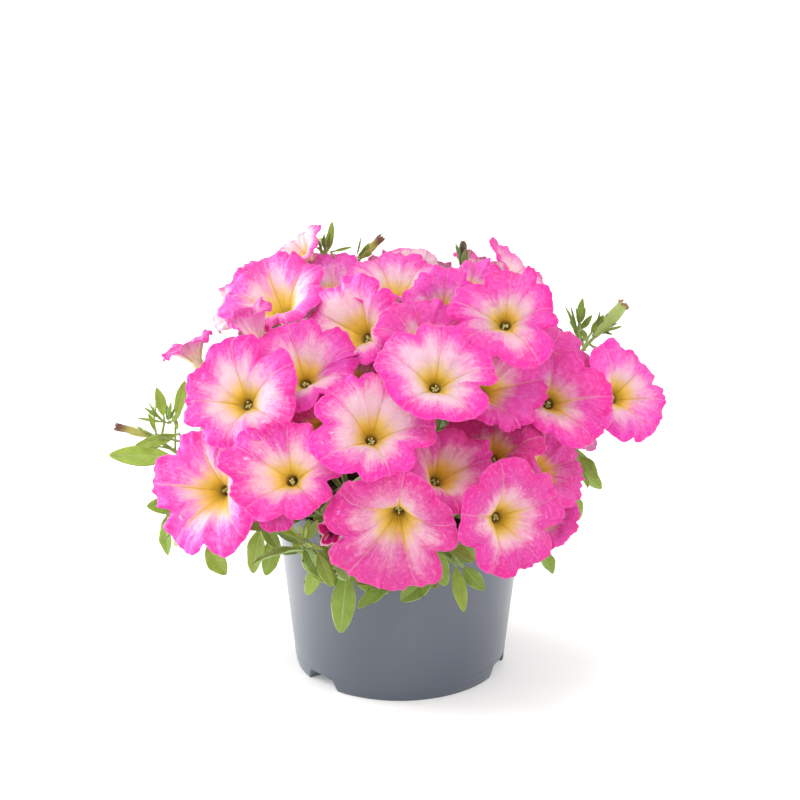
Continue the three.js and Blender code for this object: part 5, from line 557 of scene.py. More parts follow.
# Corollas: throat, turn, radius, depth, tube length, seed, how far each tenth of the margin bends back,
# the shift of each midrib (radians), the length of each lobe, the depth of the cut after it, and how frilled the margin is.
COROLLAS = [
    ((-73.32, -67.56, 166.22), (0.07883, -0.44539, 0.65857, 0.60141), 29.91, 16.55, 24, 1, (1.59, -0.66, -0.54, -1.05, 1.37, -1.18, 2.92, 1.02, 0.43, 6.87), (-0.233, -0.008, 0.208, 0.045, -0.227), (1.028, 0.88, 0.859, 1.155, 1.139), (0.226, 0.134, 0.147, 0.01, 0.28), 1),
    ((-13.56, -102.86, 162.34), (0.26711, -0.16005, 0.60285, 0.73458), 30.29, 16.95, 24, 2, (-0.43, -0.05, -2.35, 1.8, -3.97, -0.9, 0.15, -1.39, -1.2, -0.98), (-0.064, -0.1, 0.047, -0.149, -0.103), (0.894, 0.914, 1.181, 0.988, 0.976), (0.117, 0.219, 0.051, 0.159, 0.129), 1),
    ((-50.84, -108.97, 144.2), (0.1809, -0.35789, 0.66497, 0.63008), 29.66, 10, 24, 3, (1.86, 0.31, 0.05, -2.07, -0.31, -0.4, -0.12, -0.74, -0.08, -0.57), (-0.119, -0.412, -0.42, -0.068, -0.188), (0.889, 1.164, 0.886, 0.8, 0.932), (0.116, 0.08, 0.155, 0.177, 0.13), 1),
    ((-85.95, -59.86, 117.92), (0.09623, -0.59972, 0.5408, 0.5819), 30.93, 17.08, 24, 4, (0.06, 0.55, -1.1, 0.76, -0.46, -1.74, -0.71, 0.66, 0.37, -1.26), (-0.356, -0.196, -0.389, -0.121, -0.028), (0.99, 1.06, 1.022, 1.107, 1.032), (0.188, 0.224, 0.201, 0.065, 0.131), 1),
    ((-57.07, -4.23, 187.9), (-0.03028, -0.23256, 0.70944, 0.66461), 27.89, 15.5, 24, 5, (0.49, -0.36, 2.69, -0.23, 0.28, 2.02, -0.17, -0.42, 0.27, -0.35), (0.092, -0.337, 0.082, -0.077, 0.42), (1.36, 1.182, 0.882, 1, 0.999), (0.01, 0.079, 0.072, 0.117, 0.01), 0.8),
    ((-16.37, -37.64, 189.39), (0.04013, -0.43371, 0.59948, 0.6715), 24.75, 14.18, 20, 6, (-1.7, 1.68, 0.32, -0.65, -2.57, 0.72, 0.6, -1.85, 1.72, -0.51), (-0.42, -0.382, 0.087, 0.11, -0.131), (1.121, 1.24, 1.003, 1.028, 1.016), (0.079, 0.101, 0.117, 0.134, 0.134), 1),
    ((-45.75, -53.92, 171.93), (0.11133, -0.27299, 0.76216, 0.57636), 24.84, 13.92, 20, 7, (1.88, -0.44, 0.26, 1.21, -0.5, 0.12, 0.04, -1.91, 1.12, 0.67), (-0.074, 0.048, -0.028, 0.39, -0.211), (1.205, 1.07, 0.99, 1.053, 1.153), (0.074, 0.115, 0.158, 0.133, 0.149), 1.1),
    ((-20.23, -52.92, 171.2), (0.05992, -0.08004, 0.70321, 0.70392), 15.72, 9.17, 20, 8, (0.11, 1.23, -2.05, -1.15, -2.35, 2.7, 1.92, 2.43, 0.88, 1.08), (0.009, -0.093, -0.022, 0.002, -0.033), (1.011, 0.985, 0.977, 1.016, 1.044), (0.149, 0.107, 0.077, 0.109, 0.137), 1),
    ((-68.93, -37.6, 186.54), (-0.14767, -0.12231, 0.62168, 0.75944), 13.69, 17, 20, 9, (0, -0.32, -1.23, -0.01, -0.42, -0.53, -1.67, -0.54, -0.26, -0.71), (0.006, 0.006, -0.017, -0.051, -0.094), (1.057, 0.795, 0.778, 0.975, 0.977), (0.11, 0.088, 0.083, 0.077, 0.111), 0.8),
    ((-103.07, 13.81, 158.39), (-0.02824, -0.25889, -0.3534, 0.89849), 17.75, 10.23, 20, 10, (1.46, 0.79, -1.7, -0.01, 0.68, -0.79, 0.29, 0.12, 0, -0.19), (0.002, -0.015, 0.108, 0.015, -0.035), (0.778, 0.794, 0.78, 0.8, 0.992), (0.125, 0.113, 0.131, 0.083, 0.14), 1),
    ((-80.8, 25.75, 178.59), (0.26036, -0.46913, -0.21394, 0.81631), 15.72, 9.17, 20, 11, (1.92, -0.31, -0.53, -2.92, -0.01, -0.35, -0.59, 0.35, 0.46, -1.17), (-0.001, -0.036, -0.007, 0.082, 0.023), (1.01, 0.94, 0.953, 0.789, 0.783), (0.113, 0.117, 0.063, 0.07, 0.141), 1),
    ((-46.1, 35.6, 203.2), (-0.21362, -0.3425, 0.65401, 0.63979), 18.25, 10.49, 20, 12, (0.52, -0.75, 0.27, -1.87, 0.83, -1.69, 0.01, -0.13, -0.89, 3.16), (-0.004, -0.057, -0.001, -0.092, 0.082), (0.795, 0.995, 0.995, 0.991, 0.986), (0.061, 0.072, 0.054, 0.091, 0.086), 0.6),
    ((-33.65, 11.81, 190.91), (0.07866, -0.04995, 0.70648, 0.70157), 20.65, 12.07, 20, 13, (-0.79, 0.83, -0.05, 0.5, 1.48, 0.59, 1.49, 0.96, 1.63, -1.16), (0.052, 0.042, 0.004, -0.025, 0.021), (1.36, 0.98, 1.052, 1.02, 0.989), (0.062, 0.086, 0.082, 0.097, 0.101), 0.7),
    ((-1.58, -15.38, 198.77), (0.03315, -0.10019, 0.71435, 0.69178), 25.35, 14.18, 20, 14, (1.68, 0.07, 0.16, -0.16, -2.37, 0.25, 1.6, 0.57, -0.93, 1.11), (0.298, 0.021, 0.009, 0.041, 0.42), (1.249, 1.035, 0.969, 0.979, 0.963), (0.061, 0.101, 0.116, 0.101, 0.116), 0.8),
    ((5.13, 17.62, 195.78), (0.18505, -0.17968, 0.69097, 0.6753), 19.81, 11.55, 20, 15, (-0.41, 0.39, -0.13, -0.45, 0.34, -1.77, -0.78, -1.16, -0.32, -0.52), (-0.014, 0, -0.105, -0.012, 0.018), (0.905, 0.964, 1.026, 1.008, 0.792), (0.026, 0.052, 0.031, 0.045, 0.059), 0.4),
    ((17.22, -5.93, 195.48), (0.06943, -0.0677, 0.62486, 0.77469), 13.86, 8.38, 20, 16, (0.15, -1.65, -0.56, 0.71, -1.8, -0.75, -1.19, 0.97, 0.57, 0.14), (-0.018, 0.098, 0.02, 0.054, 0.077), (0.962, 1.005, 1.013, 1.037, 1.068), (0.147, 0.132, 0.104, 0.101, 0.148), 1),
    ((20.69, -38.52, 202.19), (0.25105, -0.22296, 0.55782, 0.75901), 20.28, 11.55, 20, 17, (0.45, -1.68, 1.86, 3.54, 1.96, 3.41, 0.9, 1, 0.62, -0.31), (0.099, -0.043, 0.025, 0.001, 0.016), (1.009, 0.99, 1, 0.995, 1), (0.135, 0.135, 0.131, 0.088, 0.149), 1),
    ((34.04, -15.41, 203.01), (0.11765, -0.14866, 0.54143, 0.8191), 18.03, 10.49, 20, 18, (0.04, 2.41, -0.08, 0.44, 0.52, 0.71, 1.11, 0.47, -0.45, -0.73), (0.096, 0.056, 0.031, -0.053, 0.075), (0.985, 1.045, 0.987, 1.024, 1.003), (0.122, 0.138, 0.064, 0.075, 0.151), 1),
    ((50.49, -56.81, 202.9), (0.22623, -0.22506, 0.62011, 0.71668), 26.87, 14.97, 24, 19, (0.24, -0.37, -0.64, -0.44, -0.66, -0.27, 1.14, 0.64, 0.28, -1.61), (-0.027, 0.245, -0.084, 0.018, -0.16), (0.913, 0.997, 1.044, 1.24, 0.872), (0.3, 0.141, 0.091, 0.198, 0.101), 1),
    ((49.77, 4.06, 202.14), (0.16069, 0.30138, 0.45685, 0.82136), 24.34, 13.65, 20, 20, (0.97, 0.22, 0.39, -2.58, -1.19, 0.62, 1.03, -1.08, 0.55, 0.45), (0.089, 0.014, -0.004, -0.04, -0.42), (0.952, 0.797, 0.782, 0.942, 0.8), (0.059, 0.086, 0.071, 0.087, 0.092), 0.6),
    ((16.46, -94.54, 185.4), (0.26304, -0.17533, 0.64742, 0.69348), 29.66, 16.42, 24, 21, (0.01, -0.22, 1.18, -1.34, 0.75, -1.75, -0.1, -0.35, 1.2, 0.02), (-0.014, 0.071, 0.055, 0.098, -0.07), (0.902, 1.003, 0.924, 0.987, 0.915), (0.216, 0.01, 0.01, 0.232, 0.214), 1),
    ((11.03, -62.99, 192.35), (0.12998, -0.10938, 0.75427, 0.63421), 24.82, 13.92, 20, 22, (0.58, -1.4, 1.07, -0.09, -2.78, 1.76, 7.03, -1.17, -0.27, 0.17), (0.082, 0.092, 0.052, -0.027, 0.07), (0.961, 0.985, 0.935, 0.999, 0.945), (0.074, 0.15, 0.078, 0.119, 0.156), 1),
    ((38.99, -72.54, 174.13), (0.46613, 0.20698, 0.26401, 0.81864), 25.81, 14.71, 24, 23, (-0.04, -0.64, -0.42, 0.69, 2.18, 0.41, -0.34, -1.29, -0.58, 2.33), (0.006, -0.004, -0.063, -0.206, -0.024), (1.197, 1.059, 1.062, 0.849, 0.847), (0.156, 0.153, 0.105, 0.106, 0.063), 1),
    ((71.68, -58.52, 163.3), (0.34792, -0.24511, 0.69428, 0.58039), 23.58, 14.18, 20, 24, (3.12, -0.08, 3.54, 0.23, 0.19, -1.14, 1.85, 1.1, -1.7, 0.39), (-0.078, 0.05, -0.42, 0.069, -0.386), (1.047, 0.955, 0.8, 1.24, 1.209), (0.144, 0.156, 0.132, 0.093, 0.158), 1),
    ((105.58, -20.71, 151.31), (0.46317, 0.04022, 0.59875, 0.6522), 26.36, 14.71, 24, 25, (0.25, 1.13, -0.92, -0.65, -1.05, -0.24, -0.68, 2.02, -2.26, 0.96), (-0.18, -0.173, 0.42, 0.233, -0.048), (0.8, 1.025, 1.205, 0.966, 0.795), (0.093, 0.036, 0.01, 0.01, 0.069), 0.55),
    ((68.29, -29.32, 171.55), (0.30644, 0.1459, 0.58696, 0.73504), 23.48, 13.92, 20, 26, (0.22, -2.21, 0.82, 0.74, -0.23, 0.4, 0.06, -1.73, -0.88, 0.68), (0.069, -0.112, 0.073, -0.001, -0.055), (1.007, 0.995, 0.954, 1.045, 1.027), (0.12, 0.068, 0.092, 0.068, 0.067), 1),
    ((44.55, -80.5, 143.03), (0.20604, -0.23956, 0.68093, 0.66068), 24.84, 13.92, 20, 27, (1.89, -0.13, 0.92, 1, 0.65, 1.02, 0.32, 0.18, 2.03, 2.87), (-0.055, -0.014, -0.042, -0.055, -0.116), (0.983, 1.05, 1.011, 0.933, 1.03), (0.108, 0.071, 0.119, 0.149, 0.069), 1),
    ((16.85, -102.66, 141.14), (0.3849, -0.04065, 0.65325, 0.65074), 25.86, 14.45, 20, 28, (0.5, 1.91, -0.08, -1.43, 0.63, 2.5, 1.04, 1.31, -1.88, -0.77), (0.367, -0.035, 0.084, -0.205, 0.298), (0.85, 1.035, 1.068, 0.858, 1.012), (0.096, 0.074, 0.146, 0.137, 0.07), 1),
    ((-0.62, -110.96, 129.22), (0.50035, -0.6214, 0.39637, 0.45432), 29.99, 17.08, 24, 29, (-0.44, 0.78, 2.11, -2.36, 0.81, 0.52, 0.85, 0.97, 0.89, -1.09), (-0.226, -0.367, -0.12, -0.385, -0.087), (1.229, 1.11, 1.24, 1.203, 1.049), (0.01, 0.3, 0.053, 0.278, 0.01), 1.05),
    ((45.77, -105.6, 123.79), (0.59656, -0.21095, 0.6235, 0.4592), 29.66, 16.42, 24, 30, (-1.39, 1.68, -1.05, 0.47, -0.11, 0.33, -1.9, 1.74, 0.15, -1.22), (0.42, 0.255, 0.316, 0.14, 0.252), (1.067, 1.098, 0.93, 0.854, 0.93), (0.071, 0.124, 0.15, 0.209, 0.136), 1),
    ((65.52, -69.31, 131.95), (0.40963, 0.28854, 0.37494, 0.77998), 23.93, 13.65, 20, 31, (-0.47, -0.28, 1.08, -0.7, 0.48, -0.84, -0.88, 1.99, -0.9, -0.17), (-0.068, 0.022, -0.02, -0.029, -0.001), (0.959, 0.99, 1.029, 0.979, 0.892), (0.154, 0.083, 0.133, 0.098, 0.074), 1),
    ((70.64, -67.13, 108.06), (0.5907, -0.05151, 0.26564, 0.76017), 18.19, 10.75, 20, 32, (-0.24, 1.3, 1.26, 0.55, 0.4, 0.65, 1.63, 1.74, -0.24, -0.54), (-0.072, 0.001, -0.015, -0.083, -0.062), (0.848, 0.975, 1.016, 1.007, 0.786), (0.141, 0.086, 0.066, 0.085, 0.076), 1),
    ((-37.87, -68.21, 154.06), (-0.03112, -0.41332, 0.82851, 0.37653), 16.42, 9.7, 20, 33, (-0.77, -1.76, -1.69, -0.63, -0.24, 0.28, -0.16, 2.24, -0.11, 0.64), (0.045, 0.1, -0.01, 0.104, -0.124), (0.982, 0.96, 1.003, 0.966, 0.978), (0.129, 0.09, 0.093, 0.073, 0.077), 1),
    ((-57.97, -74.4, 122.58), (0.45235, -0.33695, 0.36477, 0.7408), 18.25, 10.49, 20, 34, (0.27, -0.82, -1.72, -0.51, -0.39, -1.41, 0.32, 1.08, 0.53, 0.5), (0.042, -0.041, -0.004, -0.07, -0.065), (1.028, 1.015, 0.99, 0.995, 0.981), (0.117, 0.093, 0.12, 0.154, 0.078), 1),
    ((72.7, 70.08, 97.21), (-0.49579, -0.09908, -0.77328, 0.38264), 27.72, 16.11, 24, 60, (-0.65, -0.54, 1.31, -1.36, -2.18, 1.45, 0.85, 0.54, 0.23, -0.86), (-0.046, 0.01, 0.014, 0.098, -0.097), (0.976, 0.975, 1.002, 0.974, 0.987), (0.085, 0.078, 0.069, 0.106, 0.114), 1),
    ((41.42, 89.29, 106.46), (-0.43122, 0.46197, -0.16082, 0.75813), 28.28, 15.71, 24, 61, (-0.5, 0.48, 0, 1.17, 0.22, 0.73, -1.14, -1.38, 0.05, -0.84), (-0.049, -0.011, -0.101, 0.045, -0.038), (1.023, 1.03, 0.989, 1.003, 0.99), (0.073, 0.081, 0.096, 0.093, 0.116), 1),
    ((6.08, 94.23, 101.74), (-0.66835, 0.22472, 0.20454, 0.67895), 29.83, 16.51, 24, 62, (-0.01, -0.58, -0.32, 1.24, -1.56, 0.98, -1.68, 0.26, -0.71, 1.75), (-0.053, 0.088, -0.096, -0.009, -0.099), (0.999, 1.015, 0.976, 1.031, 1.063), (0.155, 0.084, 0.123, 0.08, 0.117), 1),
    ((-43.26, 92.27, 91.11), (0.04507, -0.61752, -0.74524, 0.24749), 30.19, 16.7, 24, 63, (-2.35, 1.22, 0.04, -0.69, 0, -1.33, 0.32, -1.82, -1.66, 0.29), (-0.056, -0.053, -0.09, -0.062, 0.079), (0.976, 1, 1.033, 1.06, 0.996), (0.143, 0.087, 0.15, 0.067, 0.119), 1),
    ((-71.67, 61.62, 93.67), (0.25235, -0.50004, -0.69636, 0.44872), 30.57, 16.9, 24, 64, (1.21, -2.18, -1.26, 2.42, -2.08, -0.47, -1.25, -1.14, -2.61, 0.77), (-0.059, 0.046, 0.035, 0.124, 0.138), (1.022, 0.985, 1.02, 0.949, 0.999), (0.131, 0.09, 0.082, 0.149, 0.12), 1),
    ((69.05, 62.62, 134.77), (-0.00124, 0.50368, 0.48439, 0.71532), 31.01, 17.13, 24, 65, (-0.93, -0.59, -0.94, -0.55, 1.12, 0.82, -1.75, 0.1, 0.04, -1.73), (0.057, 0.025, -0.08, -0.05, 0.077), (0.999, 1.04, 1.007, 1.048, 1.002), (0.119, 0.093, 0.11, 0.136, 0.121), 1),
    ((21.08, 84.62, 146.36), (-0.21444, 0.30956, 0.76165, 0.52733), 29.85, 16.52, 24, 66, (1.57, -1.17, -0.61, -1.92, 3.44, 1.93, -2.92, 1.58, -1.03, -0.87), (0.054, 0.004, -0.075, 0.017, 0.016), (1.045, 1.025, 0.924, 1.007, 0.935), (0.107, 0.096, 0.137, 0.124, 0.123), 1),
    ((-37.64, 88.73, 130.4), (-0.3191, 0.35094, 0.7171, 0.51067), 29.32, 16.25, 24, 67, (1.24, 0.16, -1.22, 1.36, -0.17, -0.65, 0.39, 1.34, -0.91, -1.22), (-0.069, -0.017, -0.069, -0.037, 0.074), (1.021, 0.94, 1.051, 0.966, 1.008), (0.094, 0.099, 0.069, 0.111, 0.124), 1),
    ((-64.65, 48.01, 148.61), (-0.36375, 0.01083, 0.66715, 0.64999), 26.85, 14.96, 24, 68, (-0.72, 0.31, -1.67, 0.93, 0.44, 0.2, 0.44, 0.46, 1.56, 1.62), (-0.073, -0.038, 0.056, -0.09, 0.013), (1.068, 0.995, 1.038, 0.994, 1.081), (0.082, 0.102, 0.096, 0.098, 0.126), 1),
    ((41.7, 69.05, 175.22), (-0.25531, -0.04898, -0.71079, 0.6536), 31.51, 17.38, 24, 69, (1.01, -0.66, 1.28, -0.66, -1.76, 0.44, 1.33, 1.16, 0.94, 0.76), (-0.076, -0.059, -0.059, 0.096, 0.072), (0.619, 0.926, 0.997, 0.631, 0.608), (0.07, 0.105, 0.124, 0.085, 0.127), 1),
    ((6.07, 59.31, 176.95), (-0.20165, 0.30593, 0.57152, 0.73424), 28.21, 15.85, 24, 70, (1.3, 0.2, -1.87, -1.5, -0.22, 1.22, -3.3, -0.33, -1.22, 0.3), (0.04, -0.08, 0.067, -0.077, 0.011), (0.951, 1.035, 0.615, 0.606, 1.017), (0.152, 0.108, 0.151, 0.073, 0.128), 1),
    ((-46.25, 73.83, 163.82), (-0.48749, -0.03247, 0.58541, 0.64698), 28.57, 16.36, 24, 71, (-0.47, -1.31, -0.49, 0.54, -0.5, 0.64, 1.3, -1.06, 0.24, -0.95), (0.037, 0.018, 0.072, -0.011, 0.07), (0.997, 0.95, 0.999, 0.941, 1.02), (0.14, 0.112, 0.083, 0.154, 0.13), 1),
]
CALYX_ON = {0: (0, 24), 1: (1, 24), 2: (1, 24), 3: (0, 24), 4: (7, 24), 5: (1, 20), 6: (0, 20), 7: (1, 20), 8: (0, 20), 9: (7, 20), 10: (7, 20), 11: (6, 20), 12: (7, 20), 13: (2, 20), 14: (5, 20), 15: (3, 20), 16: (2, 20), 17: (3, 20), 18: (3, 24), 19: (4, 20), 20: (2, 24), 21: (2, 20), 22: (2, 24), 23: (3, 20), 24: (3, 24), 25: (3, 20), 26: (2, 20), 27: (2, 20), 28: (2, 24), 29: (2, 24), 30: (2, 20), 31: (3, 20), 32: (1, 20), 33: (0, 20), 34: (5, 24), 35: (5, 24), 36: (5, 24), 37: (6, 24), 38: (6, 24), 39: (4, 24), 40: (5, 24), 41: (6, 24), 42: (7, 24), 43: (5, 24), 44: (6, 24), 45: (6, 24)}
# Looks: where the pink starts, how deep it is, the reach of the yellow, warmth of the cream, lilac. Depth and lilac
# also hold painted light and shade: more depth darkens flowers that sit in shade, less depth and more lilac brighten
# dim ones.
LOOKS = [
    (0.37, 0.03, 0.28, 0.1, 0.1),
    (0.4, 0.02, 0.26, 0.1, 0.12),
    (0.32, 0.1, 0.28, 0.4, 0.1),
    (0.38, 0.03, 0.44, 0.1, 0.2),
    (0.34, 0, 0.42, 0.25, 0.15),
    (0.42, 0, 0.42, 0.3, 0.15),
    (0.3, 0, 0.3, 0.15, 0.4),
    (0.25, 0.25, 0.3, 0.2, 0),
    (0.1, 0.4, 0.3, 0, 0.9),
    (0.18, 0.25, 0.3, 0, 0.9),
    (0.8, 0, 0.3, 0.2, 0),
    (0.63, 0, 0.315, 0.3, 0),
    (0.28, 0, 0.3, 0.1, 1),
    (0.36, 0, 0.36, 0.15, 0.1),
    (0.72, 0, 0.3, 0.1, 0.05),
    (0.28, 0.1, 0.28, 0.1, 0),
    (0.2, 0, 0.28, 0.1, 0.5),
    (0.22, 0, 0.28, 0.1, 0.4),
    (0.27, 0, 0.24, 0.1, 0.1),
    (0.34, 0.1, 0.28, 0.1, 0.1),
    (0.4, 0, 0.24, 0, 0.15),
    (0.06, 0.1, 0.2, 0, 0),
    (0.22, 0.2, 0.34, 0.3, 0.05),
    (0.26, 0.2, 0.3, 0.25, 0.15),
    (0.34, 0, 0.34, 0.1, 0.35),
    (0.02, 0.22, 0.3, 0.2, 0.1),
    (0.04, 0.7, 0.28, 0.4, 0),
    (0.22, 0.36, 0.34, 0.4, 0.1),
    (0.27, 0.56, 0.32, 0.15, 0.35),
    (0.3, 0.46, 0.34, 0.2, 0.35),
    (0.04, 0.34, 0.3, 0.2, 0.3),
    (0.15, 0.2, 0.3, 0.1, 0.1),
    (0.08, 0.8, 0.3, 0.4, 0),
    (0.25, 0.15, 0.3, 0.1, 0.1),
    (0.526, 0.095, 0.342, 0.18, 0.008),
    (0.472, 0.14, 0.324, 0.16, 0.016),
    (0.418, 0.185, 0.306, 0.14, 0.024),
    (0.544, 0.08, 0.348, 0.12, 0.032),
    (0.49, 0.125, 0.33, 0.1, 0.04),
    (0.436, 0.17, 0.312, 0.08, 0.048),
    (0.562, 0.065, 0.354, 0.06, 0.056),
    (0.508, 0.11, 0.336, 0.04, 0.064),
    (0.454, 0.155, 0.318, 0.02, 0.072),
    (0.4, 0.05, 0.3, 0, 0),
    (0.526, 0.095, 0.342, 0.18, 0.008),
    (0.472, 0.14, 0.324, 0.16, 0.016),
]
# Buds: foot, turn, length, radius.
BUDS = [
    ((97.22, 2.18, 175.08), (0.22108, 0.32731, 0.7613, 0.51421), 22.64, 3.3),
    ((-125.73, -9.82, 126.55), (0.41687, -0.41649, -0.57104, 0.57156), 17.73, 2),
    ((-19.97, 34.28, 206.04), (0.26331, 0.28732, 0.67895, 0.62221), 15.23, 2),
    ((-28.72, -69.72, 105.73), (0.67044, -0.10048, -0.10896, 0.72701), 16.37, 6.3),
]
TIP_BUD = ((31.58, 20, 207.5), (0.00363, -0.00001, -0.99999, 0.00143), 12.15, 2)
BUD_SHAPE = [(0, 0.34), (0.12, 0.48), (0.35, 0.74), (0.60, 0.98), (0.76, 0.94), (0.88, 0.80), (0.95, 0.84), (1.0, 0.98)]
BUD_TIGHT = [(0, 0.30), (0.12, 0.42), (0.40, 0.62), (0.66, 0.98), (0.82, 1.0), (0.94, 0.72), (1.0, 0.42)]
BUD_SPENT = [(0, 0.50), (0.12, 0.72), (0.30, 0.95), (0.45, 1.0), (0.62, 0.88), (0.80, 0.90), (0.92, 0.98), (1.0, 0.80)]
BUD_OPEN = [(0, 0.28), (0.2, 0.36), (0.45, 0.50), (0.7, 0.74), (0.88, 0.95), (1.0, 1.06)]
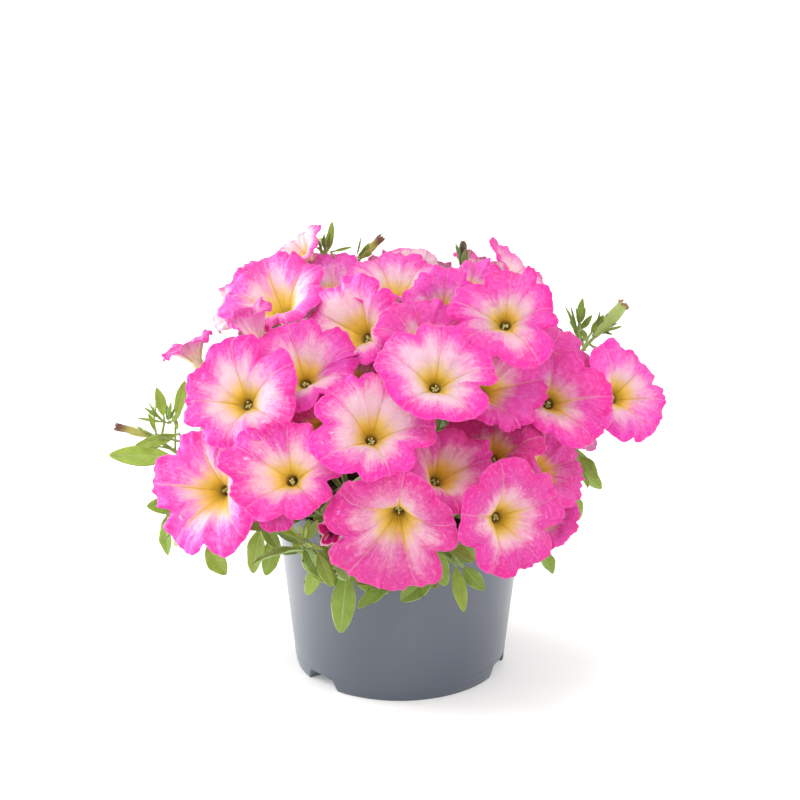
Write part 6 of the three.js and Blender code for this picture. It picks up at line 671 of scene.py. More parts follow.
# Inner leaves: shoot, stalk, foot of the blade, turn, length, width, curl, fold, wave, phase, tint.
FILLERS = [
    (3, (23.13, -13.29, 102.99, 25.29, -14.18, 103.49, 27.14, -14.89, 104.83), (27.45, -15.06, 105.18), (-0.66004, -0.11814, -0.41265, 0.61653), 26.24, 11.07, 0.748, 0.052, 0.804, 0.667, 0.25),
    (7, (-61.03, 25.58, 155.75, -64.15, 24.95, 155.97, -66.8, 24.46, 157.34), (-67.28, 24.33, 157.39), (0.03141, -0.53087, -0.83477, 0.14266), 28.04, 12.96, 0.25, 0.097, 0.885, 0.845, 0.56),
    (3, (35.76, -36.34, 156.01, 35.61, -37.8, 156.9, 35.38, -39, 158.57), (35.46, -39.26, 158.99), (-0.74248, 0.21148, -0.6124, 0.17017), 22.59, 8.22, 0.352, 0.259, 0.855, 0.446, 0.66),
    (0, (-92.29, -25.09, 90.17, -94.27, -25.93, 89.88, -95.86, -26.47, 90.84), (-96.26, -26.76, 90.8), (0.17155, -0.42221, -0.85303, 0.25427), 29.02, 10.62, 0.332, 0.158, 0.945, 0.954, 0.49),
    (4, (33.23, 7.72, 105.72, 34.13, 9.42, 106.01, 34.74, 10.84, 107.21), (35.03, 11.12, 107.51), (0.55925, -0.06292, 0.45942, 0.68718), 28.13, 11.45, 0.593, 0.285, 0.901, 0.702, 0.62),
    (0, (-68.14, -37.04, 110.05, -67.22, -39.26, 108.93, -66.46, -41.03, 109.11), (-66.3, -41.49, 109), (0.30728, -0.09175, -0.57023, 0.75631), 21.53, 8.07, 0.798, 0.218, 0.684, 0.642, 0.57),
    (1, (-34.23, -62.5, 105.52, -33.13, -64.82, 105.87, -32.07, -66.7, 107.19), (-32.03, -67.15, 107.41), (0.29683, -0.52108, -0.43209, 0.67355), 18.29, 7.06, 0.689, 0.162, 0.453, 0.846, 0.51),
    (2, (10, -25.07, 93.86, 12.03, -24.43, 94.93, 13.78, -23.81, 96.79), (14.06, -23.78, 97.2), (0.57452, -0.33556, 0.3291, 0.67009), 17.07, 6.51, 0.263, 0.107, 0.973, 0.628, 0.44),
    (4, (39.48, 24.77, 112.68, 42.16, 24.07, 111.81, 44.36, 23.46, 112.18), (44.85, 23.37, 112.15), (-0.32515, 0.05985, -0.07467, 0.94081), 27.61, 11.5, 0.121, 0.251, 0.79, 0.071, 0.39),
    (1, (-2, -72.31, 91.66, -0.96, -75.4, 92.46, -0.07, -78.05, 94.26), (0.07, -78.49, 94.45), (-0.62459, 0.28169, -0.52369, 0.50626), 18.24, 6.74, 0.728, 0.208, 0.509, 0.407, 0.35),
    (0, (-66.03, -13.64, 117.45, -67.17, -14.24, 119.45, -67.97, -14.76, 122.29), (-68.31, -14.85, 122.65), (-0.21217, -0.64837, -0.64429, 0.34567), 28.42, 13.34, 0.15, 0.153, 0.41, 0.703, 0.6),
    (3, (62.5, -7.53, 121.76, 64.1, -9.05, 121.2, 65.29, -10.32, 121.71), (65.71, -10.56, 121.84), (-0.29734, -0.05257, -0.28365, 0.91015), 24.74, 10.63, 0.212, 0.224, 0.772, 0.785, 0.53),
    (7, (-38.31, 32.55, 190.94, -39.64, 34.16, 190.28, -40.63, 35.42, 190.92), (-40.97, 35.78, 190.81), (-0.10672, 0.00712, 0.91382, 0.39178), 31.01, 13.96, 0.726, 0.302, 0.537, 0.822, 0.44),
    (6, (-32.08, 65.33, 84.12, -34.71, 68.17, 82.76, -37.11, 70.63, 82.82), (-37.34, 71.01, 82.59), (-0.21193, 0.09769, 0.84778, 0.47624), 31.61, 13.4, 0.721, 0.103, 0.393, 0.111, 0.55),
    (7, (-37.47, 9, 100.13, -37.06, 7.86, 101.16, -36.6, 6.94, 102.94), (-36.65, 6.72, 103.38), (-0.13708, -0.58232, -0.45302, 0.66098), 26.88, 10.86, 0.617, 0.208, 0.809, 0.944, 0.51),
    (0, (-41.17, -24.23, 141.06, -42.81, -23.95, 141.2, -44.05, -23.62, 142.26), (-44.45, -23.67, 142.55), (0.3036, -0.31008, 0.89978, 0.04552), 21.49, 9.82, 0.357, 0.097, 0.865, 0.201, 0.42),
    (5, (27.16, 52.87, 99.77, 27.89, 55.04, 101.06, 28.38, 56.91, 103.26), (28.62, 57.22, 103.56), (-0.83337, -0.44064, -0.24489, 0.22662), 28.61, 10.79, 0.602, 0.22, 0.354, 0.377, 0.44),
    (1, (-26.43, -74.45, 92.84, -26.82, -77.69, 93.23, -27.25, -80.43, 94.81), (-27.22, -80.93, 94.82), (0.22713, -0.21836, -0.64969, 0.69183), 30.34, 13.63, 0.103, 0.082, 0.928, 0.584, 0.37),
    (6, (-20.11, 32.61, 178.49, -22.5, 34.46, 178.88, -24.56, 36.05, 180.19), (-24.89, 36.3, 180.47), (0.28804, -0.07225, 0.90578, 0.30229), 19.62, 7.15, 0.392, 0.319, 0.509, 0.541, 0.45),
    (6, (-17.71, 30.22, 108.36, -16.97, 33.03, 110.28, -16.23, 35.56, 112.99), (-16.23, 35.83, 113.4), (-0.13643, -0.64974, 0.27151, 0.69678), 22.82, 8.25, 0.622, 0.151, 0.69, 0.189, 0.57),
    (1, (-29.43, -74.99, 123.48, -30.24, -77.44, 123.27, -30.99, -79.42, 124.1), (-31.05, -79.89, 124.26), (-0.03668, -0.19813, -0.72373, 0.66001), 21.47, 8.05, 0.246, 0.279, 0.821, 0.818, 0.48),
    (7, (-36.23, 34.04, 158.41, -35.69, 37.69, 158.6, -35.21, 40.91, 159.73), (-35.15, 41.33, 159.98), (-0.09301, -0.40594, 0.52556, 0.74186), 26.01, 11.14, 0.407, 0.235, 0.896, 0.743, 0.5),
    (7, (-46.51, 4.46, 161.2, -47.64, 5.67, 161.73, -48.53, 6.6, 163.12), (-48.77, 6.88, 163.46), (0.13039, -0.49435, 0.70554, 0.49074), 18.96, 7.01, 0.644, 0.173, 0.847, 0.283, 0.48),
    (1, (-16.16, -85.3, 138.16, -14.45, -85.3, 138.04, -13.16, -85.19, 138.88), (-12.74, -85.3, 139.12), (0.26885, -0.27496, -0.03898, 0.92228), 30, 13.93, 0.626, 0.126, 0.396, 0.45, 0.66),
    (6, (-34.13, 59.25, 98.45, -32.43, 61.69, 97.03, -30.91, 63.75, 97.08), (-30.73, 64.13, 96.81), (-0.36969, 0.09169, 0.5541, 0.7402), 23.9, 8.84, 0.179, 0.315, 0.789, 0.718, 0.37),
    (1, (-2.85, -59.92, 103.11, -0.59, -62.08, 104.62, 1.41, -63.84, 107.16), (1.66, -64.23, 107.33), (0.56088, -0.43818, -0.2265, 0.66492), 30.06, 11.06, 0.144, 0.152, 0.664, 0.59, 0.3),
    (1, (-19.49, -47.8, 145.72, -20.05, -50.02, 145.47, -20.47, -51.82, 146.19), (-20.61, -52.24, 146.42), (-0.244, -0.0601, -0.79427, 0.55316), 25.02, 9.66, 0.364, 0.219, 0.992, 0.356, 0.58),
    (2, (10.6, -29.32, 102.99, 13.2, -32.13, 101.91, 15.49, -34.54, 101.96), (15.79, -34.93, 102.03), (0.18447, -0.16847, -0.41695, 0.87393), 29.54, 11.91, 0.365, 0.29, 0.585, 0.289, 0.51),
    (7, (-50.51, 33.39, 126.55, -53.16, 33.74, 126.41, -55.38, 33.92, 127.27), (-55.8, 34.09, 127.47), (0.19232, -0.05036, 0.96185, 0.18795), 27.98, 10.4, 0.69, 0.288, 0.497, 0.044, 0.52),
    (6, (-10.98, 77.77, 102.03, -12.58, 80.6, 100.62, -14.08, 82.95, 100.51), (-14.18, 83.43, 100.4), (0.0908, 0.27317, 0.721, 0.63031), 24.3, 10.15, 0.629, 0.304, 0.841, 0.773, 0.62),
    (5, (5.42, 29.51, 121, 4.17, 31.31, 121.59, 3.1, 32.82, 123.01), (2.91, 33.1, 123.38), (0.53331, 0.28416, 0.78113, 0.15708), 24.18, 8.87, 0.78, 0.174, 0.761, 0.231, 0.64),
    (5, (44, 53.88, 94.05, 44.1, 56.49, 91.47, 44.07, 58.79, 90.47), (44.2, 59.1, 90.1), (-0.10736, 0.42277, 0.4405, 0.78467), 23.16, 8.48, 0.67, 0.211, 0.433, 0.642, 0.47),
    (3, (59.95, -7.83, 105.6, 60.99, -9.62, 105.47, 61.68, -11.06, 106.51), (62.04, -11.4, 106.55), (0.67345, -0.30206, -0.22585, 0.63578), 17.88, 8.34, 0.776, 0.058, 0.511, 0.21, 0.46),
    (2, (18.26, -26.92, 160.97, 19.98, -28.55, 162.98, 21.52, -30.08, 165.74), (21.7, -30.19, 166.19), (-0.35398, -0.43988, -0.35445, 0.74536), 24.3, 11.26, 0.199, 0.172, 0.695, 0.822, 0.6),
    (5, (4.79, 30.57, 173.24, 1.48, 30.85, 173.42, -1.38, 31.09, 174.6), (-1.83, 31.13, 174.81), (-0.22342, -0.27565, -0.93448, 0.02917), 20.51, 8.33, 0.628, 0.243, 0.863, 0.231, 0.53),
    (6, (-19.53, 32.03, 118.49, -21.54, 33.06, 118.42, -23.16, 33.89, 119.31), (-23.56, 34.09, 119.54), (0.27666, 0.20414, 0.9251, 0.1612), 27.02, 9.84, 0.175, 0.204, 0.452, 0.94, 0.54),
    (2, (9.54, -54.41, 167.85, 9.05, -57.65, 168.35, 8.6, -60.4, 170.03), (8.56, -60.9, 170.04), (-0.05975, 0.05238, -0.7335, 0.67503), 18.09, 7.43, 0.266, 0.34, 0.925, 0.801, 0.53),
    (0, (-41.82, -25.6, 111.27, -43.88, -26.92, 112.48, -45.56, -27.97, 114.72), (-45.94, -28.25, 114.89), (-0.14263, -0.11286, -0.93209, 0.31326), 18.1, 7.65, 0.528, 0.27, 0.967, 0.605, 0.57),
    (6, (-30.85, 47.4, 112.26, -32.68, 50.15, 113.03, -34.24, 52.5, 114.87), (-34.5, 52.9, 115.01), (0.16559, 0.02545, 0.87206, 0.45984), 23.61, 10.8, 0.151, 0.346, 0.634, 0.836, 0.64),
    (7, (-57.84, 5.92, 148.17, -60.78, 5.66, 148.33, -63.22, 5.41, 149.72), (-63.72, 5.4, 149.69), (0.0263, 0.12597, -0.99162, 0.01119), 27.05, 10, 0.449, 0.203, 0.401, 0.349, 0.56),
    (3, (25.62, -22.44, 128.5, 27.07, -21.38, 129.77, 28.3, -20.38, 131.8), (28.53, -20.32, 132.24), (-0.30033, -0.51347, -0.10925, 0.79637), 21.99, 9.8, 0.686, 0.077, 0.902, 0.967, 0.47),
    (3, (17.69, -0.94, 169.97, 19.97, -1.42, 171.94, 22.03, -1.93, 174.66), (22.25, -1.91, 175.11), (0.36605, -0.46867, 0.25762, 0.76157), 24.3, 11.28, 0.298, 0.223, 0.441, 0.338, 0.6),
    (2, (21.44, -52.92, 159.74, 22.61, -54.73, 158.71, 23.48, -56.12, 158.92), (23.77, -56.53, 158.89), (0.14591, -0.04326, -0.45794, 0.87586), 22.34, 8.19, 0.457, 0.186, 0.801, 0.877, 0.66),
    (7, (-60, 7.56, 122.76, -62.6, 8.9, 123.43, -64.79, 10.13, 125.04), (-65.19, 10.24, 125.31), (0.25164, -0.20559, 0.92977, 0.17303), 29.56, 11.46, 0.378, 0.091, 0.422, 0.675, 0.49),
    (7, (-46.82, 21.94, 115.51, -48.7, 22.64, 115.51, -50.23, 23.08, 116.47), (-50.59, 23.34, 116.71), (0.18818, -0.20809, 0.90043, 0.33242), 17.46, 8.17, 0.65, 0.174, 0.793, 0.704, 0.56),
    (2, (11.16, -65.42, 163.81, 9.29, -67.73, 163.31, 7.6, -69.59, 164.07), (7.41, -70.05, 164), (-0.03199, 0.1735, -0.81113, 0.55762), 25.66, 11.34, 0.369, 0.337, 0.459, 0.785, 0.46),
    (2, (12.57, -66.25, 143.53, 10.86, -67.83, 141.86, 9.48, -69.09, 141.58), (9.15, -69.41, 141.38), (0.05303, 0.3633, -0.83686, 0.40604), 24.36, 10.45, 0.348, 0.062, 0.637, 0.054, 0.5),
    (7, (-76.75, 15.88, 102.59, -77.99, 16.04, 100.73, -78.81, 16.18, 100.33), (-79.23, 16.21, 100.07), (0.27148, 0.20733, -0.93925, 0.03357), 23.8, 10.24, 0.278, 0.119, 0.513, 0.633, 0.41),
    (1, (-44.3, -88.04, 124.17, -44.27, -88.09, 126.69, -44.14, -88.01, 129.94), (-44.24, -88.14, 130.41), (0.52082, -0.5946, 0.4894, 0.36836), 19.52, 7.95, 0.16, 0.202, 0.986, 0.766, 0.5),
    (5, (16.24, 74.14, 100.42, 16.82, 76.17, 100.97, 17.26, 77.75, 102.57), (17.4, 78.2, 102.72), (0.02203, -0.18059, 0.56807, 0.80262), 19.75, 8.33, 0.719, 0.23, 0.46, 0.115, 0.52),
    (3, (74.46, -8.51, 99.32, 75.68, -5.26, 96.87, 76.63, -2.34, 95.88), (76.9, -2.01, 95.62), (0.15621, 0.35686, 0.31682, 0.8648), 20.91, 9.24, 0.273, 0.051, 0.758, 0.086, 0.42),
    (0, (-52.42, -16.32, 144.96, -55.16, -17.35, 145.5, -57.43, -18.38, 147.06), (-57.9, -18.38, 147.24), (0.17699, -0.19412, 0.96426, 0.03456), 18.04, 8.16, 0.33, 0.227, 0.385, 0.612, 0.41),
    (4, (69.96, 2.81, 143.5, 72.46, 3, 142.98, 74.48, 3.19, 143.48), (74.95, 3.2, 143.65), (0.15505, -0.1686, 0.03641, 0.97273), 24.8, 11.4, 0.382, 0.154, 0.795, 0.181, 0.62),
    (1, (-2.47, -22.71, 173.26, -1.76, -24.34, 176.23, -1.13, -25.83, 179.92), (-1.06, -25.96, 180.39), (0.27712, -0.64702, 0.0679, 0.70708), 20.21, 8.61, 0.653, 0.149, 0.948, 0.922, 0.34),
    (6, (-34.66, 63.85, 113.9, -36.58, 63.8, 113.41, -38, 63.72, 114.07), (-38.5, 63.75, 114.12), (0.05201, 0.29995, 0.95222, 0.02458), 28.66, 12.39, 0.377, 0.115, 0.88, 0.231, 0.49),
    (5, (21.09, 63.69, 124.87, 21.59, 66.8, 123.52, 22, 69.43, 123.37), (22.1, 69.92, 123.37), (-0.02148, -0.00927, 0.63767, 0.76995), 31.48, 13.27, 0.405, 0.272, 0.711, 0.414, 0.56),
    (3, (35.39, -20.2, 175.49, 36.17, -22.76, 177.18, 36.85, -24.88, 179.84), (36.94, -25.32, 180.06), (-0.2356, -0.10501, -0.62389, 0.73772), 24.79, 11.33, 0.1, 0.273, 0.902, 0.566, 0.61),
    (3, (65.26, -24.88, 134.79, 64.42, -25.91, 132.81, 63.8, -26.66, 132.39), (63.58, -26.93, 132.03), (0.2007, 0.43106, -0.73097, 0.48948), 17.87, 7.36, 0.577, 0.297, 0.565, 0.299, 0.44),
    (4, (47.47, 47.93, 120, 49.06, 47.32, 122.24, 50.39, 46.66, 125.27), (50.65, 46.7, 125.69), (-0.52722, -0.41098, -0.25688, 0.69795), 17.39, 6.94, 0.579, 0.062, 0.583, 0.325, 0.35),
    (3, (35.79, -11.17, 179.59, 38.48, -9.7, 179.78, 40.85, -8.6, 181.03), (41.17, -8.24, 181.16), (0.32743, 0.00573, 0.42658, 0.84308), 23.51, 9.42, 0.111, 0.211, 0.579, 0.048, 0.52),
    (6, (-16.67, 57.51, 103.45, -16.12, 58.92, 104.54, -15.68, 59.91, 106.59), (-15.57, 60.33, 106.83), (-0.07957, -0.37036, 0.5065, 0.77457), 27.04, 10.08, 0.478, 0.286, 0.81, 0.204, 0.39),
    (1, (-10.09, -22.7, 103.22, -11.31, -25.06, 103.05, -12.3, -26.99, 103.95), (-12.52, -27.42, 104.08), (-0.30382, 0.26191, -0.80754, 0.4324), 28.31, 11.22, 0.705, 0.31, 0.641, 0.664, 0.37),
    (3, (28.13, -27.95, 138.5, 27.9, -30.27, 138.43, 27.65, -32.17, 139.31), (27.67, -32.6, 139.56), (-0.51563, 0.17851, -0.66444, 0.51066), 21.5, 9.31, 0.468, 0.065, 0.633, 0.982, 0.46),
    (1, (-13.92, -37.08, 133.45, -12.61, -40.38, 134.52, -11.35, -43.28, 136.5), (-11.3, -43.68, 136.79), (0.16908, -0.51181, -0.44309, 0.71634), 18.86, 8.02, 0.791, 0.092, 0.544, 0.654, 0.51),
    (0, (-95.69, -32.86, 88.27, -98.77, -31.64, 86.01, -101.42, -30.58, 85.17), (-101.84, -30.42, 84.95), (-0.28064, -0.34099, 0.8938, 0.07796), 22.75, 9.22, 0.767, 0.249, 0.454, 0.479, 0.5),
    (4, (34.69, 8.15, 148.5, 36.35, 5.44, 148.95, 37.78, 3.1, 150.37), (38.01, 2.72, 150.6), (-0.30447, -0.1029, -0.50702, 0.79978), 23.85, 8.98, 0.383, 0.07, 0.375, 0.397, 0.6),
    (5, (40.74, 53.53, 97.67, 40.68, 56.96, 96.06, 40.55, 59.95, 95.85), (40.63, 60.4, 95.65), (-0.22097, 0.08623, 0.64202, 0.72907), 24.76, 10.56, 0.724, 0.187, 0.997, 0.397, 0.19),
    (0, (-59.33, -39.48, 162.45, -61.72, -40.38, 159.95, -63.72, -41.12, 158.92), (-64.12, -41.28, 158.66), (0.2327, 0.19294, -0.92746, 0.22009), 27.18, 10.86, 0.543, 0.324, 0.967, 0.422, 0.56),
    (2, (18.06, -54.7, 148.35, 21.29, -54.1, 148.85, 24.14, -53.61, 150.24), (24.52, -53.49, 150.54), (0.64878, -0.14752, 0.30759, 0.68023), 24.1, 9.55, 0.126, 0.162, 0.888, 0.628, 0.36),
    (0, (-47.59, -13.23, 115.52, -48.07, -14.67, 116.5, -48.33, -15.83, 118.32), (-48.54, -16.11, 118.67), (-0.07324, -0.57249, -0.62368, 0.52718), 25.84, 11.41, 0.655, 0.264, 0.368, 0.148, 0.44),
    (2, (10.55, -64.91, 98.46, 11.5, -67.58, 100.27, 12.35, -69.8, 103.1), (12.45, -70.25, 103.28), (0.10435, -0.31538, -0.54487, 0.76991), 23.77, 9.85, 0.627, 0.293, 0.337, 0.974, 0.43),
    (4, (94.35, 2.61, 171.66, 96.5, 1.79, 170.13, 98.18, 1.13, 169.87), (98.65, 0.98, 169.8), (-0.07063, 0.09141, -0.14943, 0.982), 27, 10.18, 0.294, 0.125, 0.434, 0.147, 0.4),
    (2, (29.26, -81.27, 117.81, 26.99, -84.37, 116.71, 24.9, -87.01, 116.9), (24.72, -87.47, 116.8), (-0.09964, 0.32256, -0.75974, 0.55572), 28.24, 12.17, 0.387, 0.268, 0.715, 0.979, 0.58),
    (1, (-2.37, -66.58, 99.99, -3.49, -68.54, 99.78, -4.43, -70.04, 100.83), (-4.61, -70.5, 100.77), (-0.32666, 0.55695, -0.60559, 0.46514), 20.91, 8.47, 0.298, 0.138, 0.662, 0.835, 0.34),
    (7, (-50.62, 31.85, 173.87, -53.34, 30.85, 175.84, -55.7, 29.99, 178.69), (-56.06, 29.86, 179.01), (-0.29774, -0.23164, -0.89958, 0.22012), 18.14, 6.9, 0.371, 0.276, 0.376, 0.445, 0.41),
    (0, (-26.49, -11.96, 97.43, -28.21, -12.74, 96.92, -29.5, -13.31, 97.45), (-29.93, -13.52, 97.6), (0.2492, -0.92756, 0.26502, 0.08546), 24.37, 10.58, 0.582, 0.065, 0.362, 0.287, 0.2),
    (2, (20.06, -69.67, 126.19, 23.1, -70.37, 124.54, 25.75, -70.83, 124.3), (26.14, -71.06, 124.09), (0.04791, 0.20517, -0.25371, 0.94406), 20.79, 8.04, 0.237, 0.233, 0.979, 0.864, 0.32),
    (3, (21.31, -15, 143.15, 22.81, -11.89, 142.92, 24.16, -9.22, 143.7), (24.31, -8.78, 143.89), (0.27906, -0.03576, 0.5969, 0.75137), 19.19, 7.22, 0.652, 0.095, 0.518, 0.031, 0.47),
    (5, (38.75, 53.3, 98.6, 42.1, 54.96, 98.69, 44.97, 56.49, 100), (45.45, 56.63, 99.99), (0.18051, 0.03245, 0.13904, 0.97315), 17.94, 7.63, 0.478, 0.331, 0.545, 0.288, 0.42),
    (2, (32.12, -63.15, 126.77, 32.59, -64.56, 127.26, 32.88, -65.59, 128.67), (33.07, -65.96, 128.94), (-0.80137, 0.3566, -0.4332, 0.20729), 19.13, 8.86, 0.764, 0.194, 0.387, 0.23, 0.4),
    (4, (32.61, 16.35, 176, 32.66, 18.84, 176.84, 32.72, 21, 178.51), (32.72, 21.33, 178.89), (0.25976, -0.32619, 0.63209, 0.65313), 31.24, 12.73, 0.709, 0.11, 0.817, 0.946, 0.37),
    (2, (11.85, -40.13, 115.99, 14.56, -41.19, 115.41, 16.86, -42, 115.94), (17.28, -42.25, 116.04), (0.04727, -0.11492, -0.25401, 0.95919), 20.91, 7.98, 0.662, 0.339, 0.529, 0.018, 0.56),
    (7, (-57.99, 31.58, 167.56, -58.86, 29.45, 168.72, -59.59, 27.57, 170.67), (-59.74, 27.31, 171.07), (-0.345, -0.2989, -0.74572, 0.48533), 24.75, 10.55, 0.536, 0.276, 0.691, 0.039, 0.58),
    (1, (-9.63, -22.5, 143.5, -11.22, -23.05, 144.23, -12.56, -23.5, 145.73), (-12.81, -23.59, 146.16), (0.49896, -0.19665, 0.844, 0.0055), 23.66, 8.99, 0.376, 0.074, 0.784, 0.849, 0.43),
    (7, (-72.46, 7.51, 130.87, -74.02, 5.06, 130.81, -75.2, 2.91, 131.81), (-75.58, 2.61, 131.96), (0.0017, -0.40941, -0.84098, 0.35374), 25.29, 11.5, 0.349, 0.254, 0.635, 0.806, 0.44),
    (3, (72.48, -6.83, 127.61, 74.96, -8.93, 129.05, 77.03, -10.89, 131.44), (77.43, -11.03, 131.7), (-0.14974, -0.25309, -0.1894, 0.93683), 22.92, 8.3, 0.424, 0.348, 0.899, 0.809, 0.58),
    (7, (-39.36, 32.69, 143.47, -41.35, 34.82, 144.16, -43.07, 36.63, 145.79), (-43.34, 36.95, 146.06), (0.13539, -0.3384, 0.81083, 0.45794), 27.65, 10.34, 0.499, 0.167, 0.422, 0.939, 0.44),
    (2, (45.48, -64.94, 122.22, 46.54, -65.53, 120.31, 47.19, -65.94, 119.84), (47.59, -66.12, 119.6), (0.54589, 0.09277, -0.30799, 0.77365), 17.49, 7, 0.76, 0.3, 0.574, 0.836, 0.64),
    (0, (-35.18, -19.3, 131, -38.46, -17.65, 130.02, -41.29, -16.22, 130.26), (-41.74, -16.01, 130.23), (-0.05799, -0.15623, 0.96286, 0.21245), 21.68, 8.26, 0.579, 0.29, 0.955, 0.12, 0.55),
    (1, (-32.56, -64.66, 97.34, -30.2, -67.1, 98.34, -28.14, -69.18, 100.37), (-27.84, -69.54, 100.55), (0.3917, -0.35182, -0.28, 0.80275), 26.11, 10.02, 0.74, 0.25, 0.375, 0.994, 0.34),
    (1, (-31.28, -57.5, 102.48, -32.16, -57.95, 103.92, -32.82, -58.15, 106.17), (-33.04, -58.39, 106.55), (0.25615, -0.84875, -0.04917, 0.45999), 20.09, 8.7, 0.686, 0.31, 0.694, 0.659, 0.43),
    (3, (35.88, -27.31, 169.76, 38.52, -28.03, 168.76, 40.74, -28.52, 169.14), (41.16, -28.74, 168.96), (0.07584, 0.15918, -0.2451, 0.95333), 25.21, 11.3, 0.178, 0.27, 0.643, 0.179, 0.67),
    (4, (26.16, 9.16, 93.86, 25.5, 8.17, 97.05, 24.79, 7.27, 100.95), (24.83, 7.19, 101.44), (-0.66255, -0.18879, -0.64879, 0.3232), 27.28, 12.4, 0.21, 0.283, 0.42, 0.158, 0.26),
    (7, (-91.49, 7.73, 135.91, -93.27, 10.95, 134.13, -94.73, 13.81, 133.62), (-95.06, 14.17, 133.55), (-0.18261, -0.24791, 0.87804, 0.36639), 21.3, 7.96, 0.713, 0.273, 0.743, 0.692, 0.42),
    (3, (77.6, -32.51, 130.81, 79.7, -32.71, 132.09, 81.37, -32.77, 134.34), (81.8, -32.92, 134.56), (-0.88356, 0.05109, -0.26717, 0.38123), 23.57, 10.9, 0.418, 0.139, 0.641, 0.377, 0.62),
    (4, (84.16, 2.53, 158.63, 85.86, 1.35, 157.41, 87.12, 0.42, 157.42), (87.56, 0.18, 157.4), (-0.02979, 0.03348, -0.24878, 0.96752), 21.19, 8.45, 0.789, 0.293, 0.312, 0.778, 0.62),
    (3, (66.52, -39.17, 146.72, 67.81, -40.09, 145.27, 68.75, -40.7, 145.19), (69.1, -41.01, 145.01), (-0.23005, 0.27171, -0.26896, 0.89494), 23.37, 10.49, 0.255, 0.27, 0.481, 0.379, 0.51),
    (0, (-95, -7.5, 104.77, -97.48, -8.42, 103.62, -99.48, -9.22, 103.61), (-99.96, -9.34, 103.66), (-0.01849, -0.25419, -0.95891, 0.12465), 18.95, 7.76, 0.121, 0.113, 0.772, 0.766, 0.69),
    (2, (11.12, -74.58, 94.28, 12.03, -77.85, 93.94, 12.86, -80.63, 94.91), (12.94, -81.12, 94.8), (-0.03165, 0.17238, -0.6252, 0.76054), 26.89, 9.83, 0.15, 0.073, 0.895, 0.644, 0.39),
    (2, (16.52, -30.78, 133.49, 16.41, -28.82, 133.73, 16.3, -27.23, 134.83), (16.31, -26.86, 135.16), (0.36369, -0.1381, 0.68773, 0.61294), 21.45, 8.41, 0.242, 0.229, 0.911, 0.999, 0.65),
    (6, (-33.63, 55.55, 113.27, -35.39, 56.34, 111.65, -36.8, 56.8, 111.38), (-37.15, 57.12, 111.22), (-0.08804, 0.22189, 0.89518, 0.3764), 23.73, 8.79, 0.198, 0.059, 0.829, 0.924, 0.52),
    (3, (51.75, -38.71, 179.01, 53.14, -42.14, 178.52, 54.29, -45.15, 179.08), (54.53, -45.57, 179.23), (-0.39566, 0.06426, -0.5117, 0.75992), 17.46, 8.07, 0.768, 0.283, 0.784, 0.115, 0.38),
    (1, (-38.77, -70.02, 110.86, -42.03, -70.36, 109.54, -44.8, -70.54, 109.43), (-45.28, -70.7, 109.42), (-0.03916, 0.30051, -0.94056, 0.15332), 31.54, 11.6, 0.243, 0.337, 0.75, 0.418, 0.56),
    (7, (-44.03, 32.11, 181.1, -45.31, 34.18, 180.59, -46.27, 35.88, 181.36), (-46.58, 36.25, 181.27), (-0.02555, 0.13815, 0.89264, 0.42832), 17.21, 6.54, 0.225, 0.087, 0.926, 0.415, 0.37),
    (0, (-61.94, -8.75, 148.62, -62.23, -7.86, 150.63, -62.3, -7.15, 153.43), (-62.51, -6.96, 153.84), (0.24237, -0.53114, 0.65258, 0.48299), 26.23, 10.45, 0.148, 0.164, 0.301, 0.241, 0.45),
    (1, (-40.63, -75.09, 94.9, -43.38, -75.68, 93.8, -45.66, -76.11, 93.84), (-46.13, -76.27, 93.91), (-0.05418, -0.10259, -0.9786, 0.16995), 28.57, 10.77, 0.555, 0.314, 0.599, 0.696, 0.6),
    (2, (13.54, -76.79, 161.4, 15.35, -75.25, 162.88, 16.9, -73.84, 165.15), (17.15, -73.7, 165.55), (0.39683, -0.34597, 0.35221, 0.77381), 31.67, 14.74, 0.477, 0.196, 0.709, 0.656, 0.46),
    (0, (-87.5, -7.5, 102.19, -88.21, -9.39, 102.24, -88.63, -10.9, 103.32), (-88.92, -11.27, 103.48), (-0.002, -0.34558, -0.82256, 0.45163), 20.39, 7.87, 0.746, 0.331, 0.36, 0.996, 0.58),
    (7, (-40.67, 32.22, 186.01, -43.05, 32.36, 186.28, -44.95, 32.47, 187.65), (-45.44, 32.5, 187.74), (0.0948, 0.19463, 0.97628, 0.00422), 31.38, 12.69, 0.388, 0.089, 0.578, 0.59, 0.63),
    (5, (17.02, 58.31, 110.28, 17.07, 60.1, 109.92, 17.07, 61.44, 110.56), (17.12, 61.89, 110.76), (0.32828, 0.02586, 0.67132, 0.664), 23.41, 9.36, 0.577, 0.234, 0.592, 0.982, 0.6),
    (2, (22.21, -22.14, 182.05, 24.94, -22.56, 183.15, 27.35, -22.94, 185.06), (27.66, -22.97, 185.45), (0.06639, -0.43108, -0.00476, 0.89986), 18.74, 8.74, 0.662, 0.224, 0.925, 0.138, 0.42),
    (3, (87.36, -4.03, 134.28, 89.53, -3.15, 134.89, 91.26, -2.35, 136.46), (91.7, -2.26, 136.7), (0.35229, -0.19666, 0.17096, 0.89888), 29.44, 12.02, 0.207, 0.279, 0.301, 0.042, 0.59),
    (4, (31.61, 20, 203.5, 29.2, 20.13, 202, 27.19, 20.25, 202), (26.78, 20.26, 201.71), (-0.27739, 0.3578, 0.8836, 0.11951), 20.34, 8.95, 0.577, 0.2, 0.844, 0.604, 0.62),
    (0, (-97.61, -43.68, 86.32, -99.58, -44.2, 87.2, -101.16, -44.63, 88.98), (-101.55, -44.72, 89.28), (0.24257, -0.81545, 0.47593, 0.22293), 18.54, 7.05, 0.187, 0.305, 0.848, 0.373, 0.39),
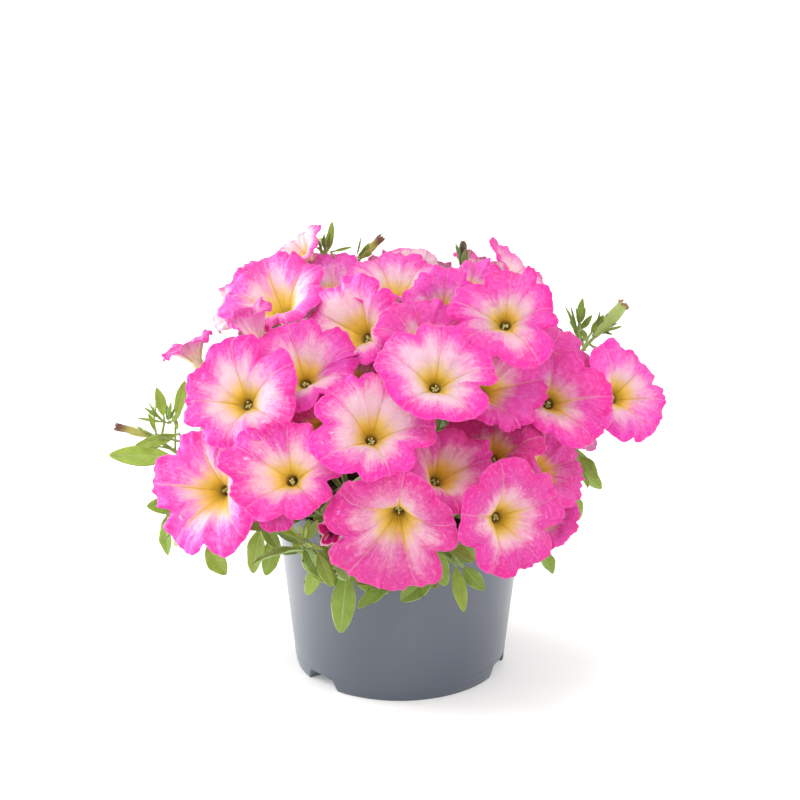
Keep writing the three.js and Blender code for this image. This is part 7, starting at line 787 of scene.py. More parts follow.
    (3, (41.58, -37.61, 166.1, 42.37, -39.45, 166.31, 42.92, -40.97, 167.41), (43.16, -41.29, 167.71), (-0.24816, -0.22659, -0.45021, 0.82728), 20.9, 8.47, 0.65, 0.202, 0.357, 0.996, 0.57),
    (3, (32.34, -33.78, 148.5, 35.21, -35.26, 148.7, 37.73, -36.5, 149.84), (38.09, -36.73, 150.1), (-0.17865, -0.23085, -0.29932, 0.9084), 25.29, 9.46, 0.671, 0.124, 0.494, 0.024, 0.32),
    (7, (-60.02, 15.12, 107.29, -61.28, 13.72, 106.49, -62.11, 12.56, 106.97), (-62.54, 12.32, 106.9), (0.18884, -0.47161, -0.84269, 0.17834), 21.47, 9.25, 0.675, 0.259, 0.532, 0.876, 0.56),
    (1, (-43.28, -80.12, 118.27, -43.27, -79.62, 120.36, -43.24, -79.07, 123.15), (-43.25, -79.11, 123.65), (0.2695, -0.67876, 0.21189, 0.64943), 23.53, 9.09, 0.19, 0.069, 0.738, 0.724, 0.51),
    (5, (14.9, 59.89, 99.22, 14.86, 61.66, 99.82, 14.81, 62.99, 101.39), (14.83, 63.44, 101.61), (0.29918, -0.01907, 0.68641, 0.66254), 25.06, 9.26, 0.501, 0.319, 0.372, 0.16, 0.46),
    (3, (37.06, -6.21, 178.88, 38.27, -8.6, 179.66, 39.27, -10.59, 181.42), (39.47, -10.99, 181.64), (-0.23203, -0.12557, -0.53374, 0.80344), 18.84, 6.93, 0.598, 0.175, 0.777, 0.793, 0.44),
    (5, (32.05, 52.89, 99.88, 32.89, 54.32, 100.57, 33.42, 55.46, 102.21), (33.74, 55.75, 102.45), (-0.90499, -0.34284, -0.24266, 0.06767), 28.07, 11.76, 0.559, 0.098, 1, 0.714, 0.46),
    (0, (-122.79, -8.36, 124.31, -123.1, -4.97, 125.25, -123.28, -1.98, 127.14), (-123.41, -1.57, 127.39), (-0.16766, -0.58573, 0.53541, 0.58493), 20.25, 8.59, 0.686, 0.335, 0.638, 0.986, 0.5),
    (0, (-49.88, -31.13, 111, -53.59, -31.35, 111.54, -56.82, -31.46, 113.21), (-57.3, -31.57, 113.28), (-0.08902, 0.17079, -0.97628, 0.09895), 26.93, 9.92, 0.26, 0.142, 0.512, 0.975, 0.49),
    (0, (-60, -7.84, 98.04, -61.99, -7.08, 100.02, -63.58, -6.41, 102.91), (-63.97, -6.33, 103.2), (0.22631, -0.48171, 0.81575, 0.22649), 18.23, 6.86, 0.682, 0.198, 0.431, 0.975, 0.21),
    (7, (-36.7, 33.14, 195.87, -38.33, 30.52, 196.02, -39.69, 28.32, 197.26), (-39.95, 27.9, 197.37), (-0.02239, -0.17566, -0.8535, 0.49008), 18.33, 7.01, 0.672, 0.167, 0.367, 0.98, 0.64),
    (3, (87.54, -38.52, 129.32, 87.19, -38.32, 126.63, 86.9, -38.15, 125.63), (86.84, -38.11, 125.14), (0.00058, 0.74794, 0.04975, 0.6619), 29.62, 11.17, 0.399, 0.264, 0.841, 0.316, 0.39),
    (1, (-19.99, -37.47, 92.54, -18.16, -36.5, 94.01, -16.67, -35.76, 96.4), (-16.33, -35.52, 96.68), (0.08779, -0.28346, 0.27978, 0.91305), 23.89, 9.79, 0.522, 0.346, 0.411, 0.821, 0.32),
    (6, (-21.73, 34.5, 202.26, -20.41, 36.18, 200.97, -19.36, 37.53, 201.14), (-19.1, 37.87, 200.88), (-0.22463, 0.18269, 0.44915, 0.84524), 25.08, 10.04, 0.647, 0.279, 0.524, 0.004, 0.57),
    (2, (10.28, -59.97, 98.07, 11.48, -61.37, 99.22, 12.52, -62.38, 101.29), (12.67, -62.77, 101.58), (0.79134, -0.52989, 0.27094, 0.13998), 26.14, 9.49, 0.553, 0.224, 0.395, 0.38, 0.37),
    (7, (-36.87, 35, 200.72, -36.63, 38.54, 199.19, -36.39, 41.58, 198.91), (-36.39, 42.08, 198.86), (-0.02175, 0.05046, 0.70181, 0.71024), 18, 7.77, 0.412, 0.1, 0.755, 0.153, 0.49),
    (7, (-40.83, 39.46, 209.72, -40.4, 41.25, 209.1, -40.01, 42.54, 209.64), (-39.97, 43.03, 209.68), (-0.11409, -0.15807, 0.65491, 0.73013), 23.27, 10.05, 0.463, 0.151, 0.659, 0.034, 0.69),
    (7, (-41.81, 37.44, 204.14, -43.37, 40.79, 202.82, -44.74, 43.68, 202.67), (-44.93, 44.14, 202.69), (-0.01392, -0.0517, 0.82702, 0.55961), 27.81, 11.3, 0.531, 0.299, 0.771, 0.268, 0.68),
    (1, (-23.1, -42.49, 95.29, -21.42, -45.49, 96.12, -19.81, -48.04, 97.94), (-19.74, -48.48, 98.15), (0.68548, -0.6601, 0.02023, 0.30654), 17.1, 7.67, 0.165, 0.194, 0.397, 0.87, 0.4),
    (7, (-36.46, 33.76, 198.32, -34.51, 37.14, 196.84, -32.81, 40.08, 196.63), (-32.57, 40.52, 196.56), (-0.20409, -0.03853, 0.50861, 0.83557), 19.78, 7.53, 0.147, 0.29, 0.384, 0.165, 0.66),
    (5, (11.2, 37.56, 89.05, 10.88, 37.3, 92.39, 10.57, 36.95, 96.44), (10.55, 37.03, 96.93), (-0.47205, -0.59966, -0.39965, 0.5078), 18.56, 7.75, 0.432, 0.223, 0.805, 0.125, 0.24),
    (1, (-42.2, -87.25, 121.72, -43.29, -89.54, 121.47, -44.24, -91.38, 122.23), (-44.39, -91.82, 122.41), (-0.10378, -0.16653, -0.78632, 0.58583), 19.98, 9, 0.285, 0.105, 0.459, 0.742, 0.7),
    (1, (-41.6, -76.66, 97.49, -40.76, -79.1, 95.52, -40.1, -81.21, 95.07), (-39.92, -81.54, 94.75), (0.34625, 0.18006, -0.53231, 0.75122), 18.21, 7.45, 0.478, 0.141, 0.449, 0.872, 0.67),
    (1, (-50.2, -61.69, 93.77, -48.23, -64.76, 92.41, -46.41, -67.38, 92.41), (-46.27, -67.83, 92.24), (0.39194, -0.0877, -0.59004, 0.70039), 20.74, 9.47, 0.316, 0.29, 0.834, 0.971, 0.37),
    (0, (-116.53, -12.72, 134.75, -118.78, -12.26, 135.91, -120.81, -11.78, 136.86), (-121.03, -11.8, 137.07), (0.35911, -0.40592, 0.83111, 0.12457), 8.94, 1.81, 0.25, 0.25, 0.09, 0.46, 0.6),
    (0, (-116.53, -12.72, 134.75, -118.28, -12.26, 135.91, -119.84, -11.85, 136.84), (-120.03, -11.8, 137.07), (0.20153, -0.68035, 0.59085, 0.38394), 9.88, 1.61, 0.25, 0.25, 0.08, 0.2, 0.5),
    (0, (-116.53, -12.72, 134.75, -117.03, -12.67, 134.86, -117.26, -12.53, 134.89), (-117.53, -12.63, 134.98), (-0.21165, 0.55511, -0.803, 0.04753), 14.46, 1.71, 0.25, 0.25, 0.085, 0.05, 0.65),
    (0, (-116.53, -12.72, 134.75, -118.03, -12.44, 135.44, -119.39, -12.05, 135.91), (-119.53, -12.17, 136.14), (-0.51498, 0.37416, -0.77116, 0.01032), 8.61, 1.51, 0.25, 0.25, 0.075, 0.57, 0.4),
    (0, (-116.53, -12.72, 134.75, -116.08, -12.56, 135.14, -115.65, -12.37, 135.24), (-115.63, -12.41, 135.54), (0.43858, -0.58977, 0.32416, 0.5956), 10.59, 2.51, 0.25, 0.25, 0.126, 0.456, 0.35),
    (0, (-116.53, -12.72, 134.75, -116.53, -12.56, 135.14, -116.54, -12.49, 135.25), (-116.53, -12.41, 135.54), (0.59031, -0.23679, 0.64403, 0.42508), 8.47, 2.31, 0.25, 0.25, 0.116, 0.79, 0.3),
    (0, (-116.53, -12.72, 134.75, -115.53, -12.67, 134.86, -114.69, -12.5, 134.76), (-114.53, -12.63, 134.98), (0.52139, -0.47847, 0.06929, 0.70315), 9.13, 3.02, 0.25, 0.25, 0.151, 0.27, 0.7),
    (0, (-116.53, -12.72, 134.75, -114.4, -12.35, 135.68, -112.33, -11.76, 136.8), (-112.28, -11.98, 136.61), (0.40538, 0.10079, -0.62614, 0.65838), 5.79, 2.51, 0.25, 0.25, 0.126, 0.935, 0.7),
    (0, (-116.53, -12.72, 134.75, -117.53, -12.53, 135.21, -118.43, -12.15, 135.47), (-118.53, -12.35, 135.68), (0.58386, -0.5862, 0.56134, 0.01908), 8.81, 1.31, 0.25, 0.25, 0.065, 0.31, 0.5),
    (0, (-116.53, -12.72, 134.75, -115.78, -12.44, 135.44, -115.13, -12.31, 135.9), (-115.03, -12.17, 136.14), (0.44681, -0.24997, 0.51478, 0.68766), 7.21, 1.51, 0.25, 0.25, 0.075, 0.9, 0.5),
    (4, (91.03, 11.33, 171.15, 90.15, 12.07, 173.02, 89.37, 12.83, 174.61), (89.27, 12.81, 174.9), (0.36888, -0.66377, 0.46168, 0.45847), 13.23, 1.41, 0.25, 0.25, 0.07, 0.675, 0.3),
    (4, (91.03, 11.33, 171.15, 90.03, 11.88, 172.56, 89.15, 12.37, 173.7), (89.02, 12.44, 173.96), (0.40007, -0.39653, 0.74358, 0.36027), 9.63, 1.41, 0.25, 0.25, 0.07, 0.49, 0.35),
    (4, (91.03, 11.33, 171.15, 90.98, 12.71, 174.66, 90.88, 14.23, 177.91), (90.93, 14.1, 178.17), (0.6809, -0.52802, 0.35541, 0.36229), 10.59, 2.11, 0.25, 0.25, 0.106, 0.896, 0.5),
    (4, (91.03, 11.33, 171.15, 90.28, 11.79, 172.32, 89.67, 12.37, 173.25), (89.53, 12.25, 173.49), (0.47668, -0.62158, 0.59403, 0.18316), 9.29, 1.61, 0.25, 0.25, 0.08, 0.86, 0.55),
    (4, (91.03, 11.33, 171.15, 91.29, 11.1, 170.57, 91.71, 10.82, 169.74), (91.54, 10.87, 169.98), (0.32454, -0.47891, 0.74561, 0.33073), 7.47, 2.71, 0.25, 0.25, 0.136, 0.34, 0.7),
    (4, (91.03, 11.33, 171.15, 92.54, 11.05, 170.45, 94.15, 10.59, 169.54), (94.05, 10.78, 169.75), (0.18741, -0.40592, 0.71102, 0.54273), 6.95, 3.02, 0.25, 0.25, 0.151, 0.19, 0.6),
    (4, (91.03, 11.33, 171.15, 90.78, 12.44, 173.96, 90.59, 13.64, 176.49), (90.53, 13.54, 176.77), (0.52791, -0.60792, 0.4825, 0.34488), 11.43, 1.51, 0.25, 0.25, 0.075, 0.6, 0.3),
    (4, (91.03, 11.33, 171.15, 91.03, 12.25, 173.49, 90.95, 13.37, 175.62), (91.03, 13.17, 175.83), (0.6091, -0.60145, 0.06523, 0.51284), 9.93, 1.61, 0.25, 0.25, 0.08, 0.97, 0.35),
    (4, (96.27, 7.02, 173.82, 97.44, 7.71, 175.57, 98.59, 8.5, 177.04), (98.62, 8.39, 177.32), (0.57235, -0.58072, 0.335, 0.47219), 10.6, 1.41, 0.25, 0.25, 0.07, 0.779, 0.3),
    (4, (96.27, 7.02, 173.82, 98.65, 7.98, 176.27, 100.96, 9.11, 178.48), (101.03, 8.95, 178.72), (0.65299, -0.57649, 0.22732, 0.43541), 9.61, 1.71, 0.25, 0.25, 0.085, 0.555, 0.35),
    (4, (96.27, 7.02, 173.82, 99.02, 7.43, 174.87, 101.61, 8.09, 175.9), (101.78, 7.84, 175.92), (0.45957, -0.27747, -0.36403, 0.76111), 7.14, 1.41, 0.25, 0.25, 0.07, 0.11, 0.4),
    (4, (96.27, 7.02, 173.82, 99.65, 7.75, 175.69, 102.9, 8.71, 177.41), (103.03, 8.49, 177.56), (0.55681, -0.50492, -0.13773, 0.64502), 9.99, 1.61, 0.25, 0.25, 0.08, 0.035, 0.9),
    (4, (96.27, 7.02, 173.82, 97.77, 7.48, 174.99, 99.23, 8.11, 175.92), (99.27, 7.94, 176.16), (0.51143, -0.65321, 0.06698, 0.55433), 10.31, 2.01, 0.25, 0.25, 0.101, 0.26, 0.3),
    (4, (96.27, 7.02, 173.82, 98.02, 7.29, 174.52, 99.54, 7.71, 175.12), (99.78, 7.57, 175.22), (0.63006, -0.31277, -0.06672, 0.70763), 6.24, 2.01, 0.25, 0.25, 0.101, 0.63, 0.6),
    (7, (-37.75, 38.18, 206.57, -38.49, 38.56, 207.52, -39.1, 38.96, 208.19), (-39.22, 38.93, 208.46), (0.49288, -0.44354, 0.71455, 0.22308), 9.04, 1.51, 0.25, 0.25, 0.075, 0.362, 0.1),
    (7, (-37.75, 38.18, 206.57, -38.76, 38.6, 207.63, -39.59, 39.21, 208.56), (-39.78, 39.02, 208.7), (-0.42563, 0.57576, -0.68886, 0.11318), 4.41, 1.11, 0.25, 0.25, 0.055, 0.955, 0.1),
    (7, (-37.75, 38.18, 206.57, -38.13, 38.74, 207.99, -38.51, 39.37, 209.11), (-38.51, 39.3, 209.4), (0.47556, -0.62763, 0.33427, 0.51788), 8.21, 1.71, 0.25, 0.25, 0.085, 0.88, 0.15),
    (7, (-37.75, 38.18, 206.57, -37.5, 38.69, 207.87, -37.31, 39.33, 208.9), (-37.24, 39.21, 209.17), (0.65985, -0.52254, 0.34666, 0.41397), 9.88, 1.41, 0.25, 0.25, 0.07, 0.805, 0.2),
    (7, (-37.75, 38.18, 206.57, -36.99, 38.56, 207.52, -36.3, 39.04, 208.19), (-36.23, 38.93, 208.46), (0.50978, -0.59148, 0.18497, 0.5967), 8.46, 1.61, 0.25, 0.25, 0.08, 0.545, 0.4),
    (7, (-37.75, 38.18, 206.57, -37.75, 38.56, 207.52, -37.69, 39.08, 208.21), (-37.75, 38.93, 208.46), (0.59131, -0.61913, 0.46011, 0.23524), 8.56, 1.81, 0.25, 0.25, 0.09, 0.435, 0.1),
    (6, (-20.48, 34.09, 205.57, -21.24, 34.32, 206.16, -22.08, 34.57, 206.46), (-22, 34.56, 206.75), (0.68551, -0.33247, 0.50345, 0.40753), 10.19, 1.31, 0.25, 0.25, 0.065, 0.905, 0.45),
    (6, (-20.48, 34.09, 205.57, -20.23, 34.28, 206.04, -20.1, 34.57, 206.26), (-19.97, 34.46, 206.51), (0.61209, -0.49141, 0.20935, 0.58313), 9.36, 2.61, 0.25, 0.25, 0.131, 0.385, 0.55),
    (6, (-20.48, 34.09, 205.57, -20.98, 34.23, 205.92, -21.63, 34.55, 206.08), (-21.49, 34.37, 206.28), (0.72521, -0.50262, 0.14327, 0.44823), 9.65, 1.91, 0.25, 0.25, 0.095, 0.275, 0.45),
    (6, (-20.48, 34.09, 205.57, -19.21, 34.19, 205.81, -18.16, 34.42, 205.88), (-17.95, 34.28, 206.04), (0.59919, -0.38778, 0.00193, 0.70042), 5.69, 1.31, 0.25, 0.25, 0.065, 0.865, 0.4),
    (1, (-46.56, -84.29, 101.85, -46.56, -84.24, 101.96, -46.39, -84.07, 101.86), (-46.56, -84.2, 102.07), (-0.4684, 0.4336, -0.76974, 0.00977), 7.12, 2.81, 0.25, 0.25, 0.141, 0.332, 0.95),
    (1, (-46.56, -84.29, 101.85, -46.7, -84.15, 102.19, -46.8, -83.91, 102.25), (-46.85, -84.02, 102.52), (0.57356, -0.58353, 0.48246, 0.31267), 10.34, 2.01, 0.25, 0.25, 0.101, 0.11, 0.95),
    (1, (-46.56, -84.29, 101.85, -45.98, -84.33, 101.74, -45.62, -84.18, 101.65), (-45.4, -84.37, 101.62), (0.44727, -0.12301, -0.3327, 0.82105), 10.68, 2.11, 0.25, 0.25, 0.106, 0.22, 1),
    (1, (-46.56, -84.29, 101.85, -46.34, -84.37, 101.62, -46.24, -84.19, 101.36), (-46.12, -84.46, 101.4), (0.47691, -0.37412, -0.39889, 0.6881), 8.44, 2.11, 0.25, 0.25, 0.106, 0.665, 1),
    (1, (-46.56, -84.29, 101.85, -46.7, -84.42, 101.51, -46.71, -84.29, 101.11), (-46.85, -84.55, 101.18), (-0.34244, 0.39888, -0.75619, 0.38961), 6.17, 1.81, 0.25, 0.25, 0.09, 0.11, 0.95),
    (1, (-46.56, -84.29, 101.85, -46.22, -84.06, 102.41, -45.91, -83.65, 102.74), (-45.88, -83.84, 102.97), (0.64882, -0.62578, 0.26364, 0.3434), 11.25, 1.71, 0.25, 0.25, 0.085, 0.85, 0.9),
    (1, (-37.98, -76.38, 87.4, -38.47, -76.38, 87.4, -38.85, -76.36, 87.68), (-38.96, -76.38, 87.4), (0.41313, 0.53065, -0.62792, 0.39172), 19.58, 8.04, 0.25, 0.25, 0.402, 0.4, 0.9),
    (1, (-26.78, -78.16, 82.87, -25.56, -78.61, 81.74, -24.61, -79.09, 80.75), (-24.35, -79.06, 80.61), (0.546, 0.23561, -0.08135, 0.79984), 22.23, 7.54, 0.25, 0.25, 0.377, 0.5, 0.75),
    (2, (25.4, -69.47, 91.77, 25.64, -69.3, 92.22, 26.07, -69.1, 92.92), (25.89, -69.12, 92.68), (0.37241, 0.47158, -0.75621, 0.25897), 16.08, 9.05, 0.25, 0.25, 0.452, 0.61, 0.3),
    (2, (27.35, -69.47, 91.77, 27.6, -69.38, 91.99, 27.63, -69.37, 92.42), (27.84, -69.3, 92.22), (0.50951, 0.36769, -0.07607, 0.77422), 13.83, 9.05, 0.25, 0.25, 0.452, 0.09, 0.35),
    (2, (25.4, -69.47, 91.77, 24.91, -69.12, 92.68, 24.3, -68.82, 93.85), (24.42, -68.76, 93.59), (0.57576, 0.46812, -0.27766, 0.61014), 16.28, 6.53, 0.25, 0.25, 0.327, 0.5, 0.3),
    (1, (-42.95, -66.07, 104.13, -42.7, -65.94, 104.47, -42.7, -65.89, 104.66), (-42.46, -65.8, 104.81), (0.51708, -0.14295, 0.28049, 0.79594), 14.21, 8.54, 0.25, 0.25, 0.427, 0.81, 0.12),
]

# ---- materials ------------------------------------------------------------------------------
class E:
    """An output of a shader node, with arithmetic."""

    def __init__(s, t, o):
        s.t, s.o = t, o

    def __add__(s, x): return s.t.m("ADD", s, x)
    def __radd__(s, x): return s.t.m("ADD", x, s)
    def __sub__(s, x): return s.t.m("SUBTRACT", s, x)
    def __rsub__(s, x): return s.t.m("SUBTRACT", x, s)
    def __mul__(s, x): return s.t.m("MULTIPLY", s, x)
    def __rmul__(s, x): return s.t.m("MULTIPLY", x, s)
    def __truediv__(s, x): return s.t.m("DIVIDE", s, x)
    def __neg__(s): return s.t.m("MULTIPLY", s, -1.0)
    def __pow__(s, x): return s.t.m("POWER", s, x)


class Mat:
    def __init__(s, name):
        s.mat = bpy.data.materials.new(name)
        s.mat.use_nodes = True
        s.tree = s.mat.node_tree
        s.tree.nodes.clear()
        s.out = s.tree.nodes.new("ShaderNodeOutputMaterial")

    def put(s, sock, x):
        if isinstance(x, E):
            s.tree.links.new(x.o, sock)
        elif isinstance(x, tuple) and len(x) == 4 and len(sock.default_value) == 3:
            sock.default_value = x[:3]
        else:
            sock.default_value = x

    def node(s, kind, **props):
        n = s.tree.nodes.new(kind)
        for k, v in props.items():
            setattr(n, k, v)
        return n

    def m(s, op, a, b=None, c=None, clamp=False):
        n = s.node("ShaderNodeMath", operation=op, use_clamp=clamp)
        for i, x in enumerate((a, b, c)):
            if x is not None:
                s.put(n.inputs[i], x)
        return E(s, n.outputs[0])

    def clamp(s, a): return s.m("ADD", a, 0.0, clamp=True)
    def abs(s, a): return s.m("ABSOLUTE", a)
    def fract(s, a): return s.m("FRACT", a)
    def sin(s, a): return s.m("SINE", a)
    def cos(s, a): return s.m("COSINE", a)
    def gauss(s, a, w): return s.m("EXPONENT", -((a / w) * (a / w)))

    def ramp(s, x, lo, hi, smooth=True):
        n = s.node("ShaderNodeMapRange", interpolation_type="SMOOTHSTEP" if smooth else "LINEAR", clamp=True)
        s.put(n.inputs["Value"], x)
        s.put(n.inputs["From Min"], lo)
        s.put(n.inputs["From Max"], hi)
        return E(s, n.outputs["Result"])

    def mix(s, f, a, b):
        n = s.node("ShaderNodeMix", data_type="RGBA", clamp_factor=True)
        s.put(n.inputs[0], f)
        s.put(n.inputs[6], a)
        s.put(n.inputs[7], b)
        return E(s, n.outputs[2])

    def vec(s, x, y, z):
        n = s.node("ShaderNodeCombineXYZ")
        for i, v in enumerate((x, y, z)):
            s.put(n.inputs[i], v)
        return E(s, n.outputs[0])

    def split(s, v):
        n = s.node("ShaderNodeSeparateXYZ")
        s.put(n.inputs[0], v)
        return E(s, n.outputs[0]), E(s, n.outputs[1]), E(s, n.outputs[2])

    def uv(s):
        n = s.node("ShaderNodeUVMap", uv_map="part")
        return s.split(E(s, n.outputs[0]))[:2]

    def attr(s, name):
        n = s.node("ShaderNodeAttribute", attribute_name=name)
        return n

    def noise(s, v, scale=1.0, detail=2.0, rough=0.5, distortion=0.0):
        n = s.node("ShaderNodeTexNoise")
        s.put(n.inputs["Vector"], v)
        n.inputs["Scale"].default_value = scale
        n.inputs["Detail"].default_value = detail
        n.inputs["Roughness"].default_value = rough
        n.inputs["Distortion"].default_value = distortion
        return E(s, n.outputs[0])

    def chance(s, v):
        n = s.node("ShaderNodeTexWhiteNoise", noise_dimensions="3D")
        s.put(n.inputs["Vector"], v)
        return E(s, n.outputs["Value"])

    def place(s):
        n = s.node("ShaderNodeTexCoord")
        return E(s, n.outputs["Object"])

    def bump(s, h, strength, dist=0.0005):
        n = s.node("ShaderNodeBump")
        n.inputs["Strength"].default_value = strength
        n.inputs["Distance"].default_value = dist
        s.put(n.inputs["Height"], h)
        return E(s, n.outputs[0])

    def surface(s, colour, rough=0.5, normal=None, through=0.0, through_colour=None, spec=0.5, sheen=0.0, sss=0.0, coat=0.0, coat_rough=0.1, glow=0.0):
        p = s.node("ShaderNodeBsdfPrincipled")
        s.put(p.inputs["Base Color"], colour)
        s.put(p.inputs["Roughness"], rough)
        p.inputs["Specular IOR Level"].default_value = spec
        p.inputs["Sheen Weight"].default_value = sheen
        p.inputs["Coat Weight"].default_value = coat
        p.inputs["Coat Roughness"].default_value = coat_rough
        if glow:
            p.inputs["Emission Color"].default_value = (1, 1, 1, 1)
            p.inputs["Emission Strength"].default_value = glow
        if sss:
            p.inputs["Subsurface Weight"].default_value = sss
            p.inputs["Subsurface Scale"].default_value = 0.002
        if normal is not None:
            s.put(p.inputs["Normal"], normal)
        res = p.outputs[0]
        if through:
            t = s.node("ShaderNodeBsdfTranslucent")
            s.put(t.inputs["Color"], through_colour if through_colour is not None else colour)
            if normal is not None:
                s.put(t.inputs["Normal"], normal)
            mx = s.node("ShaderNodeMixShader")
            mx.inputs[0].default_value = through
            s.tree.links.new(res, mx.inputs[1])
            s.tree.links.new(t.outputs[0], mx.inputs[2])
            res = mx.outputs[0]
        s.tree.links.new(res, s.out.inputs[0])
        return s.mat


def petal(name, face):
    """face: the inner side of a corolla; otherwise its outside. The part UV holds (turn, s)."""
    g = Mat(name)
    u, s_ = g.uv()
    look = g.attr("look")
    white, deep_and_shade, seed = g.split(E(g, look.outputs["Vector"]))
    look2 = g.attr("look2")
    yellow, warm, lilac_and_light = g.split(E(g, look2.outputs["Vector"]))
    th = u * (2 * math.pi)
    c, sn = g.cos(th), g.sin(th)
    x = g.fract(u * 5.0 + 0.5) * 2.0 - 1.0
    ax = g.abs(x)
    t = g.m("MAXIMUM", s_, 0.0)
    seedz = seed * 37.0
    # each panel between two midribs, and each half of it, has a shade of its own
    pv = g.chance(g.vec(g.m("FLOOR", u * 5.0), seedz, 1.0)) - 0.5
    hv = g.chance(g.vec(g.m("FLOOR", u * 10.0), seedz, 2.0)) - 0.5
    open_ = 1.0 - g.gauss(x, 0.12)
    shut = g.ramp(ax, 1.0, 0.8)
    blot = g.noise(g.vec(c * t * 2.1, sn * t * 2.1, seedz), 1.0, 2.0, 0.5) - 0.5
    streak = g.noise(g.vec(c * 8.0, sn * 8.0, t * 1.2 + seedz), 1.0, 3.0, 0.6) - 0.5
    fine = g.noise(g.vec(c * 30.0, sn * 30.0, t * 2.2 + seedz), 1.0, 3.0, 0.65) - 0.5
    hair = g.noise(g.vec(c * 85.0, sn * 85.0, t * 5.0 + seedz), 1.0, 2.0, 0.6) - 0.5
    mott = g.noise(g.vec(c * t * 15.0, sn * t * 15.0, seedz + 5.0), 1.0, 4.0, 0.65) - 0.5
    wrink = g.noise(g.vec(c * t * 6.5, sn * t * 6.5, seedz + 9.0), 1.0, 3.0, 0.6, 0.8) - 0.5
    line = g.gauss(x, 0.022)
    w = t + pv * open_ * 0.30 + hv * open_ * shut * 0.16 + blot * 0.66 + streak * 0.26 + fine * 0.32 + hair * 0.30 + mott * 0.24
    pinkness = g.ramp(w, white - 0.10, white + 0.40)
    rich = g.ramp(w + mott * 0.2, white + 0.16, white + 0.50)
    margin = g.ramp(t + mott * 0.12 + fine * 0.14 + pv * 0.08, 0.74, 1.02)
    # fine veins, branching outwards
    wob = (g.noise(g.vec(c * 5.0, sn * 5.0, t * 3.0 + seedz), 1.0, 2.0) - 0.5) * 0.16
    v1 = g.abs(g.sin((u + wob * 0.10) * (2 * math.pi * 31.0)))
    v2 = g.abs(g.sin((u + wob * 0.16) * (2 * math.pi * 67.0)))
    vein = g.ramp(v1, 0.34, 0.0) * 0.55 + g.ramp(v2, 0.38, 0.0) * g.ramp(t, 0.40, 0.65) * 0.6
    vein = g.clamp(vein) * g.ramp(fine, -0.22, 0.12)
    height = vein * -0.5 + fine * 1.1 + hair * 0.7 + mott * 1.5 + wrink * 2.4 - line * 0.8
    if face:
        cream = g.mix(g.ramp(t + pv * 0.1, 0.08, 0.36), srgb(252, 232, 168), srgb(252, 222, 234))
        cream = g.mix(warm, cream, srgb(248, 200, 176))
        cream = g.mix(vein * 0.40, cream, srgb(234, 168, 176))
        cream = g.mix(g.clamp(mott * 1.3), cream, srgb(246, 206, 214))
        # Painted light: the lilac value turns the pink a brighter lilac, partly the flower's own hue, partly lifting
        # flowers that sit in shade.
        pink = g.mix(g.clamp(blot * 2.0 + pv * 0.5 + 0.40 + lilac_and_light), srgb(252, 92, 192), srgb(247, 112, 218))
        hot = g.mix(g.clamp(blot * 2.0 + 0.45 + lilac_and_light), srgb(250, 32, 160), srgb(249, 52, 192))
        pink = g.mix(g.clamp(rich * 0.55 + margin * 0.55), pink, hot)
        # Painted shade: the depth value darkens the pink towards crimson, partly the flower's own deeper tint, partly
        # shade painted onto flowers that sit in shade.
        pink = g.mix(deep_and_shade, pink, srgb(206, 22, 112))
        pink = g.mix(vein * 0.48 * g.ramp(t, 1.0, 0.85), pink, srgb(224, 22, 138))
        # Darker and lighter mottling of the pink: partly the petal's own uneven tone, partly painted shade and
        # highlight of its puckers.
        pink = g.mix(g.clamp(mott * 1.7), pink, srgb(226, 26, 140))
        pink = g.mix(g.clamp(-mott * 1.8), pink, srgb(252, 150, 214))
        col = g.mix(pinkness, cream, pink)
        # light line along each midrib; near the centre it turns tan
        col = g.mix(line * g.ramp(t, 0.30, 0.60) * (0.36 - g.ramp(t, 0.75, 1.0) * 0.24), col, srgb(253, 206, 222))
        star = g.gauss(x, 0.20)
        yel = 1.0 - g.ramp(t * (1.0 - star * 0.45) + fine * 0.20 + streak * 0.14 + pv * 0.06, yellow * 0.14, yellow * 0.92)
        col = g.mix(yel * 0.92, col, srgb(254, 216, 52))
        crease = g.gauss(x, 0.040) * (1.0 - g.ramp(t, 0.25, 0.80)) * g.ramp(t, 0.02, 0.10)
        col = g.mix(crease * 0.50, col, srgb(224, 168, 36))
        rays = g.ramp(v1, 0.36, 0.0) * (1.0 - g.ramp(t, 0.14, 0.36)) * g.ramp(t, 0.03, 0.10)
        col = g.mix(rays * 0.34, col, srgb(228, 152, 40))
        thr = 1.0 - g.ramp(s_ - star * 0.05 + fine * 0.10, -0.02, 0.13)
        col = g.mix(thr * 0.88, col, srgb(212, 172, 34))
        # Dark olive inside the tube: partly the throat's own colour, partly painted shade deep in the narrow tube.
        deepthr = 1.0 - g.ramp(s_, -0.16, 0.02)
        col = g.mix(deepthr * 0.8, col, srgb(150, 128, 34))
        edge = g.ramp(t + mott * 0.02, 0.972, 1.0)
        col = g.mix(edge * 0.30, col, srgb(250, 120, 196))
        return g.surface(col, 0.55, g.bump(height, 0.58, 0.00072), through=0.22, spec=0.35, sheen=0.15)
    base = g.mix(g.ramp(t, 0.02, 0.40), srgb(252, 238, 200), srgb(254, 222, 232))
    base = g.mix(vein * 0.34, base, srgb(240, 166, 196))
    pink = g.mix(g.clamp(blot * 1.5 + 0.5), srgb(250, 150, 208), srgb(252, 184, 224))
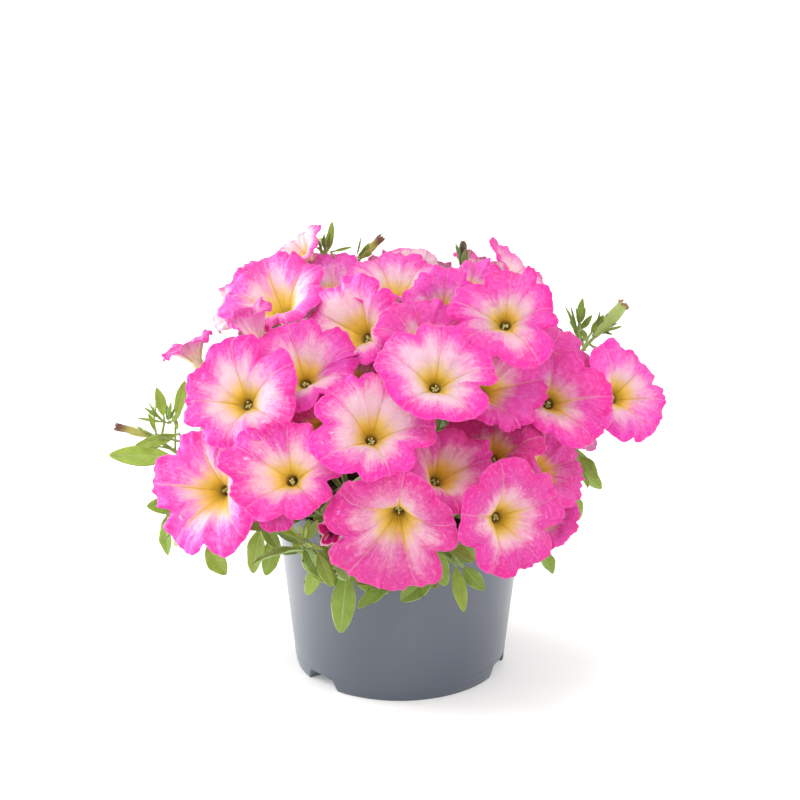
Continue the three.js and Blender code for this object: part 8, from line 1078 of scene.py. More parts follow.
    # Painted light: on the outside the depth value turns the pink a brighter lilac pink, partly the flower's own tint,
    # partly lifting backs that sit in shade.
    pink = g.mix(deep_and_shade, pink, srgb(255, 108, 244))
    col = g.mix(pinkness * (0.75 + deep_and_shade * 0.25), base, pink)
    col = g.mix(margin * 0.50 + g.ramp(t, 0.95, 1.0) * 0.4, col, g.mix(deep_and_shade, srgb(250, 88, 200), srgb(255, 96, 236)))
    col = g.mix(g.clamp(mott * 1.2), col, srgb(240, 140, 206))
    col = g.mix(g.gauss(x, 0.05) * (1.0 - g.ramp(t, 0.5, 0.9)) * 0.45, col, srgb(238, 222, 160))
    out = 1.0 - g.ramp(s_, -0.55, 0.10)
    col = g.mix(out * 0.8, col, srgb(244, 232, 168))
    col = g.mix((1.0 - g.ramp(s_, -1.0, -0.7)) * 0.7, col, srgb(180, 194, 98))
    height = vein * 0.6 + streak * 0.8 + g.gauss(x, 0.05) * 1.5 - wrink * 1.6 - mott * 0.8
    return g.surface(col, 0.60, g.bump(height, 0.45, 0.0007), through=0.22, spec=0.3, sheen=0.15)


def leafy(name, top):
    """The part UV holds (across, along), both 0 to 1."""
    g = Mat(name)
    v, u = g.uv()
    tint = E(g, g.attr("tint").outputs["Fac"])
    a = g.abs(v * 2.0 - 1.0)
    pl = g.place()
    n1 = g.noise(pl, 220.0, 3.0, 0.6)
    n2 = g.noise(pl, 70.0, 2.0, 0.5)
    w = g.fract((u - a * 0.22 + (n1 - 0.5) * 0.02) * 7.0)
    side = g.gauss(g.abs(w - 0.5), 0.075) * g.ramp(a, 0.98, 0.6) * g.ramp(a, 0.0, 0.12)
    mid = g.gauss(a, 0.075)
    edge = g.ramp(a, 0.90, 0.985)
    if top:
        # Painted light and shade: the per-leaf tint runs the blade from dark to bright yellow-green, partly its own
        # colour, partly how brightly it is lit.
        col = g.mix(tint, srgb(84, 124, 36), srgb(186, 208, 88))
        col = g.mix(g.ramp(n2, 0.35, 0.7) * 0.35, col, srgb(146, 172, 66))
        col = g.mix(g.ramp(n1, 0.35, 0.75) * 0.30, col, srgb(98, 138, 40))
        col = g.mix(side * 0.26, col, srgb(196, 214, 134))
        col = g.mix(mid * 0.55, col, srgb(206, 222, 150))
        col = g.mix(edge * 0.75, col, srgb(224, 236, 170))
        h = n1 * 0.5 - side * 0.9 - mid * 1.6
        return g.surface(col, 0.5, g.bump(h, 0.45, 0.0008), through=0.20, through_colour=g.mix(0.5, col, srgb(190, 214, 60)), spec=0.35, sheen=0.25)
    # Painted light and shade: the same per-leaf tint darkens or lightens the underside.
    col = g.mix(tint, srgb(116, 154, 66), srgb(180, 208, 112))
    col = g.mix(side * 0.5, col, srgb(206, 218, 164))
    col = g.mix(mid * 0.7, col, srgb(214, 224, 170))
    col = g.mix(edge * 0.4, col, srgb(216, 226, 172))
    h = n1 * 0.4 + side * 1.2 + mid * 2.0
    return g.surface(col, 0.62, g.bump(h, 0.5, 0.0008), through=0.20, through_colour=g.mix(0.5, col, srgb(190, 214, 60)), spec=0.25, sheen=0.3)


def stalk(name, dark, light, tip=None, rough=0.55, span=(0.62, 0.95)):
    """Stems, sepals and the like: lengthwise streaks and a bloom of short hairs, with a tip colour where one is given.
    """
    g = Mat(name)
    u, v = g.uv()
    tint = E(g, g.attr("tint").outputs["Fac"])
    pl = g.place()
    n1 = g.noise(pl, 300.0, 3.0, 0.6)
    n2 = g.noise(pl, 60.0, 2.0, 0.5)
    st = g.noise(g.vec(g.cos(u * 6.2832) * 2.0, g.sin(u * 6.2832) * 2.0, v * 1.5), 3.0, 2.0)
    col = g.mix(g.clamp(tint * 0.7 + (n2 - 0.5) * 0.8 + (st - 0.5) * 0.5 + 0.15), dark, light)
    col = g.mix(g.ramp(n1, 0.5, 0.8) * 0.35, col, srgb(206, 216, 170))
    if tip is not None:
        col = g.mix(g.ramp(v + (n1 - 0.5) * 0.12 + (st - 0.5) * 0.10, span[0], span[1]), col, tip)
    return g.surface(col, rough, g.bump(n1 + st, 0.5, 0.0005), spec=0.3, sheen=0.35)


def bud_inner():
    """The folded inside of a half-open corolla: pale at the rim, crimson deeper in, with painted shade darkening it
    towards its depth and in its folds.
    """
    g = Mat("bud_inner")
    u, v = g.uv()
    folds = g.noise(g.vec(g.cos(u * 6.2832) * 3.0, g.sin(u * 6.2832) * 3.0, v * 1.5), 1.0, 3.0, 0.6)
    lines = g.noise(g.vec(g.cos(u * 6.2832) * 22.0, g.sin(u * 6.2832) * 22.0, v * 2.0), 1.0, 2.0, 0.6)
    # Painted shade: the crimson darkens towards the depth of the mouth and into the hollows of the folds, over the
    # inside's own crimson.
    col = g.mix(g.ramp(v + (folds - 0.5) * 0.9 + (lines - 0.5) * 0.25, 0.15, 0.80), srgb(120, 4, 58), srgb(236, 20, 156))
    col = g.mix(g.ramp(v, 0.93, 0.995) * 0.7, col, srgb(252, 214, 220))
    return g.surface(col, 0.55, g.bump(folds + lines * 0.4, 0.5, 0.0008), spec=0.35, sheen=0.2)


def grainy(name, a, b_, scale, rough, strength, dist=0.001, spec=0.3):
    g = Mat(name)
    pl = g.place()
    n1 = g.noise(pl, scale, 4.0, 0.65)
    n2 = g.noise(pl, scale * 0.25, 2.0, 0.5)
    tint = E(g, g.attr("tint").outputs["Fac"])
    col = g.mix(g.clamp((n1 - 0.5) * 2.2 + tint), a, b_)
    col = g.mix(g.ramp(n2, 0.6, 0.8) * 0.4, col, a)
    return g.surface(col, rough, g.bump(n1, strength, dist), spec=spec)


def pot_plastic():
    g = Mat("pot_plastic")
    pl = g.place()
    px, py, pz = g.split(pl)
    fine = g.noise(pl, 1400.0, 3.0, 0.6)
    soft = g.noise(g.vec(px * 18.0, py * 18.0, pz * 5.0), 1.0, 2.0)
    flow = g.noise(g.vec(px * 60.0, py * 60.0, pz * 9.0), 1.0, 3.0)
    scuff = g.noise(g.vec(px * 90.0, py * 90.0, pz * 420.0), 1.0, 4.0, 0.7)
    col = g.mix(g.ramp(soft, 0.3, 0.7) * 0.5, srgb(70, 78, 91), srgb(75, 83, 96))
    col = g.mix(g.ramp(flow, 0.62, 0.85) * 0.25, col, srgb(94, 101, 111))
    col = g.mix(g.ramp(scuff, 0.70, 0.86) * 0.16 * g.ramp(pz, 0.02, 0.0), col, srgb(140, 146, 154))
    rough = 0.38 + (fine - 0.5) * 0.12 + (scuff - 0.5) * 0.10
    return g.surface(col, rough, g.bump(fine + flow * 0.6, 0.10, 0.0004), spec=0.5, coat=0.75, coat_rough=0.34)


M_FACE = petal("petal_face", True)
M_BACK = petal("petal_back", False)
M_STIGMA = stalk("stigma", srgb(150, 160, 60), srgb(196, 200, 110))
M_ANTHER = grainy("anther", srgb(206, 190, 110), srgb(240, 232, 184), 2600.0, 0.8, 0.6, 0.0003)
M_LEAF = leafy("leaf_top", True)
M_UNDER = leafy("leaf_under", False)
M_STEM = stalk("stem", srgb(112, 132, 60), srgb(168, 188, 104))
M_DARKBUD = stalk("dark_bud", srgb(58, 38, 30), srgb(104, 92, 48))
M_BUDGREEN = stalk("bud_green", srgb(116, 142, 60), srgb(170, 188, 106), tip=srgb(146, 92, 70), span=(0.90, 0.985))
M_SPENT = stalk("bud_spent", srgb(150, 150, 58), srgb(196, 186, 100), tip=srgb(112, 70, 50), span=(0.50, 0.92))
M_BUDPINK = stalk("bud_pink", srgb(240, 214, 190), srgb(246, 170, 206), tip=srgb(252, 226, 214), span=(0.86, 0.99))
M_BUDCREAM = stalk("bud_cream", srgb(206, 164, 120), srgb(242, 228, 192))
M_BUDIN = bud_inner()
M_SEPAL = stalk("sepal", srgb(86, 116, 50), srgb(150, 176, 84))
M_POT = pot_plastic()
M_SOIL = grainy("soil", srgb(22, 15, 12), srgb(74, 56, 46), 900.0, 0.95, 1.0, 0.0015, 0.15)
M_CRUMB = grainy("soil_crumb", srgb(30, 22, 18), srgb(104, 84, 70), 1500.0, 0.95, 0.8, 0.0008, 0.15)

# ---- leaves ---------------------------------------------------------------------------------
def blade_point(l, u, v):
    L, W, curl, fold, wav, ph = l
    c = curl if abs(curl) > 1e-4 else 1e-4
    u = np.asarray(u, float)[:, None]
    v = np.asarray(v, float)[None, :]
    hw = W / 2 * np.sin(np.pi * np.clip(u, 0, 1) ** 0.96) ** (0.62 + 0.34 * (1 - u))
    # the wave of the edge has a second, finer part; the pads between the side veins stand a little proud
    up = hw * np.abs(v) ** 1.3 * math.sin(fold) + (
        wav * np.sin(2 * np.pi * (1.8 * u + ph) + np.sign(v) * 0.9)
        + 0.35 * wav * np.sin(2 * np.pi * (4.7 * u + 2.3 * ph) + np.sign(v) * 1.7)
    ) * v * v * np.sin(np.pi * u)
    w = ((u - np.abs(v) * 0.22) * 7.0) % 1.0
    up = up + 0.020 * W * np.sin(np.pi * w) * np.sin(np.pi * np.clip(np.abs(v), 0, 1)) * np.sin(np.pi * u) ** 0.5
    x = L * np.sin(c * u) / c + up * np.sin(c * u)
    z = -L * (1 - np.cos(c * u)) / c + up * np.cos(c * u)
    return np.stack([x, hw * v * math.cos(fold) + 0 * x, z], -1), hw


def blade(b, at, q, l, top, under, tint=0.5, rows=18, half=5, side=None):
    """One leaf blade as a closed skin: rings run over the upper side and back below it."""
    M = turn(q) if side is None else side
    u = np.concatenate([[0.012, 0.035], np.linspace(0.08, 0.94, rows - 5), [0.97, 0.99, 0.998]])
    a = np.linspace(-1, 1, 2 * half + 1)
    v = np.sign(a) * np.abs(a) ** 0.85
    S, hw = blade_point(l, u, v)
    c = l[2]
    n = np.stack([np.sin(c * u), 0 * u, np.cos(c * u)], -1)[:, None]
    fade = np.clip(hw / 3.0, 0.12, 1)
    thick = (0.16 + 0.10 * (1 - v[None] ** 2)) * fade + 0.42 * np.exp(-(v[None] / 0.09) ** 2) * fade * (1 - 0.75 * u[:, None])
    groove = 0.30 * np.exp(-(v[None] / 0.10) ** 2) * fade
    up = S - n * groove[..., None]
    lo = S - n * thick[..., None] - n * groove[..., None] * 0.6
    rings = np.concatenate([up[:, ::-1], lo[:, 1:-1]], 1)
    cols = rings.shape[1]
    world = rings @ M.T + np.array(at, float)
    k = 2 * half + 1
    vv = np.concatenate([(v[::-1] + 1) / 2, (v[1:-1] + 1) / 2, [1.0]])
    mats = np.where(np.arange(cols) < k - 1, top, under)
    m = np.tile(mats, len(u) - 1)
    us = vv.copy()
    uv = grid_uv(us, u)
    # the last column of the underside joins back to the first ring point, at v = 1
    shell(b, world, m, us=us, vs=u, tint=tint)


# ---- stems, calyces, buds -------------------------------------------------------------------
def calyx(b, M, at, Lt, mat, seed, length=12.0, spread=1.0, base_r=1.5, mouth_r=3.4, n=5, wide=1.25):
    """A cup under a corolla's tube and five narrow sepals that lie along it and spread at their tips."""
    r = Stream(seed + 900)
    M = np.asarray(M)
    foot = np.array(at, float) - M[:, 2] * Lt
    prof = [(-2.6, base_r * 0.55), (-1.8, base_r * 0.9), (-0.6, base_r * 1.35), (0.8, base_r * 1.5), (2.6, mouth_r * 0.80), (3.4, mouth_r * 0.84)]
    inner = [(3.4, mouth_r * 0.70), (1.6, mouth_r * 0.62)]
    a = np.arange(12) * 2 * math.pi / 12
    rings = []
    for z, rr in prof + inner:
        ridge = 1 + 0.06 * np.cos(5 * a)
        rings.append(np.stack([rr * ridge * np.cos(a), rr * ridge * np.sin(a), z + 0 * a], -1))
    rings = np.array(rings) @ M.T + foot
    shell(b, rings, mat, tint=0.35 + 0.3 * r.u())
    off = r.u() * 6.28
    for k in range(n):
        th = off + 2 * math.pi * k / n + 0.12 * r.g()
        L = length * (0.85 + 0.3 * r.u())
        out = spread * (0.5 + 0.8 * r.u())
        t = np.linspace(0, 1, 9)
        z = 1.0 + L * t * (1 - 0.10 * out * t)
        rad = mouth_r * 0.74 + 0.35 + 0.5 * t + out * 4.6 * t ** 2.4 + 0.10 * L * t * 0.5
        ctr = np.stack([rad * math.cos(th), rad * math.sin(th), z], -1)
        tang = np.array([-math.sin(th), math.cos(th), 0])
        sway = 0.9 * r.g()
        ctr = ctr + tang * (sway * t ** 2)[:, None]
        d, _ = frames(ctr)
        nrm = np.cross(tang, d)
        nrm /= np.linalg.norm(nrm, axis=1, keepdims=True)
        w = wide * (0.85 + 0.3 * r.u()) * np.clip(np.sin(math.pi * (0.14 + 0.83 * t)) ** 0.7, 0.12, 1)
        ring = []
        for aa, bb in ((-1, 0.0), (-0.55, 0.16), (0, 0.20), (0.55, 0.16), (1, 0.0), (0.55, -0.22), (0, -0.30), (-0.55, -0.22)):
            ring.append(ctr + tang * (aa * w)[:, None] + nrm * (bb - 0.25 * aa * aa) * w[:, None] * 0.9)
        rings = np.stack(ring, 1) @ M.T + foot
        shell(b, rings, mat, tint=0.3 + 0.5 * r.u())


def bud(b, M, at, L, r0, mat, seed, prof, pleats=5, depth=0.10, twist=0.6, tint=None, cols=30, rows=26, crinkle=0.0, mouth=None, rag=0.0, inner=None, flute=0.0):
    """A rolled bud: a pleated, slightly twisted spindle along +Z of M; mouth (depth, radius) opens its tip, and the
    radius in it is not used.
    """
    r = Stream(seed + 500)
    M = np.asarray(M)
    pz, pr = np.array(prof, float).T
    t = np.linspace(0, 1, rows)
    rad = np.interp(t, pz, pr)
    for _ in range(2):
        rad[1:-1] = 0.25 * rad[:-2] + 0.5 * rad[1:-1] + 0.25 * rad[2:]
    a = np.arange(cols) * 2 * math.pi / cols
    ph = r.us(6) * 6.28
    sw = r.gs(6)
    rings = []
    for i, tt in enumerate(t):
        aa = a + twist * tt
        pl = 1 + depth * np.clip(tt * 2.2, 0, 1) * (np.abs(np.cos(pleats * aa / 2 + ph[0])) - 0.6)
        cr = 1 + crinkle * (0.6 * np.sin(7 * aa + 9 * tt + ph[1]) * sw[1] + 0.5 * np.sin(3 * aa - 14 * tt + ph[2]) + 0.4 * np.sin(11 * aa + 21 * tt + ph[3]))
        rr = rad[i] * r0 * pl * cr
        bendx = crinkle * 2.2 * math.sin(2.2 * tt + ph[4]) * tt * r0
        far = max(0.0, (tt - 0.72) / 0.28) ** 1.6
        edge = rag * far * (0.55 * np.sin(5 * a + ph[4]) + 0.30 * np.sin(8 * a + ph[5]) + 0.22 * np.sin(17 * a + ph[1]))
        rr = rr * (1 + flute * far * (0.6 * np.cos(5 * a + ph[3]) + 0.5 * np.cos(3 * a + ph[0])))
        rings.append(np.stack([rr * np.cos(a) + bendx, rr * np.sin(a), edge + tt * L], -1))
    deepness = []
    if mouth:
        dz, mr = mouth
        for k, (f, dd) in enumerate(((0.86, 0.03), (0.7, 0.35), (0.45, 0.8), (0.2, 1.0))):
            base = rings[rows - 1]
            c = base.mean(0)
            z = base[:, 2:] * (1 - dd) + c[2] * dd - dz * dd
            rings.append(np.concatenate([c[None, :2] + (base[:, :2] - c[:2]) * f, z], 1))
            deepness.append(1.0 - 0.97 * dd)
    rings = np.array(rings)
    vs = np.concatenate([t, deepness])
    mats = mat
    if inner is not None and mouth:
        mats = np.full((len(rings) - 1, cols), mat)
        mats[rows - 1:] = inner
        mats = mats.ravel()
    shell(b, rings @ M.T + np.array(at, float), mats, vs=vs, tint=tint if tint is not None else 0.5)


def grow_shoot(i, b):
    r = Stream(4000 + i)
    for kind, path, radii, ref in SHOOTS[i]:
        P = np.array(path, float).reshape(-1, 3)
        if kind == "leaf":
            at, q, L, W, curl, fold, wav, ph = LEAVES[ref]
            M = turn(q)
            pts, rad = smooth(np.vstack([P, np.array(at) + M[:, 0] * 0.9]), list(radii) + [0.55], 2.6)
            tube(b, pts, rad, 2, sides=7, tint=0.35 + 0.4 * r.u(), end=M[:, 0])
            blade(b, at, q, (L, W, curl, fold, wav, ph), 0, 1, tint=LEAF_TINT_AND_SHADE[ref] if ref < len(LEAF_TINT_AND_SHADE) else 0.5)
        else:
            pts, rad = smooth(P, radii, 3.0)
            tube(b, pts, rad, 2, sides=8, tint=0.3 + 0.4 * r.u())
            if kind == "tip_bud":
                at, q, L, rr = TIP_BUD
                M = turn(q)
                bud(b, M, at, L, rr, 4, 77, BUD_TIGHT, tint=0.4)
                calyx(b, M, at, 1.0, 3, 78, length=9, spread=0.4, base_r=1.1, mouth_r=2.4)
    for key, (shoot, Lt) in CALYX_ON.items():
        if shoot == i:
            f = COROLLAS[key]
            calyx(b, turn(f[1]), f[0], f[4], 3, 31 + key, length=11 if f[2] < 20 else 13, spread=1.0)
    for shoot, path, at, q, L, W, curl, fold, wav, ph, tint in FILLERS:
        if shoot == i:
            M = turn(q)
            pts, rad = smooth(np.array(path, float).reshape(-1, 3), [min(0.7, 0.16 * W + 0.15)] * (len(path) // 3), 3.0)
            tube(b, pts, rad, 2, sides=5, tint=0.4, end=M[:, 0])
            slim = W < 5.5
            blade(b, at, q, (L, W, curl, fold, wav, ph), 0, 1, tint=tint, rows=10 if slim else 13, half=2 if slim else 3)


for i in range(len(SHOOTS)):
    b = Build()
    grow_shoot(i, b)
    ob = b.make("shoot_body_%d" % (i + 1), [M_LEAF, M_UNDER, M_STEM, M_SEPAL, M_DARKBUD])
    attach(ob, "root")
    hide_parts("shoot_%d" % (i + 1))
    TRIS["shoot_%d" % (i + 1)] = b.tris()

# ---- corollas -------------------------------------------------------------------------------
def corolla_points(f, th, s, detail=1.0):
    """The mid surface of a corolla in its own frame, (len(th), len(s), 3). Midribs lie at multiples of 72 degrees of th,
    which ribs then shifts to their true directions."""
    at, q_, R, h, Lt, seed, bend, ribs, lobes, cuts, frill = f
    r = Stream(seed)
    r.gs(5)
    r.us(5)
    notch = np.asarray(cuts, float)
    phase = r.us(12) * 2 * np.pi
    swing = r.gs(12)
    saddle = r.us(3) * 2 * np.pi
    fp = r.us(10) * 2 * np.pi
    fa = r.gs(10)
    bulge = r.gs(10)
    wide = 0.12 + 0.06 * r.us(5) + 0.45 * notch
    fold = r.gs(5)
    waves = r.gs(12).reshape(6, 2)
    wp = r.us(6) * 2 * np.pi
    th = np.asarray(th, float)[:, None]
    s = np.asarray(s, float)[None, :]
    q = th / (2 * np.pi / 5)
    x = ((q + 0.5) % 1.0 - 0.5) * 2
    ax = np.abs(x)
    k0 = np.floor(q).astype(int) % 5
    k1 = (k0 + 1) % 5
    w = q - np.floor(q)
    w = w * w * (3 - 2 * w)
    ribs = np.asarray(ribs, float)
    lobes = np.asarray(lobes, float)
    lob = lobes[k0] * (1 - w) + lobes[k1] * w
    turned = th + ribs[k0] * (1 - w) + ribs[k1] * w
    tenth = np.floor(2 * q).astype(int) % 10
    rip = 0.30 * sum(swing[i] * np.cos((6 + i) * th + phase[i]) / (1 + 0.15 * i) for i in range(12))
    fine = sum(fa[i] * np.cos((17 + 4 * i) * th + fp[i]) for i in range(8)) / 2.4
    Rt = R * lob * (0.950 + 0.060 * np.sin(np.pi * np.clip(ax, 0, 1)) ** 0.8 * (1 + 0.35 * bulge[tenth] * np.sin(np.pi * ax))
                    + 0.036 * np.exp(-(ax / 0.075) ** 1.4)
                    - notch[k0] * np.exp(-((1 - ax) / wide[k0]) ** 1.6) + 0.011 * frill * rip + 0.008 * frill * detail * fine)
    t = np.clip(s, 0, 1)
    u = np.clip(-s, 0, 1)
    r0 = 3.1
    rho = np.where(s > 0, r0 + (Rt - r0) * t, 1.6 + (r0 - 1.6) * (1 - u) ** 0.8 + 0 * th)
    z = h * (1 - (1 - t) ** 2.25)
    valley = np.exp(-np.sqrt(x * x + 0.0014) / 0.25) - 0.25
    z = z - 2.8 * (np.sin(np.pi * t ** 0.62) * 0.9 + 0.22 * t) * valley
    z = z - 1.1 * fold[k0] * np.exp(-((1 - ax) / 0.12) ** 2) * np.clip((t - 0.5) / 0.5, 0, 1) ** 1.5
    q2 = th / (np.pi / 5)
    j0 = np.floor(q2).astype(int) % 10
    j1 = (j0 + 1) % 10
    w2 = q2 - np.floor(q2)
    w2 = w2 * w2 * (3 - 2 * w2)
    bend = np.asarray(bend, float)
    bl = bend[j0] * (1 - w2) + bend[j1] * w2
    sad = 0.6 * np.cos(2 * th + saddle[0]) + 0.35 * np.cos(3 * th + saddle[1])
    z = z - 2.5 * np.clip(t - 0.55, 0, 1) ** 2 / 0.2 * (0.65 + 0.35 * np.cos(np.pi * x)) + 1.6 * t * t * sad - bl * t * t
    z = z + 1.7 * frill * rip * np.clip((t - 0.35) / 0.65, 0, 1) ** 2
    # fine puckers that fade towards the centre, and crinkles in the tissue
    k = R / 28.0 * detail
    z = z + 0.50 * k * frill * fine * np.clip((t - 0.45) / 0.55, 0, 1) ** 1.6
    z = z + 0.22 * k * np.sin(9 * np.pi * t + 6 * ax + fp[8]) * np.sin(np.pi * ax) * np.sin(np.pi * t) ** 2
    X, Y = rho * np.cos(turned), rho * np.sin(turned)
    crink = sum(np.sin(0.9 * (0.6 + abs(waves[i, 0])) * (X * np.cos(2.4 * i + waves[i, 1]) + Y * np.sin(2.4 * i + waves[i, 1])) + wp[i]) for i in range(6))
    z = z + 0.13 * k * crink * np.clip((t - 0.2) / 0.4, 0, 1)
    z = np.where(s > 0, z, -Lt * u + 0 * th)
    return np.stack([X, Y, z], -1)


FRONT_S = [1, 0.985, 0.96, 0.92, 0.87, 0.81, 0.75, 0.68, 0.61, 0.54, 0.47, 0.40, 0.33, 0.27, 0.21, 0.16, 0.11, 0.07, 0.03, 0, -0.06, -0.15, -0.3, -0.5, -0.75, -0.95]
BACK_S = [1, 0.97, 0.92, 0.85, 0.77, 0.68, 0.58, 0.48, 0.38, 0.28, 0.2, 0.13, 0.07, 0.02, 0, -0.05, -0.15, -0.3, -0.5, -0.75, -1]


def sheet(f, cols, s):
    th = np.arange(cols) * 2 * np.pi / cols
    P = corolla_points(f, th, s)
    A = corolla_points(f, th + 0.004, s) - corolla_points(f, th - 0.004, s)
    s = np.asarray(s, float)
    D = corolla_points(f, th, np.minimum(s + 0.01, 1)) - corolla_points(f, th, np.maximum(s - 0.01, -1))
    n = np.cross(D, A)
    n /= np.maximum(np.linalg.norm(n, axis=-1, keepdims=True), 1e-9)
    return P.transpose(1, 0, 2), n.transpose(1, 0, 2)


def bake_uv(us, vs, side):
    """Where each quad of the corolla lands in the baked picture: two discs for the limb, one strip for the tube's outside."""
    uv = grid_uv(us, vs, flip=True)
    th, s = uv[..., 0] * 2 * np.pi, uv[..., 1]
    t = np.clip(s, 0, 1)
    out = np.empty_like(uv)
    if side == 0:
        rho = np.where(s >= 0, 0.24 * (0.15 + 0.85 * t), 0.036 * (1 + s))
        out[..., 0], out[..., 1] = 0.25 + rho * np.cos(th), 0.75 + rho * np.sin(th)
        return out
    rho = 0.24 * (0.12 + 0.88 * t)
    out[..., 0], out[..., 1] = 0.75 + rho * np.cos(th), 0.75 + rho * np.sin(th)
    tube_ = s.min(axis=-1) < -1e-6
    out[tube_, :, 0] = 0.02 + 0.86 * uv[tube_][..., 0]
    out[tube_, :, 1] = 0.02 + 0.40 * (1 + s[tube_])
    return out


def corolla(i, cols):
    f = COROLLAS[i]
    at, q, R, h, Lt, seed = f[:6]
    M = turn(q)
    fs, bs = FRONT_S[::-1], BACK_S
    if cols < 130:
        fs = [x for k, x in enumerate(fs) if k % 4 != 3 or x in (1, 0)]
        bs = [x for k, x in enumerate(bs) if k % 4 != 3 or x in (1, 0)]
    half = 0.17
    P, n = sheet(f, cols, fs)
    s_f = np.array(fs)
    front = P + n * (half * np.clip((1.02 - s_f) * 12, 0.45, 1))[:, None, None]
    rim = P[-1] + unit_rows(P[-1] - P[-2]) * 0.12
    Q, m = sheet(f, cols, bs)
    s_b = np.array(bs)
    back = Q - m * (half * np.clip((1.02 - s_b) * 12, 0.45, 1))[:, None, None]
    rings = np.concatenate([front, rim[None], back])
    vs = np.concatenate([s_f, [1.0], s_b])
    us = np.linspace(0, 1, cols + 1)
    nf = len(fs)
    mats = np.concatenate([np.zeros(nf * cols, int), np.ones(len(bs) * cols, int)])
    bk = np.concatenate([bake_uv(us, vs[: nf + 1], 0), bake_uv(us, vs[nf:], 1)])
    b = Build()
    shell(b, rings @ M.T + np.array(at), mats, us=us, vs=vs, flip=True, bake=bk)
    r = Stream(seed + 70)
    o = np.array(at, float)
    lean = np.array([0.25 * r.g(), 0.25 * r.g(), 0])
    line = np.array([[0, 0, -Lt * 0.8], [0.1, 0, -Lt * 0.4], lean + [0, 0, -1.6]])
    tube(b, line @ M.T + o, [0.3, 0.3, 0.34], 2, sides=6)
    ball(b, (lean + [0, 0, -1.2]) @ M.T + o, (0.8, 0.8, 0.5), 2, axis=M[:, 2], rows=6, cols=9)
    for k in range(5):
        a = 2 * math.pi * k / 5 + 0.5 * r.g()
        d = 1.35 + 0.2 * r.g()
        z = -0.5 - 1.2 * r.u()
        top = np.array([d * math.cos(a), d * math.sin(a), z])
        line = np.array([[1.1 * math.cos(a), 1.1 * math.sin(a), -Lt * 0.75], [1.3 * math.cos(a), 1.3 * math.sin(a), -Lt * 0.4], top])
        tube(b, line @ M.T + o, [0.16, 0.15, 0.14], 2, sides=4)
        ball(b, top @ M.T + o, (0.55, 0.55, 0.8), 3, axis=M @ np.array([0.5 * math.cos(a + 1.5), 0.5 * math.sin(a + 1.5), 1.0]), rows=5, cols=7)
    white, deep_and_shade, yellow, warm, lilac_and_light = LOOKS[i]
    ob = b.make("corolla_%02d" % (i + 1), [M_FACE, M_BACK, M_STIGMA, M_ANTHER], bake=True,
                attrs={"look": (white, deep_and_shade, (seed * 0.137) % 1.0, 1), "look2": (yellow, warm, lilac_and_light, 1)})
    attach(ob, "root")
    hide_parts("flower_%02d" % (i + 1))
    TRIS["corolla_%02d" % (i + 1)] = b.tris()


def unit_rows(v):
    return v / np.maximum(np.linalg.norm(v, axis=-1, keepdims=True), 1e-9)


for i in range(len(COROLLAS)):
    corolla(i, 168 if i < 34 and COROLLAS[i][2] > 17 else 120)

# ---- pot ------------------------------------------------------------------------------------
POT_BASE_R, POT_TAPER, POT_WALL, RIM_Z, POT_H = 53.5, 0.108, 1.5, 88.0, 97.0
NOTCH_AT, NOTCH_HALF, NOTCH_H, NOTCH_R, HOOD = (-138.0, -19.5, 100.5), (12.0, 8.5), 6.5, 46.0, 1.4


def wall_r(z):
    return POT_BASE_R + 0.1 + POT_TAPER * z


def pot_columns():
    """Directions of the profile's copies, degrees, crowded at the flanks of each notch."""
    a = set(np.round(np.arange(0, 360, 1.8), 3))
    for c in NOTCH_AT:
        a = {x for x in a if abs((x - c + 180) % 360 - 180) > NOTCH_HALF[0] + 1.2}
        for s_ in (-1, 1):
            for d in (NOTCH_HALF[0] + 0.9, NOTCH_HALF[0] + 0.45, NOTCH_HALF[0] + 0.2, NOTCH_HALF[0] + 0.04, NOTCH_HALF[0] - 0.04, NOTCH_HALF[0] - 0.2, NOTCH_HALF[0] - 0.6,
                      NOTCH_HALF[0] - 1.6, 8.4, 6.0, 3.6, 1.2):
                a.add(round((c + s_ * d) % 360, 3))
    return np.array(sorted(a))


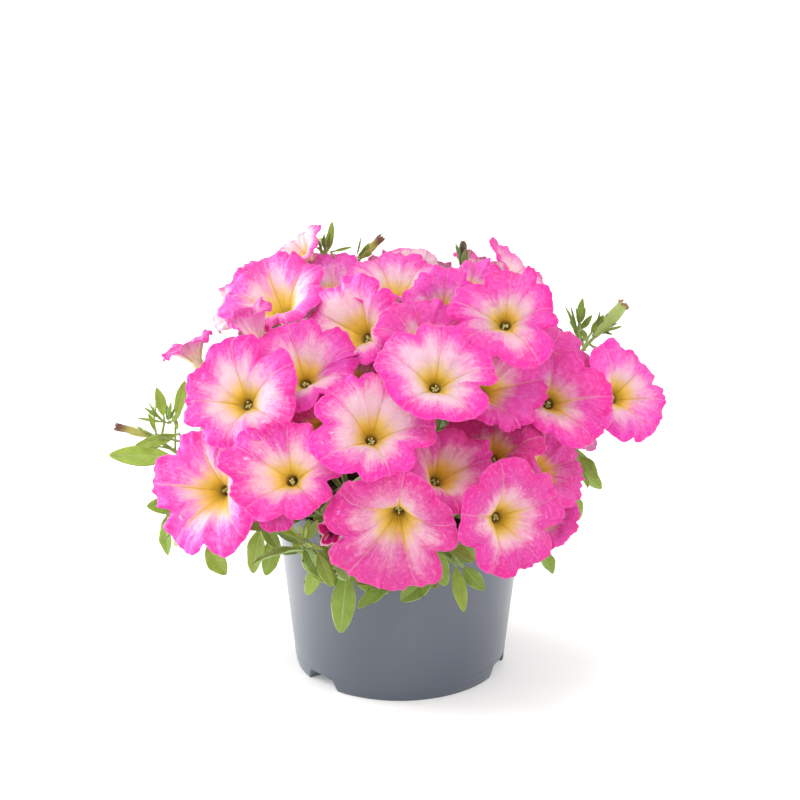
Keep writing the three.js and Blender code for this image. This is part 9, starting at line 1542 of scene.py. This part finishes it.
def pot_mesh():
    cols = pot_columns()
    n = len(cols)
    # outside, from the middle of the foot to the rim: (radius, height)
    foot = [(20, 0.0), (40, 0.0), (46, 0.0), (51.4, 0.0), (52.6, 0.0)]
    low = [(53.15, 0.12), (53.42, 0.4), (53.52, 0.8), (53.85, 2.2), (wall_r(3.8), 3.8), (wall_r(5.2), 5.2), (wall_r(6.0) + 0.03, 6.0), (wall_r(6.5) + 0.05, 6.5)]
    step = [(wall_r(6.9) + 0.05, 6.9), (wall_r(7.1) - 0.02, 7.1), (wall_r(7.35) - 0.09, 7.35), (wall_r(7.6) - 0.12, 7.6)]
    wall = [(wall_r(z) - 0.12 * max(0, 1 - (z - 7.6) / 6), z) for z in (9.0, 12, 17, 24, 32, 40, 48, 56, 64, 71, 77, 82, 85.5, 87.2)]
    rim = [(wall_r(87.8) + 0.05, 87.8), (63.5, 88.05), (64.3, 88.2), (64.62, 88.45), (64.75, 88.9), (65.0, 90.5), (65.3, 92.6), (65.55, 94.6), (65.75, 96.0),
           (65.72, 96.45), (65.55, 96.8), (65.2, 96.97), (64.8, 97.0), (64.5, 96.93), (64.25, 96.7), (64.12, 96.3)]
    inside = [(63.9, 94.5), (63.4, 91.5), (63.05, 89.6), (62.5, 88.4), (wall_r(87.4) - 1.5, 87.4), (wall_r(80) - 1.5, 80), (wall_r(60) - 1.5, 60), (wall_r(40) - 1.5, 40),
              (wall_r(20) - 1.5, 20), (wall_r(10) - 1.6, 10)]
    hood = [(wall_r(8.4) - 1.7, 8.4), (wall_r(7.9) - 1.8, 7.9), (wall_r(6.5) - 1.9, 6.5), (wall_r(4) - 2.0, 4.0), (wall_r(2.4) - 2.2, 2.4)]
    floor = [(45.0, 2.0), (30.0, 2.0), (15.0, 2.0)]
    prof = np.array(foot + low + step + wall + rim + inside + hood + floor, float)
    nl0, nl1 = len(foot), len(foot) + len(low)
    h0 = len(foot + low + step + wall + rim + inside)
    notch = prof.copy()
    # in a notch, the foot ends at NOTCH_R, the low wall goes up there and then out under the wall
    notch[3:5] = [(45.6, 0.0), (45.9, 0.05)]
    notch[2] = (44.5, 0.0)
    up = [(46.0, 0.5), (46.0, 2.6), (46.0, 4.6), (46.0, 6.3), (46.4, 6.5), (49.0, 6.5), (52.2, 6.5), (wall_r(6.5) - 0.25, 6.5)]
    notch[nl0:nl1] = up
    notch[nl1] = (wall_r(6.9) + 0.03, 6.75)
    notch[h0:h0 + 5] = [(wall_r(8.4) - 1.7, 8.4), (52.0, 7.95), (44.8, 7.9), (44.6, 5.0), (44.6, 2.4)]
    notch[h0 + 5] = (44.0, 2.0)
    ang = np.radians(cols)
    rows = len(prof)
    R = np.tile(prof[:, 0][:, None], (1, n))
    Z = np.tile(prof[:, 1][:, None], (1, n))
    A = np.tile(ang[None], (rows, 1))
    for c in NOTCH_AT:
        d = (cols - c + 180) % 360 - 180
        inn = np.abs(d) < NOTCH_HALF[0]
        R[:, inn] = notch[:, 0][:, None]
        Z[:, inn] = notch[:, 1][:, None]
        # the flanks lean in towards the top
        near = np.abs(d) < 20
        for i in range(rows):
            z = Z[i]
            half = NOTCH_HALF[0] + (NOTCH_HALF[1] - NOTCH_HALF[0]) * np.clip(z / NOTCH_H, 0, 1)
            k = np.where(np.abs(d) <= NOTCH_HALF[0], half / NOTCH_HALF[0], 1.0)
            beyond = (half - NOTCH_HALF[0]) * np.clip(1 - (np.abs(d) - NOTCH_HALF[0]) / 8.0, 0, 1)
            nd = np.where(np.abs(d) <= NOTCH_HALF[0], d * k, d + np.sign(d) * beyond)
            w = 1.0 if prof[i, 1] < 8.0 else max(0.0, 1 - (prof[i, 1] - 8.0) / 16.0)
            A[i, near] = np.radians(c + (d + (nd - d) * w)[near])
    rings = np.stack([R * np.cos(A), R * np.sin(A), Z], -1)
    # moulded thin plastic: the wall is never quite true
    wob = 0.12 * np.sin(2 * A + 0.6) + 0.07 * np.sin(3 * A + 2.0) + 0.04 * np.sin(5 * A + 1.0)
    k = (np.clip((Z - 12) / 70, 0, 1) * wob)[..., None]
    rings = rings + np.stack([np.cos(A), np.sin(A), 0 * A], -1) * k
    us = np.concatenate([cols, [cols[0] + 360]]) / 360
    b = Build()
    shell(b, rings, 0, us=us, vs=np.linspace(0, 1, rows))
    ob = b.make("pot_body", [M_POT])
    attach(ob, "root")
    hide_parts("pot")
    TRIS["pot"] = b.tris()
    return ob


pot_mesh()

# ---- soil -----------------------------------------------------------------------------------
def soil_mesh():
    r = Stream(8123)
    b = Build()
    cols = 150
    a = np.arange(cols) * 2 * math.pi / cols
    inner = lambda z: wall_r(z) - POT_WALL - 0.55
    waves = [(r.g() * 0.16, r.g() * 0.16, r.u() * 6.28, 0.35 * r.g()) for _ in range(10)] + [(r.g() * 0.8, r.g() * 0.8, r.u() * 6.28, 0.26 * r.g()) for _ in range(22)] + [(r.g() * 2.2, r.g() * 2.2, r.u() * 6.28, 0.13 * r.g()) for _ in range(30)]

    def lump(x, y):
        z = 0 * x
        for kx, ky, p, w in waves:
            z = z + w * np.sin(kx * x + ky * y + p)
        return z

    rings = [np.stack([R * np.cos(a), R * np.sin(a), np.full(cols, z)], -1) for R, z in
             ((20, 2.4), (43.4, 2.4), (43.8, 3.0), (43.8, 8.2), (inner(9.2) - 0.4, 9.4), (inner(40), 40), (inner(78), 78))]
    top = inner(83.6)
    for k in np.concatenate([[1.0, 0.992, 0.975], np.linspace(0.95, 0.02, 52)]):
        R = top * k
        x, y = R * np.cos(a), R * np.sin(a)
        z = 83.6 + 2.4 * (1 - k * k) - 0.5 * np.clip((k - 0.96) / 0.04, 0, 1) + lump(x, y) * (1 - 0.6 * np.clip((k - 0.97) / 0.03, 0, 1))
        j = 0.35 * np.sin(13 * a + 31 * k) * (1 - np.clip((k - 0.95) / 0.05, 0, 1))
        rings.append(np.stack([(R + j) * np.cos(a), (R + j) * np.sin(a), z], -1))
    shell(b, np.array(rings), 0)
    for _ in range(220):
        rr = top * math.sqrt(r.u()) * 0.965
        th = r.u() * 6.283
        x, y = rr * math.cos(th), rr * math.sin(th)
        size = 0.5 + 1.5 * r.u() ** 2.2
        z = 83.6 + 2.4 * (1 - (rr / top) ** 2) + float(lump(np.array(x), np.array(y))) + 0.25 * size
        ax = (r.g(), r.g(), r.g() + 0.01)
        crumb(b, (x, y, z), size * np.array([0.7 + 0.5 * r.u(), 0.6 + 0.5 * r.u(), 0.8 + 1.1 * r.u()]), ax, r)
    ob = b.make("soil_body", [M_SOIL, M_CRUMB])
    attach(ob, "root")
    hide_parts("soil")
    TRIS["soil"] = b.tris()


def crumb(b, at, radii, axis, r):
    """A broken bit of bark or peat: a squashed ball with pushed-in sides."""
    rows, cols = 6, 8
    ph = np.linspace(math.pi - 0.2, 0.2, rows)
    th = np.arange(cols) * 2 * math.pi / cols
    p = np.stack([np.outer(np.sin(ph), np.cos(th)), np.outer(np.sin(ph), np.sin(th)), np.outer(np.cos(ph), np.ones(cols))], -1)
    k = r.us(4) * 6.28
    f = 1 + 0.16 * np.sin(3 * p[..., 0] * 1.6 + k[0]) + 0.16 * np.sin(4.1 * p[..., 1] + k[1]) + 0.12 * np.sin(5.3 * p[..., 2] + k[2])
    p = p * f[..., None] * radii
    z = unit(np.array(axis, float))
    x = unit(np.cross(z, [0.3, 0.1, 1.0]))
    shell(b, p @ np.stack([x, np.cross(z, x), z]) + np.array(at), 1, tint=0.15 + 0.7 * r.u())


soil_mesh()

# ---- buds -----------------------------------------------------------------------------------
def bud_piece(k, name, mats, slot, seed, prof, calyx_len, **how):
    at, q, L, r0 = BUDS[k]
    M = turn(q)
    b = Build()
    bud(b, M, at, L, r0, 0, seed, prof, **how)
    ob = b.make(name, mats)
    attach(ob, "root")
    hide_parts("bud_%d" % (k + 1))
    TRIS[name] = b.tris()


bud_piece(0, "bud_green_body", [M_BUDGREEN, M_BUDCREAM], "bud_green", 11, BUD_SHAPE, 12, pleats=10, depth=0.08, cols=60, rows=40, tint=0.6, mouth=(3.2, 0.5), rag=1.3, flute=0.22, inner=1)
bud_piece(1, "bud_spent_body", [M_SPENT, M_BUDCREAM], "bud_spent", 12, BUD_SPENT, 10, pleats=7, depth=0.2, crinkle=0.10, cols=48, rows=44, tint=0.6, mouth=(2.0, 0.5), rag=0.8, flute=0.15)
bud_piece(2, "bud_spent_top", [M_SPENT, M_BUDCREAM], "bud_spent", 13, BUD_SPENT, 10, pleats=7, depth=0.2, crinkle=0.12, cols=48, rows=44, tint=0.5, mouth=(1.6, 0.5), rag=1.0, flute=0.15)
bud_piece(3, "bud_half_open", [M_BUDPINK, M_BUDIN], "bud_pink", 14, BUD_OPEN, 10, pleats=10, depth=0.10, crinkle=0.03, cols=100, rows=44, tint=0.4, mouth=(9.0, 0.5), rag=1.5, flute=0.30, inner=1)

# ---- floor ----------------------------------------------------------------------------------
def floor():
    me = bpy.data.meshes.new("floor")
    s = 8.0
    me.from_pydata([(-s, -s, 0), (s, -s, 0), (s, s, 0), (-s, s, 0)], [], [(0, 1, 2, 3)])
    ob = bpy.data.objects.new("floor", me)
    scene.collection.objects.link(ob)
    g = Mat("floor")
    pl = g.place()
    n = g.noise(pl, 30.0, 3.0)
    g.surface(g.mix(n * 0.2, srgb(250, 250, 250), srgb(248, 248, 248)), 0.9, spec=0.1, glow=0.20)
    me.materials.append(g.mat)


floor()

print("triangles", sum(TRIS.values()), "largest", max(TRIS.items(), key=lambda kv: kv[1]))
